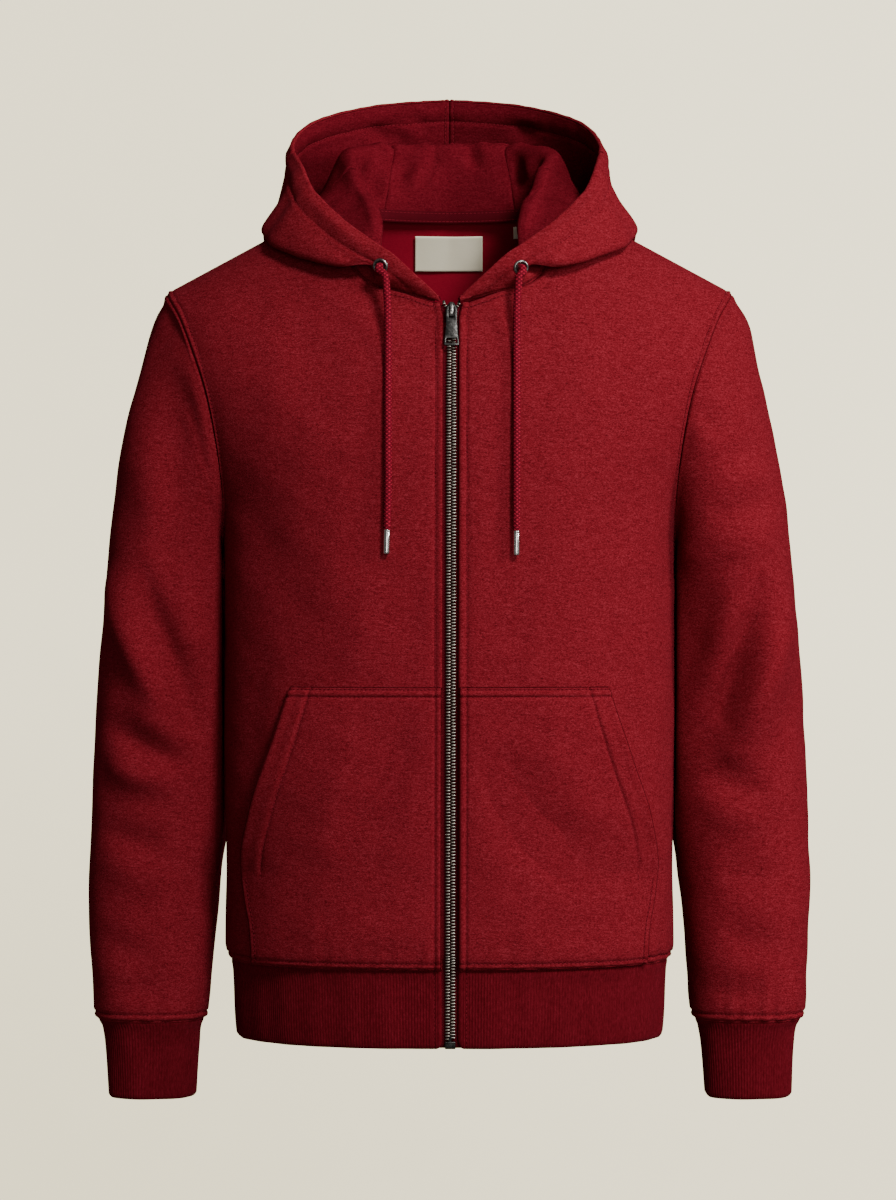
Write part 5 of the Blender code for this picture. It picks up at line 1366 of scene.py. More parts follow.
RIB_PITCH = 2.35
for s in (1, -1):
    table = [column(CUFF, 0, k) for k in range(5)]
    per = 5
    z_mid = -720.0
    loop = sleeve_ring(z_mid, np.linspace(0, 2 * math.pi, 400, endpoint=False), s, table=table)[0]
    seg = np.linalg.norm(np.roll(loop, -1, axis=0) - loop, axis=1)
    girth = seg.sum()
    ribs = int(round(girth / RIB_PITCH))
    cum = np.concatenate([[0], np.cumsum(seg)])
    tt = np.linspace(0, 2 * math.pi, 401)
    t = np.interp(np.linspace(0, girth, ribs * per, endpoint=False), cum, tt)
    top, bottom = CUFF[0][0], CUFF[-1][0]
    zs = np.array([top, top - 0.6, top - 1.6, top - 3.0, top - 5.2, top - 8.0, top - 12.0, top - 17.0, top - 24.0, top - 32.0,
                   top - 40.0, top - 48.0, top - 55.0, bottom + 5.0, bottom + 2.6, bottom + 1.2, bottom + 0.4, bottom])
    P = sleeve_ring(zs, t, s, table=table)
    N = grid_normals(P, closed=True)
    centre = P.mean(axis=1, keepdims=True)
    if np.mean(((P - centre) * N).sum(-1)) < 0:
        N = -N
    arc = np.linspace(0, ribs * RIB_PITCH, ribs * per, endpoint=False)[None, :]
    z = zs[:, None]
    d = 0.66 * rib_wave(arc, RIB_PITCH, 3) * smooth(top - z, 0.0, 2.0) * (1 - 0.75 * smooth(bottom + 3.0 - z, 0, 3.0))
    d = d - 0.8 * bell(top - z, 1.5) - 1.5 * smooth(bottom + 3.2 - z, 0, 3.2) ** 2
    slow = 0.8 * np.sin(2 * math.pi * arc / girth * 3 + s) * smooth(top - z, 0, 20) + 0.5 * np.sin(2 * math.pi * arc / girth * 7 + 2 * s + z / 30.0)
    d = d + slow * smooth(top - z, 2, 18)
    outer = pulled(P + N * d[..., None], amount=0.2, closed=True)
    inner = outer - N * CLOTH
    inner[-1] = outer[-1] - N[-1] * (CLOTH - 1.5)
    inner[-2] = outer[-2] - N[-2] * (CLOTH - 0.6)
    obj = shell("cuff_%s_rib" % NAMES[s], outer, inner, "rib", closed=True, thin_inner=1, rim=0.25)
    fix_out(obj)
    finish_piece(obj, "cuff_" + NAMES[s])
    declare(obj, 0.225, 0.068)

for k, line in enumerate(seam_rolls):
    finish_piece(tube("seam_roll_%d" % k, line, np.full(len(line), 1.05), "fleece", around=10))
# the hem: one band of rib from the zip round the body and back to the zip
zs = np.array([-633.8, -634.5, -635.6, -637.2, -639.4, -642.0, -646.0, -652.0, -660.0, -668.0, -676.0, -684.0, -690.0,
               -693.4, -695.2, -696.3, -696.9, -697.0])
a_mid, bf, bb = float(half_width(-665.0)), float(front_depth(-665.0)), float(back_depth(-665.0))
turn = np.linspace(0, 2 * math.pi, 6001)
cx, sy = np.cos(turn), np.sin(turn)
loop = np.stack([a_mid * np.copysign(np.abs(cx) ** (2 / FORM_N), cx),
                 np.where(sy < 0, bf, bb) * np.copysign(np.abs(sy) ** (2 / FORM_N), sy)], axis=1)
cum = np.concatenate([[0], np.cumsum(np.linalg.norm(np.diff(loop, axis=0), axis=1))])
# the front's middle is at 270 degrees; start and end beside the zip, half its opening away
front_at = float(np.interp(1.5 * math.pi, turn, cum))
start = front_at + PLACKET + float(zip_x(-665.0)) + 0.3
span = cum[-1] - 2 * (PLACKET + 0.3)
wales = int(round(span / RIB_PITCH))
per = 4
arc = np.linspace(0, span, wales * per + 1)
edge_marks = np.array([0.0, 0.35, 0.8, 1.5, 2.4, 3.6])
arc = np.unique(np.concatenate([arc, edge_marks, span - edge_marks]).round(3))
at = np.interp((start + arc) % cum[-1], cum, turn)
cx, sy = np.cos(at), np.sin(at)
a_z = half_width(zs)[:, None]
b_z = np.where(sy[None, :] < 0, front_depth(zs)[:, None], back_depth(zs)[:, None])
P = np.stack(np.broadcast_arrays(a_z * np.copysign(np.abs(cx) ** (2 / FORM_N), cx)[None, :],
                                 b_z * np.copysign(np.abs(sy) ** (2 / FORM_N), sy)[None, :], zs[:, None]), axis=-1).copy()
N = grid_normals(P)
N[..., 2] = 0
N = unit(N)
if np.mean((P[..., :2] * N[..., :2]).sum(-1)) < 0:
    N = -N
near_zip = np.minimum(arc, span - arc)[None, :]
lift_corner = 5.5 * (1 - np.sqrt(np.maximum(0.0, 1 - (1 - np.minimum(1.0, near_zip / 5.5)) ** 2)))
P[..., 2] += lift_corner * smooth(-P[..., 2], 676.0, 697.0)
top_in, low_in = -633.8 - zs[:, None], zs[:, None] + 697.0
d = 0.66 * rib_wave(arc[None, :], RIB_PITCH, 9) * smooth(top_in, 0.0, 2.0) * (1 - 0.8 * smooth(3.0 - low_in, 0, 3.0)) * smooth(near_zip, 1.0, 5.0)
d = d - 0.9 * bell(top_in, 1.7) - 1.4 * smooth(3.4 - low_in, 0, 3.4) ** 2 - 0.9 * bell(near_zip, 1.0)
d = d + (0.7 * np.sin(2 * math.pi * arc / 173.0 + 1.0) + 0.45 * np.sin(2 * math.pi * arc / 67.0)
         + 0.35 * np.sin(2 * math.pi * arc / 29.0 + 2.0))[None, :] * smooth(top_in, 2, 14) * smooth(near_zip, 2, 22)
d = d + 0.5 * smooth(8.0 - near_zip, 0, 6) - 0.55 * bell(near_zip - 6.2, 1.0)
outer = pulled(P + N * d[..., None], amount=0.2)
inner = outer - N * CLOTH
inner[-1] = outer[-1] - N[-1] * 0.55
inner[-2] = outer[-2] - N[-2] * 0.95
inner[-3] = outer[-3] - N[-3] * 1.5
obj = shell("hem_rib_band", outer, inner, "rib", rim=0.22)
fix_out(obj)
finish_piece(obj, "hem_rib")
declare(obj, 0.985, 0.070)
hem_edges = [(outer[:, np.searchsorted(arc, 6.2)][:-3], N[:, np.searchsorted(arc, 6.2)][:-3]),
             (outer[:, np.searchsorted(arc, span - 6.2)][:-3], N[:, np.searchsorted(arc, span - 6.2)][:-3])]
stitch_lines.extend(hem_edges)


# ---------------------------------------------------------------- the pockets
def stand_off(x, z, edge):
    """How far the pocket's inner face stands off the front: most at the hand opening."""
    down = np.clip((POCKET_TOP_Z - z) / (POCKET_TOP_Z - POCKET_OPEN_LOW_Z), 0, 1)
    near = np.maximum(0.0, 1 - (edge - x) / 75.0)
    return POCKET_LIE + POCKET_BULGE * np.sin(math.pi * down) ** 0.8 * near * near * (3 - 2 * near)


def spread(lo, hi, first, last, step):
    """Positions between two edges, per row: fixed distances near each, even ones between."""
    lo, hi = np.asarray(lo, float)[:, None], np.asarray(hi, float)[:, None]
    first, last = np.asarray(first, float), np.asarray(last, float)
    count = max(3, int(round(float((hi - lo).max() - first[-1] - last[-1]) / step)))
    tight = np.minimum(1.0, 0.9 * (hi - lo) / (first[-1] + last[-1]))
    a, b = lo + first[None, :] * tight, hi - last[None, ::-1] * tight
    f = np.arange(1, count)[None, :] / count
    return np.concatenate([a, a[:, -1:] + (b[:, :1] - a[:, -1:]) * f, b], axis=1)


bar_tacks = []
POCKET_TOPS = (0.0, 0.5, 1.2, 1.9, 2.6, 3.6, 5.0, 6.4, 7.4, 8.2, 9.0, 10.0, 11.6)
POCKET_LOWS = (0.0, 0.6, 1.4, 2.6, 3.7, 4.5, 5.3, 6.4, 8.0)
POCKET_ZIP = (0.0, 0.5, 1.2, 2.4, 3.8, 4.5, 5.2, 5.9, 6.8, 8.2)
POCKET_HAND = (0.0, 0.4, 1.0, 2.0, 3.4, 5.4, 8.0, 11.0, 13.4, 14.6, 15.4, 16.1, 16.9, 18.0, 20.0)
for s in (1, -1):
    zs = spread([-632.0], [POCKET_TOP_Z], POCKET_LOWS, POCKET_TOPS, STEP)[0]
    edge = pocket_edge(zs)
    start = np.abs(zip_x(zs) + s * PLACKET) + 1.0
    X = spread(start, edge, POCKET_ZIP, POCKET_HAND, STEP)
    Z = zs[:, None] * np.ones_like(X)
    base = on_front(s * X, Z, stand_off(X, Z, edge[:, None]))
    N = front_normal(s * X, Z)
    D = {"left": X - start[:, None], "right": edge[:, None] - X, "low": Z + 632.0, "high": POCKET_TOP_Z - Z}
    d = body_relief(base, N, D, False) * 1.15
    open_part = smooth(zs, -566, -552)[:, None]
    d = d + seam_relief(D["low"], 0.75, 0.4, 4.5) + gathers(base, D["low"], 22.0, 0.5, 15.0, 131 + s)
    d = d - 0.9 * bell(D["high"], 0.9) - 0.9 * bell(D["high"] - 2.2, 0.8) - 1.15 * bell(D["high"] - 8.2, 0.9) + 0.9 * bell(D["high"] - 5.2, 1.9)
    d = d + 0.35 * smooth(7.0 - D["left"], 0, 6.0) - 1.15 * bell(D["left"] - 5.2, 0.9) - 0.9 * bell(D["left"], 0.9)
    d = d + 0.25 * np.sin(Z / 2.9 + 1.3 * np.sin(Z / 11.0)) * bell(D["left"] - 5.2, 3.0)
    hem_in = -1.25 * bell(D["right"] - 16.1, 1.0) + 0.75 * bell(D["right"] - 13.0, 2.6) + 0.35 * smooth(15.0 - D["right"], 0, 5) \
        + 1.3 * bell(D["right"] - 2.4, 2.6)
    d = d + open_part * hem_in - 0.9 * bell(D["right"], 0.7)
    d = d + (1 - open_part) * (-0.95 * bell(D["right"] - 4.0, 0.9) + 0.65 * bell(D["right"] - 2.0, 1.4))
    d = d + open_part * 0.5 * np.sin(Z / 9.0 + s) * bell(D["right"] - 6.0, 9.0)
    # the opening hangs a little slack below its top corner
    gape = (np.sin(np.pi * np.clip((POCKET_TOP_Z - Z) / 140.0, 0, 1)) ** 1.5) * bell(D["right"], 22.0)
    d = d + 1.2 * gape * (1.0 if s > 0 else 1.6)
    outer = base + N * (CLOTH + d)[..., None]
    inner = base + N * np.maximum(0.0, d - 0.4)[..., None] * 0.8
    name = "pocket_%s_cloth" % NAMES[s]
    obj = shell(name, outer if s > 0 else outer[:, ::-1], inner if s > 0 else inner[:, ::-1], "fleece", rim=0.45)
    fix_out(obj)
    finish_piece(obj, "pocket_" + NAMES[s])
    declare(obj, 0.170, 0.245)
    stitch_lines.append(offset_line(outer, N, D, "left", 5.2, 3, -2))
    stitch_lines.append(offset_line(outer, N, D, "low", 4.5, 3, -3))
    stitch_lines.append(offset_line(outer, N, D, "high", 2.2, 4, -2))
    stitch_lines.append(offset_line(outer, N, D, "high", 8.2, 4, -2))
    edge_lines.append(offset_line(outer, N, D, "high", 0.5, 2, -1))
    edge_lines.append(offset_line(outer, N, D, "left", 0.6, 1, -1))
    edge_lines.append(offset_line(outer, N, D, "right", 0.5, 1, -1))
    hand = [i for i in range(len(zs)) if -566 < zs[i] < POCKET_TOP_Z - 9]
    stitch_lines.append(offset_line(outer, N, D, "right", 16.1, hand[0], hand[-1]))
    sewn = [i for i in range(len(zs)) if zs[i] < -556]
    stitch_lines.append(offset_line(outer, N, D, "right", 4.0, 3, sewn[-1]))
    # a bar tack at the top corner of the opening
    bar, bar_n = offset_line(outer, N, D, "high", 8.2, -16, -3)
    for off in (-0.5, 0.0, 0.5):
        bar_tacks.append((bar + np.array([0, 0, off]), bar_n))


# ------------------------------------------------------------------- the hood
def shell_cut(name, outer, inner, mask, kind, rim=0.35):
    """A closed shell of the quads of a grid that the mask keeps, with a rounded rim all round."""
    rows, cols = outer.shape[:2]
    ids = np.arange(rows * cols).reshape(rows, cols)
    q = np.stack([ids[:-1, :-1], ids[1:, :-1], ids[1:, 1:], ids[:-1, 1:]], axis=-1)[mask]
    edges = np.stack([q, np.roll(q, -1, axis=1)], axis=-1).reshape(-1, 2)
    key = np.sort(edges, axis=1)
    uniq, inv, count = np.unique(key, axis=0, return_inverse=True, return_counts=True)
    inv = inv.reshape(-1)
    rim_edges = edges[count[inv] == 1]
    far = rows * cols
    flat = outer.reshape(-1, 3)
    deep = inner.reshape(-1, 3)
    centre = np.zeros((far, 3))
    hits = np.zeros(far)
    mid = flat[q].mean(axis=1)
    for k in range(4):
        np.add.at(centre, q[:, k], mid)
        np.add.at(hits, q[:, k], 1)
    on_rim = np.unique(rim_edges)
    toward = unit(flat[on_rim] - centre[on_rim] / hits[on_rim][:, None])
    rim_id = {int(v): 2 * far + k for k, v in enumerate(on_rim)}
    rim_pts = (flat[on_rim] + deep[on_rim]) / 2 + toward * rim
    a, b = rim_edges[:, 0], rim_edges[:, 1]
    ma = np.array([rim_id[int(v)] for v in a])
    mb = np.array([rim_id[int(v)] for v in b])
    faces = [q, (q + far)[:, ::-1], np.stack([b, a, ma, mb], axis=-1), np.stack([mb, ma, a + far, b + far], axis=-1)]
    used = np.unique(np.concatenate([f.reshape(-1) for f in faces]))
    remap = np.full(2 * far + len(on_rim), -1)
    remap[used] = np.arange(len(used))
    points = np.concatenate([flat, deep, rim_pts])[used]
    obj = new_mesh(name, points, [remap[f] for f in faces], kind)
    fix_out(obj)
    if len(q) > 2000:
        near_rim = np.zeros(far, bool)
        near_rim[q[np.isin(q, on_rim).any(axis=1)]] = True
        inside = np.unique(q)
        fewer_behind(obj, remap[inside[~near_rim[inside]] + far])
    return obj


NECK_MARKS = (0.0, 0.6, 1.4, 2.6, 4.2, 5.0, 5.8, 7.4)
CREST_MARKS = (0.0, 0.7, 1.6, 2.8, 4.4)
LIP_MARKS = (0.0, 1.0, 2.4, 4.4, 7.0, 10.0, 13.0, 14.8, 16.0, 17.0, 18.0, 19.2, 21.0)
CHANNEL = 17.0
BEAD = np.radians([28, 62, 90, 118, 152])


def hood_grid(side):
    """Sections by lines, with columns at fixed distances from the neck, the crest and the lip."""
    def lip_line(q):
        return hood_sheet(side, q, [7.0])[:, 0]

    back_marks = (0.6, 1.4, 2.4, 3.2, 4.0, 4.8, 5.8, 7.4)
    q = marked(lip_line, 0.0, 1.0, STEP, first=(0.6, 1.4, 2.6, 4.0), last=back_marks)
    near = GUSSET_FROM + np.array([-0.016, -0.009, -0.0045, 0.0, 0.0045, 0.009, 0.016])
    q = np.unique(np.concatenate([q[np.abs(q - GUSSET_FROM) > 0.019], near]))
    fine = np.linspace(0, 10, 401)
    lines = hood_sheet(side, q, fine)
    rows = []
    cols_a = cols_b = None
    arcs_of = [np.concatenate([[0], np.cumsum(np.linalg.norm(np.diff(line, axis=0), axis=1))]) for line in lines]
    crest = np.array([np.interp(NAPE_CREST, fine, a) for a in arcs_of])
    total = np.array([a[-1] for a in arcs_of])
    sa = spread(np.zeros(len(q)), crest, NECK_MARKS, CREST_MARKS, STEP)
    sb = spread(crest, total, CREST_MARKS, LIP_MARKS, STEP)[:, 1:]
    S = np.concatenate([sa, sb], axis=1)
    P = np.array([[np.interp(S[i], arcs_of[i], lines[i][:, c]) for c in range(3)] for i in range(len(q))]).swapaxes(1, 2)
    return q, P, S, total, sa.shape[1] - 1


HOOD_OUT = [
    # seen from outside, in front: the fall of the hood on each side
    (9, -1.8, 0.0, [(300, 196), (322, 226), (352, 258), (392, 282)]),
    (7, -1.4, 0.0, [(405, 262), (411, 268), (416, 276)]),
    (8, 1.2, 0.0, [(312, 178), (330, 208), (352, 236)]),
    (7, -1.6, 0.0, [(470, 288), (488, 284), (508, 278)]),
    (9, -1.6, 0.0, [(594, 208), (566, 244), (534, 272)]),
    (8, 1.3, 0.0, [(596, 190), (574, 222), (548, 250)]),
]
HOOD_IN = [
    # seen from inside, over the nape and beside the neck
    (9, 2.0, 0.2, [(346, 150), (358, 166), (364, 184)]),
    (7, -2.6, 0.2, [(362, 164), (371, 186), (375, 208)]),
    (5, -1.8, 0.0, [(430, 168), (424, 178), (422, 190)]),
    (6, -1.5, 0.0, [(366, 116), (376, 124), (390, 126)]),
    (6, 1.3, 0.0, [(398, 112), (410, 122), (414, 132)]),
    (6, -1.5, 0.0, [(514, 114), (526, 122), (540, 126)]),
    (8, 1.6, 0.0, [(520, 152), (536, 172), (546, 196)]),
    (6, -2.2, 0.0, [(426, 170), (436, 156), (441, 138)]),
    (6, -2.0, 0.0, [(480, 168), (472, 154), (468, 136)]),
    (7, 1.5, 0.0, [(398, 190), (416, 178), (432, 176)]),
    (9, -1.6, 0.0, [(400, 152), (404, 176), (396, 200)]),
    (9, -1.4, 0.0, [(516, 148), (514, 172), (520, 196)]),
    (8, 1.4, 0.0, [(536, 158), (530, 184), (520, 206)]),
]
# the seam between the hood and the body: its folded allowance fills the joint
for s in (1, -1):
    q = np.linspace(0.012, 0.988, 260)
    leave = neck_leave(q) * np.array([s, 1.0, 1.0])
    line = neck_point(q, s) + leave * 0.45
    out = torso_slope(line)
    out[np.abs(q - 0.5) < 0.05] = (s * 0.2, 0.0, 0.3)
    line = line - unit(out) * 1.0
    line = np.stack([np.convolve(np.pad(line[:, c], 6, mode="edge"), np.ones(13) / 13, mode="valid") for c in range(3)], axis=1)
    roll = tube("neck_seam_" + NAMES[s], line, np.full(len(line), 1.15), "fleece", around=14)
    finish_piece(roll)

lining_lines = []
hood_lines = []
gusset_side = {}
for s in (1, -1):
    q, P, S, total, crest_col = hood_grid(s)
    N = grid_normals(P)
    i = int(np.searchsorted(q, 0.215))
    j = P.shape[1] - 6
    if N[i, j, 1] > 0:
        N = -N
    N[-1, :, 0] = 0
    N = unit(N)
    D_neck, D_lip = S, total[:, None] - S
    lip_curve = np.concatenate([[0], np.cumsum(np.linalg.norm(np.diff(P[:, -12], axis=0), axis=1))])
    D_mid = np.abs(lip_curve[-1] - lip_curve)[:, None] * np.ones_like(S)
    cross = np.linalg.norm(np.diff(P, axis=0), axis=2)
    D_mid = np.concatenate([np.cumsum(cross[::-1], axis=0)[::-1], np.zeros((1, P.shape[1]))], axis=0)
    D_zip = np.concatenate([np.zeros((1, P.shape[1])), np.cumsum(cross, axis=0)], axis=0)
    folds = creases(P, N, image_rows(HOOD_OUT, -70.0), (0, -1, 0)) - 1.9 * creases(P, -N, image_rows(HOOD_IN, 60.0), (0, -1, 0))
    rear = [(12, -2.0, 0.2, [(s * 20, -40), (s * 52, -66), (s * 84, -70)]), (12, 1.6, 0.0, [(s * 16, -76), (s * 50, -96), (s * 80, -92)]),
            (13, -1.6, 0.0, [(s * 14, 10), (s * 40, -14), (s * 76, -24)]), (12, 1.3, 0.0, [(s * 18, 46), (s * 52, 30), (s * 90, 20)])]
    folds = folds + creases(P, N, rear, (0, 1, 0))
    folds = 1.3 * folds + 0.8 * soft_noise(P, 60.0, 91 + s) + 0.5 * soft_noise(P, 26.0, 95 + s)
    folds = folds * smooth(D_neck, 2.0, 20.0) * smooth(D_mid, 1.0, 14.0) * smooth(D_lip, 0.0, 10.0) * smooth(D_zip, 2.0, 26.0)
    # the crest over the nape is uneven, and it dips where the gusset's seams reach it
    from_crest = np.abs(S - S[:, crest_col:crest_col + 1])
    round_back = smooth(q, 0.60, 0.74)[:, None]
    run_q = np.cumsum(np.concatenate([np.zeros((1, P.shape[1])), cross]), axis=0)
    at_gusset = np.abs(run_q - run_q[int(np.argmin(np.abs(q - GUSSET_FROM)))][None])
    folds = folds + round_back * bell(from_crest, 11.0) * (1.1 * soft_noise(P, 17.0, 105 + s) + 0.8 * soft_noise(P, 32.0, 109 + s))
    folds = folds + bell(from_crest, 9.0) * (1.7 * bell(at_gusset, 4.0) - 0.9 * bell(at_gusset - 9.0, 4.5))
    base = P + N * folds[..., None]
    wide = smooth(total[:, None], 30, 60)
    plump = 2.3 * bell(D_lip - 8.2, 6.2) * wide
    channel = -0.95 * bell(D_lip - CHANNEL, 1.2) + plump + 0.45 * bell(D_lip - CHANNEL - 3.4, 2.2) * wide
    along_lip = np.concatenate([[0], np.cumsum(np.linalg.norm(np.diff(P[:, -1], axis=0), axis=1))])[:, None]
    wrinkle = (0.28 * np.sin(along_lip / 2.6 + 1.1 * np.sin(along_lip / 9.0)) + 0.25 * np.sin(along_lip / 5.3 + 2.0)) \
        * (bell(D_lip - CHANNEL, 4.0) + 0.5 * bell(D_lip - 8.0, 6.0)) * smooth(total[:, None], 30, 60)
    middle = -0.9 * bell(D_mid, 1.2) + 0.35 * bell(D_mid - 2.4, 1.3) - 0.5 * bell(D_mid - 4.0, 0.8)
    sew_mid = smooth(D_mid, -1, 0) * middle
    outer_d = channel + wrinkle + sew_mid + seam_relief(D_neck, 0.4, 0.9, None)
    top = base + N * (1.75 + outer_d)[..., None]
    clear_of = off_torso(top, 1.3)
    top = np.where((D_neck > 14.0)[..., None], clear_of, top)
    under = base + N * 0.12
    # the lip: the outer cloth turns over the edge
    lip, away = base[:, -1], unit(base[:, -1] - base[:, -2])
    ridge = 1.75 + outer_d[:, -1] + 0.18 * np.sin(along_lip[:, 0] / 3.4 + np.sin(along_lip[:, 0] / 8.0)) * smooth(total, 30, 60)
    roll, roll_in = [], []
    for b in BEAD:
        way = N[:, -1] * math.cos(b) + away * math.sin(b)
        roll.append(lip + way * ridge[:, None])
        roll_in.append(lip + way * 0.5)
    top = np.concatenate([top, np.stack(roll, axis=1)], axis=1)
    under = np.concatenate([under, np.stack(roll_in, axis=1)], axis=1)
    if s > 0:
        top[-1, :, 0], under[-1, :, 0] = 0.14, 0.14
    else:
        top[-1, :, 0], under[-1, :, 0] = -0.14, -0.14
    name = "hood_%s_cloth" % NAMES[s]
    obj = shell_cut(name, top, under, np.ones((len(q) - 1, top.shape[1] - 1), bool), "fleece_hood", rim=0.2)
    finish_piece(obj, "hood_outer_" + NAMES[s])
    declare(obj, 0.300, 0.440)
    # the lining, with a place left out for the gusset
    inner_d = -(channel * 0.85 + wrinkle + sew_mid)
    edge_q = np.where(q[:, None] >= GUSSET_FROM - 1e-9, 1.0, 0.0)
    crest_d = np.abs(S - S[:, crest_col:crest_col + 1])
    gus_side = np.abs(np.cumsum(np.concatenate([np.zeros((1, P.shape[1])), cross]), axis=0)
                      - np.cumsum(np.concatenate([np.zeros((1, P.shape[1])), cross]), axis=0)[int(np.argmin(np.abs(q - GUSSET_FROM)))][None])
    stand = (S <= S[:, crest_col:crest_col + 1] + 1e-6)
    gus = 0.8 * bell(gus_side, 1.1) * stand - 0.35 * bell(gus_side - 2.8, 1.5) * stand
    gus = gus + (0.8 * bell(crest_d, 1.1) - 0.35 * bell(crest_d - 2.8, 1.5)) * edge_q
    inner_d = inner_d + gus
    face = base - N * (1.75 - inner_d)[..., None]
    hid = base - N * 0.12
    if s > 0:
        face[-1, :, 0] = 0.14
        hid[-1, :, 0] = 0.14
    else:
        face[-1, :, 0] = -0.14
        hid[-1, :, 0] = -0.14
    mask = ~((q[:-1, None] >= GUSSET_FROM - 1e-9) & (np.arange(P.shape[1] - 1)[None, :] < crest_col))
    # the lining's darker colour is painted shade
    obj = shell_cut("hood_lining_%s_cloth" % NAMES[s], face, hid, mask, "inside_hood", rim=0.2)
    finish_piece(obj, "hood_lining_" + NAMES[s])
    declare(obj, 0.300, 0.440)
    g0 = int(np.argmin(np.abs(q - GUSSET_FROM)))
    gusset_side[s] = (face[g0:, :crest_col + 1].copy(), hid[g0:, :crest_col + 1].copy())
    far_enough = [k for k in range(len(q)) if total[k] > 42.0 and D_mid[k, -1] > 3.0]
    DD = {"right": D_lip, "low": D_zip, "high": D_mid}
    hood_lines.append(offset_line(top[:, :P.shape[1]], N, DD, "right", CHANNEL, far_enough[0], far_enough[-1]))
    lining_lines.append(offset_line(face, -N, DD, "right", CHANNEL, far_enough[0], far_enough[-1]))
    hood_lines.append(offset_line(top[:, :P.shape[1]], N, DD, "high", 4.0, 3, -2))
    lining_lines.append(offset_line(face, -N, DD, "high", 4.0, crest_col + 2, -2))

faceL, hidL = gusset_side[1]
faceR, hidR = gusset_side[-1]
count = min(len(faceL), len(faceR))


def same_rows(a, n):
    t = np.linspace(0, len(a) - 1, n)
    i = np.clip(t.astype(int), 0, len(a) - 2)
    f = (t - i)[:, None, None]
    return a[i] * (1 - f) + a[i + 1] * f


rows_each = 26
fL, fR = same_rows(faceL, rows_each), same_rows(faceR, rows_each)
hL, hR = same_rows(hidL, rows_each), same_rows(hidR, rows_each)
mid_f, mid_h = (fL[-1] + fR[-1]) / 2, (hL[-1] + hR[-1]) / 2
face = np.concatenate([fL[:-1], mid_f[None], fR[-2::-1]])
hid = np.concatenate([hL[:-1], mid_h[None], hR[-2::-1]])
# no seam runs down the middle of the gusset: the two halves are run together
reach = 9
lo, hi = rows_each - 1 - reach, rows_each - 1 + reach
for arr in (face, hid):
    for _ in range(60):
        arr[lo:hi + 1] = 0.25 * arr[lo - 1:hi] + 0.5 * arr[lo:hi + 1] + 0.25 * arr[lo + 1:hi + 2]
face = pulled(face, amount=0.2)
hid = pulled(hid, amount=0.2)
# the gusset takes the lining's darker colour, painted shade
obj = shell_cut("hood_gusset_cloth", face, hid, np.ones((face.shape[0] - 1, face.shape[1] - 1), bool), "inside_hood", rim=0.2)
finish_piece(obj, "hood_gusset")
declare(obj, 0.115, 0.085)

# ------------------------------------------------------ tape and labels inside
def back_inner(x, z, lift):
    n = front_normal(x, z, True)
    return torso_point(x, z, True) - n * (CLOTH + np.asarray(lift, float))[..., None], -n


q = np.linspace(0.695, 1.305, 90)
mid = np.concatenate([neck_point(np.minimum(q, 2 - q)[q <= 1], 1.0), neck_point((2 - q)[q > 1], -1.0)])
inward = unit(np.stack([-mid[:, 0] * 0.35, np.full(len(q), -70.0), np.zeros(len(q))], axis=1))
centre = mid + inward * 3.6 + np.array([0, 0, -1.0])
w = np.concatenate([[-5.0, -4.6, -4.0, -3.4], np.linspace(-2.4, 2.4, 5), [3.4, 4.0, 4.6, 5.0]])
s_along = np.concatenate([[0], np.cumsum(np.linalg.norm(np.diff(centre, axis=0), axis=1))])
face = centre[:, None] + np.array([0, 0, 1.0]) * w[None, :, None] + inward[:, None] * (
    1.0 - 0.55 * smooth(np.abs(w), 4.0, 5.0)[None, :] - 0.28 * bell(np.abs(w) - 3.4, 0.5)[None, :]
    + 0.12 * np.sin(s_along / 3.0)[:, None] + 0.3 * bell(w, 3.0)[None, :])[..., None]
hid = centre[:, None] + np.array([0, 0, 1.0]) * w[None, :, None] + inward[:, None] * 0.1
obj = shell_cut("neck_tape_twill", face, hid, np.ones((len(q) - 1, len(w) - 1), bool), "tape", rim=0.15)
finish_piece(obj, "neck_tape")
declare(obj, 0.0105, round(float(s_along[-1]) / 1000 + 0.004, 3))
for k in (3, 9):
    stitch_lines.append((face[:, k][2:-2], inward[2:-2]))


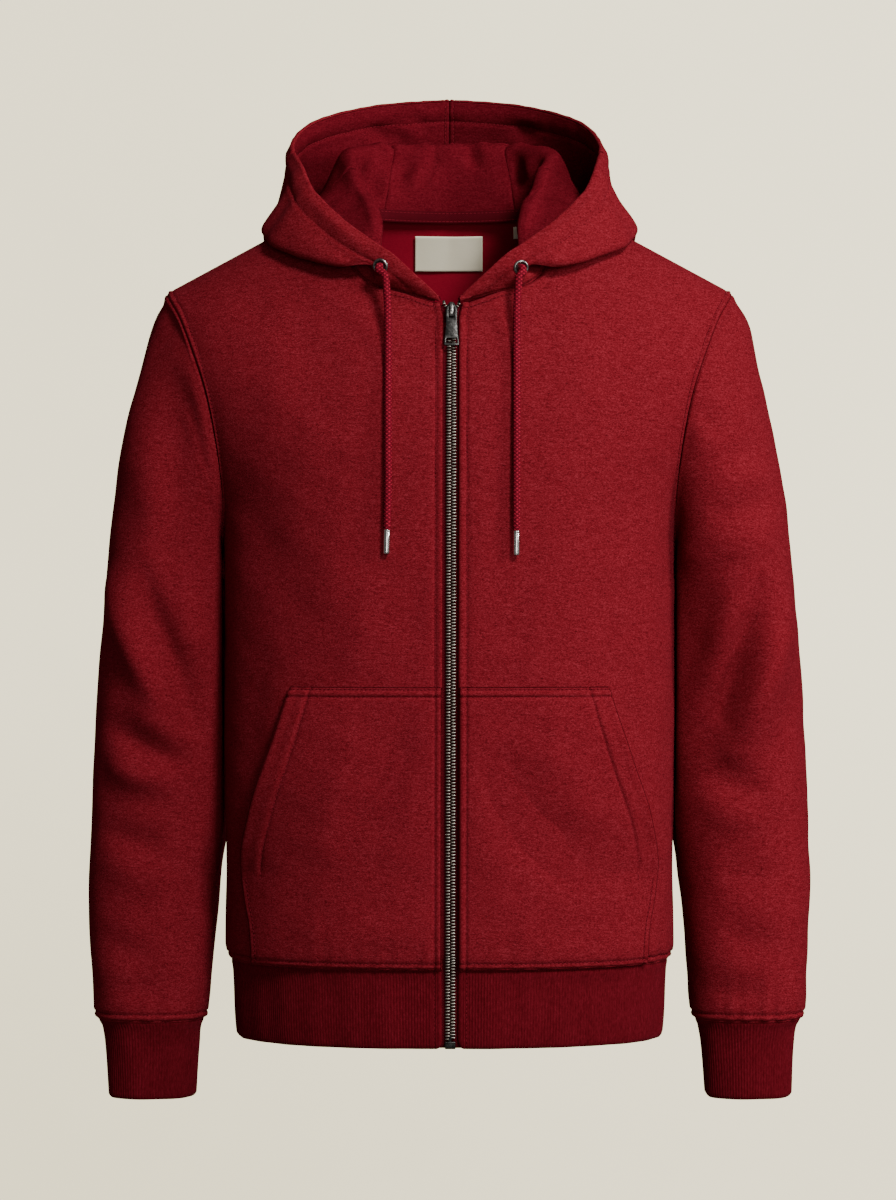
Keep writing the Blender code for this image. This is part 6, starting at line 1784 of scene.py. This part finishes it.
def flat_label(name, x0, x1, z0, z1, lift, node, sag, ends):
    """A woven label on the back's inner face, held by its ends, with turned edges."""
    xs = np.concatenate([[x0, x0 + 0.5, x0 + 1.1], np.linspace(x0 + 2.4, x1 - 2.4, 18), [x1 - 1.1, x1 - 0.5, x1]])
    zs = np.concatenate([[z0, z0 + 0.4, z0 + 0.9], np.linspace(z0 + 2, z1 - 2, 12), [z1 - 0.9, z1 - 0.4, z1]])
    X, Z = np.meshgrid(xs, zs)
    u, v = (X - x0) / (x1 - x0), (Z - z0) / (z1 - z0)
    belly = sag * np.sin(np.pi * u) ** 0.8 * (0.6 + 0.4 * np.sin(np.pi * v))
    wave = 0.35 * np.sin(2 * math.pi * (u * 1.2 + 0.35 * v) + 0.6) * np.sin(np.pi * u)
    edge = np.minimum(np.minimum(X - x0, x1 - X), np.minimum(Z - z0, z1 - Z))
    hem = 0.25 * smooth(2.2 - np.minimum(X - x0, x1 - X), 0, 1.6)
    rise = lift + 0.75 + belly + wave * 0.5 + hem - 0.35 * smooth(0.8 - edge, 0, 0.8)
    sewn = np.minimum(X - x0, x1 - X)
    rise = rise - 0.25 * bell(sewn - 1.6, 0.5)
    face, n = back_inner(X, Z, rise)
    hid, _ = back_inner(X, Z, rise - 0.65)
    obj = shell_cut(name, face, hid, np.ones((len(zs) - 1, len(xs) - 1), bool), "satin", rim=0.12)
    finish_piece(obj, node)
    declare(obj, (x1 - x0 + 1.2) / 1000, (z1 - z0 + 1.2) / 1000)
    if ends:
        for k in (1.6,):
            for edge_x in (x0 + k, x1 - k):
                zz = np.linspace(z0 + 0.8, z1 - 0.8, 24)
                xx = np.full_like(zz, edge_x)
                uu = (xx - x0) / (x1 - x0)
                pts, nn = back_inner(xx, zz, lift + 0.75 + sag * np.sin(np.pi * uu) ** 0.8 * 0.7)
                label_lines.append((pts, nn))
    return obj


label_lines = []
flat_label("neck_label_satin", -29.5, 28.5, -55.5, -27.0, 1.7, "neck_label", 0.9, True)
flat_label("size_tab_satin", 55.0, 64.0, -29.0, -19.5, 1.9, "size_tab", 0.3, False)


# --------------------------------------------------------------------- the zip
def zip_frame(z):
    x = zip_x(z)
    p = torso_point(x, z, False)
    n = front_normal(x, z)
    n = n * np.array([0.0, 1.0, 1.0])
    n = unit(n)
    t = np.stack([np.zeros_like(n[..., 0]), -n[..., 2], n[..., 1]], axis=-1)
    return p, n, t


def framed(frame, x, along, away):
    p, n, t = frame
    x, along, away = (np.asarray(v, float)[..., None] for v in (x, along, away))
    return p + x * np.array([1.0, 0.0, 0.0]) + t * along + n * away


zip_z = np.linspace(-696.5, -99.0, 300)
zp, zn, zt = zip_frame(zip_z)
for s in (1, -1):
    # across: the corded edge beside the teeth, the flat woven tape, the sewn edge
    xs = np.array([0.55, 0.8, 1.2, 1.8, 2.5, 3.0, 3.4, 4.4, 5.6, 7.0, 9.0, 12.0, 15.6, 16.1])
    up = np.array([-3.6, -3.3, -3.1, -3.0, -3.05, -3.2, -3.35, -3.35, -3.35, -3.4, -3.4, -3.4, -3.4, -3.55])
    rip = 0.10 * np.sin(zip_z / 1.4)[:, None] * bell(xs - 4.6, 2.0)[None, :]
    face = zp[:, None] + np.array([1.0, 0, 0]) * (s * xs)[None, :, None] + zn[:, None] * (up[None, :] + rip)[..., None]
    hid = zp[:, None] + np.array([1.0, 0, 0]) * (s * xs)[None, :, None] + zn[:, None] * -4.3
    obj = shell_cut("zip_%s_tape" % NAMES[s], face, hid, np.ones((len(zip_z) - 1, len(xs) - 1), bool), "tape", rim=0.05)
    finish_piece(obj, "zip_tape_" + NAMES[s])
    declare(obj, 0.0163, 0.602)

# the teeth: small cast elements, each side half a pitch from the other
PITCH = 2.5
profile = np.array([(-1.0, 0.0), (-0.92, 0.55), (-0.55, 0.92), (0.0, 1.0), (0.55, 0.92), (0.92, 0.55), (1.0, 0.0),
                    (0.92, -0.55), (0.55, -0.92), (0.0, -1.0), (-0.55, -0.92), (-0.92, -0.55)])
along_zip = np.concatenate([[0], np.cumsum(np.linalg.norm(np.diff(zp, axis=0), axis=1))])
first = float(np.interp(-690.2, zip_z, along_zip))
last = float(np.interp(-115.6, zip_z, along_zip))
pts, quads, caps, base = [], [], [], 0
stations = [(0.12, 0.62, 0.78), (0.35, 0.92, 0.95), (0.9, 1.0, 1.0), (1.7, 0.98, 1.0), (2.35, 0.86, 0.94), (2.8, 0.66, 0.80), (2.92, 0.42, 0.60)]
for s in (1, -1):
    m = first + 1.2 + (PITCH / 2 if s > 0 else 0.0)
    while m < last - 0.8:
        z = float(np.interp(m, along_zip, zip_z))
        p, n, t = zip_frame(np.float64(z))
        broad = 1.42 - 0.22 * float(smooth(z, -180.0, -116.0))
        for x, hw, hh in stations:
            mid_up = -1.62
            for a, b in profile:
                pts.append(p + np.array([s * x * broad, 0, 0]) + t * (a * 0.84 * hw) + n * (mid_up + b * 1.12 * hh))
        k = len(profile)
        for j in range(len(stations) - 1):
            for c in range(k):
                c2 = (c + 1) % k
                quad = (base + j * k + c, base + j * k + c2, base + (j + 1) * k + c2, base + (j + 1) * k + c)
                quads.append(quad if s > 0 else quad[::-1])
        lo_cap = tuple(base + c for c in range(k))
        hi_cap = tuple(base + (len(stations) - 1) * k + c for c in range(k))
        caps.append(lo_cap[::-1] if s > 0 else lo_cap)
        caps.append(hi_cap if s > 0 else hi_cap[::-1])
        base += len(stations) * k
        m += PITCH
core_z = np.linspace(-696.0, -104.0, 160)
core_p, core_n, _ = zip_frame(core_z)
finish_piece(tube("zip_core", core_p - core_n * 3.9, np.full(len(core_z), 0.95), "tape", around=10))
# above the slider the rows part: three open elements on each side
top_frame = zip_frame(np.float64(TAB_HINGE_Z))
for s in (1, -1):
    for j in range(3):
        lean = math.radians(30)
        p = framed(top_frame, s * (3.4 + 1.25 * j), -0.6 - 2.15 * j, 0.0)
        across = np.array([1.0, 0, 0]) * s * math.cos(lean) + top_frame[2] * math.sin(lean)
        along_row = top_frame[2] * math.cos(lean) - np.array([1.0, 0, 0]) * s * math.sin(lean)
        for x, hw, hh in stations:
            for a, b in profile:
                pts.append(p + across * (x - 1.4) * 0.92 + along_row * (a * 0.84 * hw) + top_frame[1] * (-1.45 + b * 1.12 * hh))
        k = len(profile)
        for i in range(len(stations) - 1):
            for c in range(k):
                c2 = (c + 1) % k
                quad = (base + i * k + c, base + i * k + c2, base + (i + 1) * k + c2, base + (i + 1) * k + c)
                quads.append(quad if s > 0 else quad[::-1])
        lo_cap = tuple(base + c for c in range(k))
        hi_cap = tuple(base + (len(stations) - 1) * k + c for c in range(k))
        caps.append(lo_cap[::-1] if s > 0 else lo_cap)
        caps.append(hi_cap if s > 0 else hi_cap[::-1])
        base += len(stations) * k
obj = new_mesh("zip_teeth", np.array(pts), [np.array(quads), np.array(caps)], "teeth")
fix_out(obj)
finish_piece(obj, "zip_chain")


def plate(name, outline, holes, half, bevel, kind, place):
    """A flat metal plate with rounded edges, its outline and holes given across and down."""
    data = bpy.data.curves.new(name, "CURVE")
    data.dimensions = "2D"
    data.fill_mode = "BOTH"
    data.extrude = (half - bevel)
    data.bevel_depth = bevel
    data.bevel_resolution = 2
    data.offset = -bevel
    for loop in [outline] + holes:
        sp = data.splines.new("POLY")
        sp.points.add(len(loop) - 1)
        for p, (x, y) in zip(sp.points, loop):
            p.co = (x, y, 0.0, 1.0)
        sp.use_cyclic_u = True
    tmp = bpy.data.objects.new(name + "_outline", data)
    collection.objects.link(tmp)
    bpy.context.view_layer.update()
    got = tmp.evaluated_get(bpy.context.evaluated_depsgraph_get()).to_mesh()
    verts = np.array([v.co[:] for v in got.vertices])
    faces = [tuple(p.vertices) for p in got.polygons]
    tmp.to_mesh_clear()
    bpy.data.objects.remove(tmp)
    mesh = bpy.data.meshes.new(name)
    pts = place(verts)
    mesh.from_pydata((pts / 1000.0).tolist(), [], faces)
    mesh.validate()
    import bmesh
    bm = bmesh.new()
    bm.from_mesh(mesh)
    bmesh.ops.remove_doubles(bm, verts=bm.verts, dist=2e-6)
    bmesh.ops.recalc_face_normals(bm, faces=bm.faces)
    if bm.calc_volume(signed=True) < 0:
        bmesh.ops.reverse_faces(bm, faces=bm.faces)
    bm.to_mesh(mesh)
    bm.free()
    mesh.materials.append(materials[kind])
    obj = bpy.data.objects.new(name, mesh)
    collection.objects.link(obj)
    for poly in mesh.polygons:
        poly.use_smooth = True
    mesh.set_sharp_from_angle(angle=math.radians(40))
    return obj


def rounded(x, d0, d1, r, x1=None, steps=6):
    """A rounded outline, half width x at the top and x1 at the bottom."""
    x1 = x if x1 is None else x1
    out = []
    for cx, cy, start in ((x1 - r, d1 - r, 0), (-x1 + r, d1 - r, 90), (-x + r, d0 + r, 180), (x - r, d0 + r, 270)):
        for i in range(steps + 1):
            t = math.radians(start + 90 * i / steps)
            out.append((cx + r * math.cos(t), cy + r * math.sin(t)))
    return out


def in_frame(frame, away=0.0):
    """Places a plate's x, y, z as across, down and out."""
    return lambda v: framed(frame, v[:, 0], v[:, 1], v[:, 2] + away)


hinge = zip_frame(np.float64(TAB_HINGE_Z))
slider_plate = [(-1.7, -4.3), (1.7, -4.3), (2.3, -3.6), (4.5, 0.6), (4.75, 2.4), (4.7, 4.6), (4.3, 8.4), (3.9, 10.2), (3.1, 10.95),
                (-3.1, 10.95), (-3.9, 10.2), (-4.3, 8.4), (-4.7, 4.6), (-4.75, 2.4), (-4.5, 0.6), (-2.3, -3.6)]
body_plate = plate("slider_plate", slider_plate, [], 0.9, 0.38, "gunmetal", in_frame(hinge, 1.7))
under_plate = plate("slider_lower_plate", slider_plate, [], 0.7, 0.3, "gunmetal", in_frame(hinge, -3.9))
side_rails = []
for s in (1, -1):
    rail = [(s * 3.9, 2.2), (s * 4.7, 2.2), (s * 4.4, 9.8), (s * 3.7, 9.8)]
    rail = rail if s > 0 else rail[::-1]
    side_rails.append(plate("slider_rail_" + NAMES[s], rail, [], 0.9, 0.25, "gunmetal", in_frame(hinge, 0.4)))
arch_line = np.array([(-2.7, 2.0), (-2.7, 4.2), (-2.55, 5.6), (-1.9, 6.45), (-0.6, 6.85), (2.0, 6.95), (4.6, 6.85), (6.6, 6.3), (8.0, 5.4),
                      (8.6, 4.2), (8.6, 2.0)])
arch_fine = through(arch_line, np.linspace(0, len(arch_line) - 1, 46))
tang = unit(np.gradient(arch_fine, axis=0))
norm2 = np.stack([-tang[:, 1], tang[:, 0]], axis=1)
cross_section = [(math.copysign(abs(math.cos(a)) ** 0.55, math.cos(a)), math.copysign(abs(math.sin(a)) ** 0.55, math.sin(a)))
                 for a in np.linspace(0, 2 * math.pi, 20, endpoint=False)]
ring_pts = []
for k in range(len(arch_fine)):
    flare = 1.0 + 0.75 * smooth(3.4 - arch_fine[k, 1], 0, 1.4)
    for cxx, cyy in cross_section:
        d0, o0 = arch_fine[k] + norm2[k] * cyy * 0.62
        ring_pts.append(framed(hinge, cxx * 1.5 * flare, d0, o0))
rows = len(arch_fine)
ids = np.arange(rows * 20).reshape(rows, 20)
arch = new_mesh("slider_arch", np.array(ring_pts), [grid_faces(ids, True), np.array([ids[0]]), np.array([ids[-1][::-1]])], "bridge")
fix_out(arch)
for obj in [body_plate, under_plate, arch] + side_rails:
    finish_piece(obj, "zip_slider")

tab_frame = (framed(hinge, 0.0, 0.0, 4.1), hinge[1], hinge[2])
tab_side = [(2.5, -1.05), (2.95, -0.9), (3.25, -0.5), (4.0, 1.6), (4.45, 3.6), (4.5, 8.0), (4.45, 14.0), (4.6, 19.0), (5.0, 24.0), (5.55, 28.5),
            (5.85, 31.5), (5.9, 33.2), (5.7, 33.9), (5.0, 34.2)]
tab = plate("pull_tab_plate", tab_side + [(-x, d) for x, d in tab_side[::-1]],
            [rounded(2.25, 0.75, 10.2, 0.9), rounded(4.2, 28.0, 32.3, 0.6, x1=4.45)], 0.8, 0.26, "gunmetal", in_frame(tab_frame))
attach(tab, "pull_tab")
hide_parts("pull_tab")

low = zip_frame(np.float64(-693.7))
box = plate("zip_stop_box", rounded(4.3, -3.0, 3.0, 0.8), [], 1.6, 0.5, "gunmetal", in_frame(low, -0.7))
pin = plate("zip_stop_pin", rounded(1.1, -7.5, -2.6, 0.5), [], 1.3, 0.3, "gunmetal", in_frame(low, -1.5))
for obj in (box, pin):
    finish_piece(obj, "zip_stop")
tops = []
for s in (1, -1):
    top = zip_frame(np.float64(-97.6))
    tops.append(plate("zip_top_stop_" + NAMES[s], [(s * 6.2 + a, b) for a, b in rounded(1.1, -1.3, 1.3, 0.5)], [], 0.9, 0.3, "gunmetal",
                      in_frame(top, -1.9)))
for obj in tops:
    finish_piece(obj, "zip_chain")

# ---------------------------------------------------------------- the eyelets
for s in (1, -1):
    face, n = eyelet_at[s]
    face = face - n * 0.15
    a = unit(np.cross(n, np.array([0.0, 0.0, 1.0])))
    b = np.cross(n, a)
    prof = [(6.25, 0.25), (6.3, 0.55), (6.1, 0.95), (5.7, 1.35), (5.2, 1.55), (4.7, 1.50), (4.25, 1.15), (4.0, 0.6), (3.95, 0.1), (4.0, -0.9),
            (4.3, -1.0), (5.2, -0.6), (6.0, 0.0)]
    count = 56
    ang = np.linspace(0, 2 * math.pi, count, endpoint=False)
    pts = np.array([[face + a * math.cos(t) * r + b * math.sin(t) * r + n * h for t in ang] for r, h in prof])
    ids = np.arange(len(prof) * count).reshape(len(prof), count)
    loop_faces = [grid_faces(ids, True), grid_faces(ids[[-1, 0]], True)]
    ring = new_mesh("eyelet_%s_ring" % NAMES[s], pts, [np.concatenate(loop_faces)], "bridge")
    fix_out(ring)
    finish_piece(ring, "eyelet_" + NAMES[s])
    # a dark disc across the eyelet's hole, painted shade for the hollow behind it
    rr = [(4.2, -0.2), (3.2, -0.45), (2.0, -0.55), (1.0, -0.6)]
    pts = np.array([[face + a * math.cos(t) * r + b * math.sin(t) * r + n * (h + 0.55) for t in ang] for r, h in rr])
    back = pts - n * 0.5
    ids = np.arange(len(rr) * count).reshape(len(rr), count)
    far = ids.size
    faces = [grid_faces(ids, True), grid_faces(ids + far, True)[:, ::-1], grid_faces(np.stack([ids[0] + far, ids[0]]), True),
             grid_faces(np.stack([ids[-1], ids[-1] + far]), True)]
    disc = new_mesh("eyelet_%s_hole" % NAMES[s], np.concatenate([pts.reshape(-1, 3), back.reshape(-1, 3)]), [np.concatenate(faces)], "painted_hole_shade")
    fix_out(disc)
    finish_piece(disc, "eyelet_" + NAMES[s])

# --------------------------------------------------------------- the stitches
def clipped(lines, test):
    out = []
    for p, n in lines:
        keep = test(p)
        if keep.sum() > 2:
            i = np.where(keep)[0]
            out.append((p[i[0]:i[-1] + 1], n[i[0]:i[-1] + 1]))
    return out


groups = {"panels": stitch_lines, "hood": hood_lines + lining_lines}
for name, lines in groups.items():
    obj = thread("stitches_" + name, lines, "thread", length=2.5, gap=0.85, radius=0.27, lift=0.05)
    finish_piece(obj)
# dark strips along the stitch lines and beside the edges: painted shade in the grooves and painted shadow lines along
# the edges
for name, lines in {"panels": stitch_lines + edge_lines, "hood": hood_lines + lining_lines}.items():
    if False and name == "hood":
        continue
    finish_piece(shade_strip_mesh("groove_shadow_paint_" + name, lines, "painted_groove_shade"))
obj = thread("stitches_bar_tacks", bar_tacks, "thread", length=1.6, gap=0.1, radius=0.34, lift=0.12)
finish_piece(obj)
obj = thread("stitches_label", label_lines, "satin", length=1.5, gap=0.5, radius=0.16, lift=0.04)
finish_piece(obj)

# ----------------------------------------------------------- stage and lights
# the backdrop glows, seen by the camera alone: its emission is painted light, brighter towards the right and towards
# the top, with a faint uneven grain
plain = Nodes("backdrop")
grain = plain.noise((3, 3, 3), detail=2.0)
fine = plain.noise((900, 900, 900), detail=2.0)
place = plain.node("ShaderNodeSeparateXYZ", {"Vector": plain.coord}).outputs
across = plain.node("ShaderNodeMapRange", {"Value": place["X"], "From Min": -1.3, "From Max": 1.3}, interpolation_type="SMOOTHSTEP").outputs[0]
rise = plain.node("ShaderNodeMapRange", {"Value": place["Z"], "From Min": -1.9, "From Max": -0.2}, interpolation_type="SMOOTHSTEP").outputs[0]
tone = plain.math("MULTIPLY_ADD", across, 0.42, plain.math("MULTIPLY_ADD", rise, 0.40, plain.math("MULTIPLY_ADD", grain, 0.12, plain.math("MULTIPLY", fine, 0.06))))
paint = plain.ramp(tone, [(0.0, STAGE_PAINTED_SHADE), (1.0, STAGE_PAINTED_LIGHT)])
plain.put(color=(0.0, 0.0, 0.0, 1.0), rough=1.0, specular=0.0)
plain.t.links.new(paint, plain.shader.inputs["Emission Color"])
plain.shader.inputs["Emission Strength"].default_value = 2.48
# a floor that turns up into a round wall, so that it lies behind the garment from every side
turns = np.linspace(0, 2 * math.pi, 97)[:-1]
profile = [(0.0004, -1.9), (3.0, -1.9), (5.5, -1.9)]
for k in range(1, 17):
    t = math.pi / 2 * k / 16
    profile.append((5.5 + 1.8 * math.sin(t), -1.9 + 1.8 * (1 - math.cos(t))))
profile += [(7.3, 2.0), (7.3, 9.0)]
pts = np.array([[(r * 1000 * math.cos(a), r * 1000 * math.sin(a), z * 1000) for a in turns] for r, z in profile])
ids = np.arange(pts.shape[0] * pts.shape[1]).reshape(pts.shape[:2])
backdrop = new_mesh("backdrop", pts, [grid_faces(ids, True)], "backdrop")
if backdrop.data.polygons[0].normal.z < 0:
    backdrop.data.flip_normals()
for ray in ("diffuse", "glossy", "transmission", "volume_scatter", "shadow"):
    setattr(backdrop, "visible_" + ray, False)


def lamp(name, where, aim, size, watts, colour, size_y=None):
    data = bpy.data.lights.new(name, "AREA")
    data.shape = "RECTANGLE" if size_y else "SQUARE"
    data.size = size
    if size_y:
        data.size_y = size_y
    data.energy = watts
    data.color = colour
    obj = bpy.data.objects.new(name, data)
    obj.location = where
    from mathutils import Vector
    obj.rotation_euler = (Vector(aim) - Vector(where)).to_track_quat("-Z", "Y").to_euler()
    obj.visible_camera = False
    collection.objects.link(obj)
    return obj


lamp("key", (1.30, -2.60, 1.65), (0.0, 0.0, -0.28), 0.7, 123, (1.0, 0.975, 0.94))
lamp("side", (2.8, -1.2, 0.7), (0.05, 0.0, -0.34), 0.8, 62, (1.0, 0.975, 0.94))
lamp("fill", (0.5, -3.3, 0.0), (0.0, 0.0, -0.36), 1.2, 22, (1.0, 0.97, 0.94))
lamp("back", (0.5, 3.7, 1.0), (0.0, 0.0, -0.34), 1.2, 210, (1.0, 0.975, 0.94))
world = bpy.data.worlds.new("room")
world.use_nodes = True
bg = world.node_tree.nodes["Background"]
bg.inputs["Color"].default_value = (0.83, 0.80, 0.76, 1)
bg.inputs["Strength"].default_value = 0.17
bpy.context.scene.world = world

# the thinned shells become plain meshes
bpy.context.view_layer.update()
graph = bpy.context.evaluated_depsgraph_get()
for obj in [o for o in collection.objects if "fewer_behind" in o.modifiers]:
    thinned = bpy.data.meshes.new_from_object(obj.evaluated_get(graph))
    obj.modifiers.clear()
    obj.data = thinned

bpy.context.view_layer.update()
for o in bpy.context.scene.objects:
    if o.type == "MESH" and not o.hide_render and "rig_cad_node" not in o:
        n = sum(len(p.vertices) - 2 for p in o.data.polygons)
        if n > 150000:
            print("large", o.name, n)
for row in cuts:
    print("cut", row, "share", round(row[3] / (row[1] * row[2]), 3))
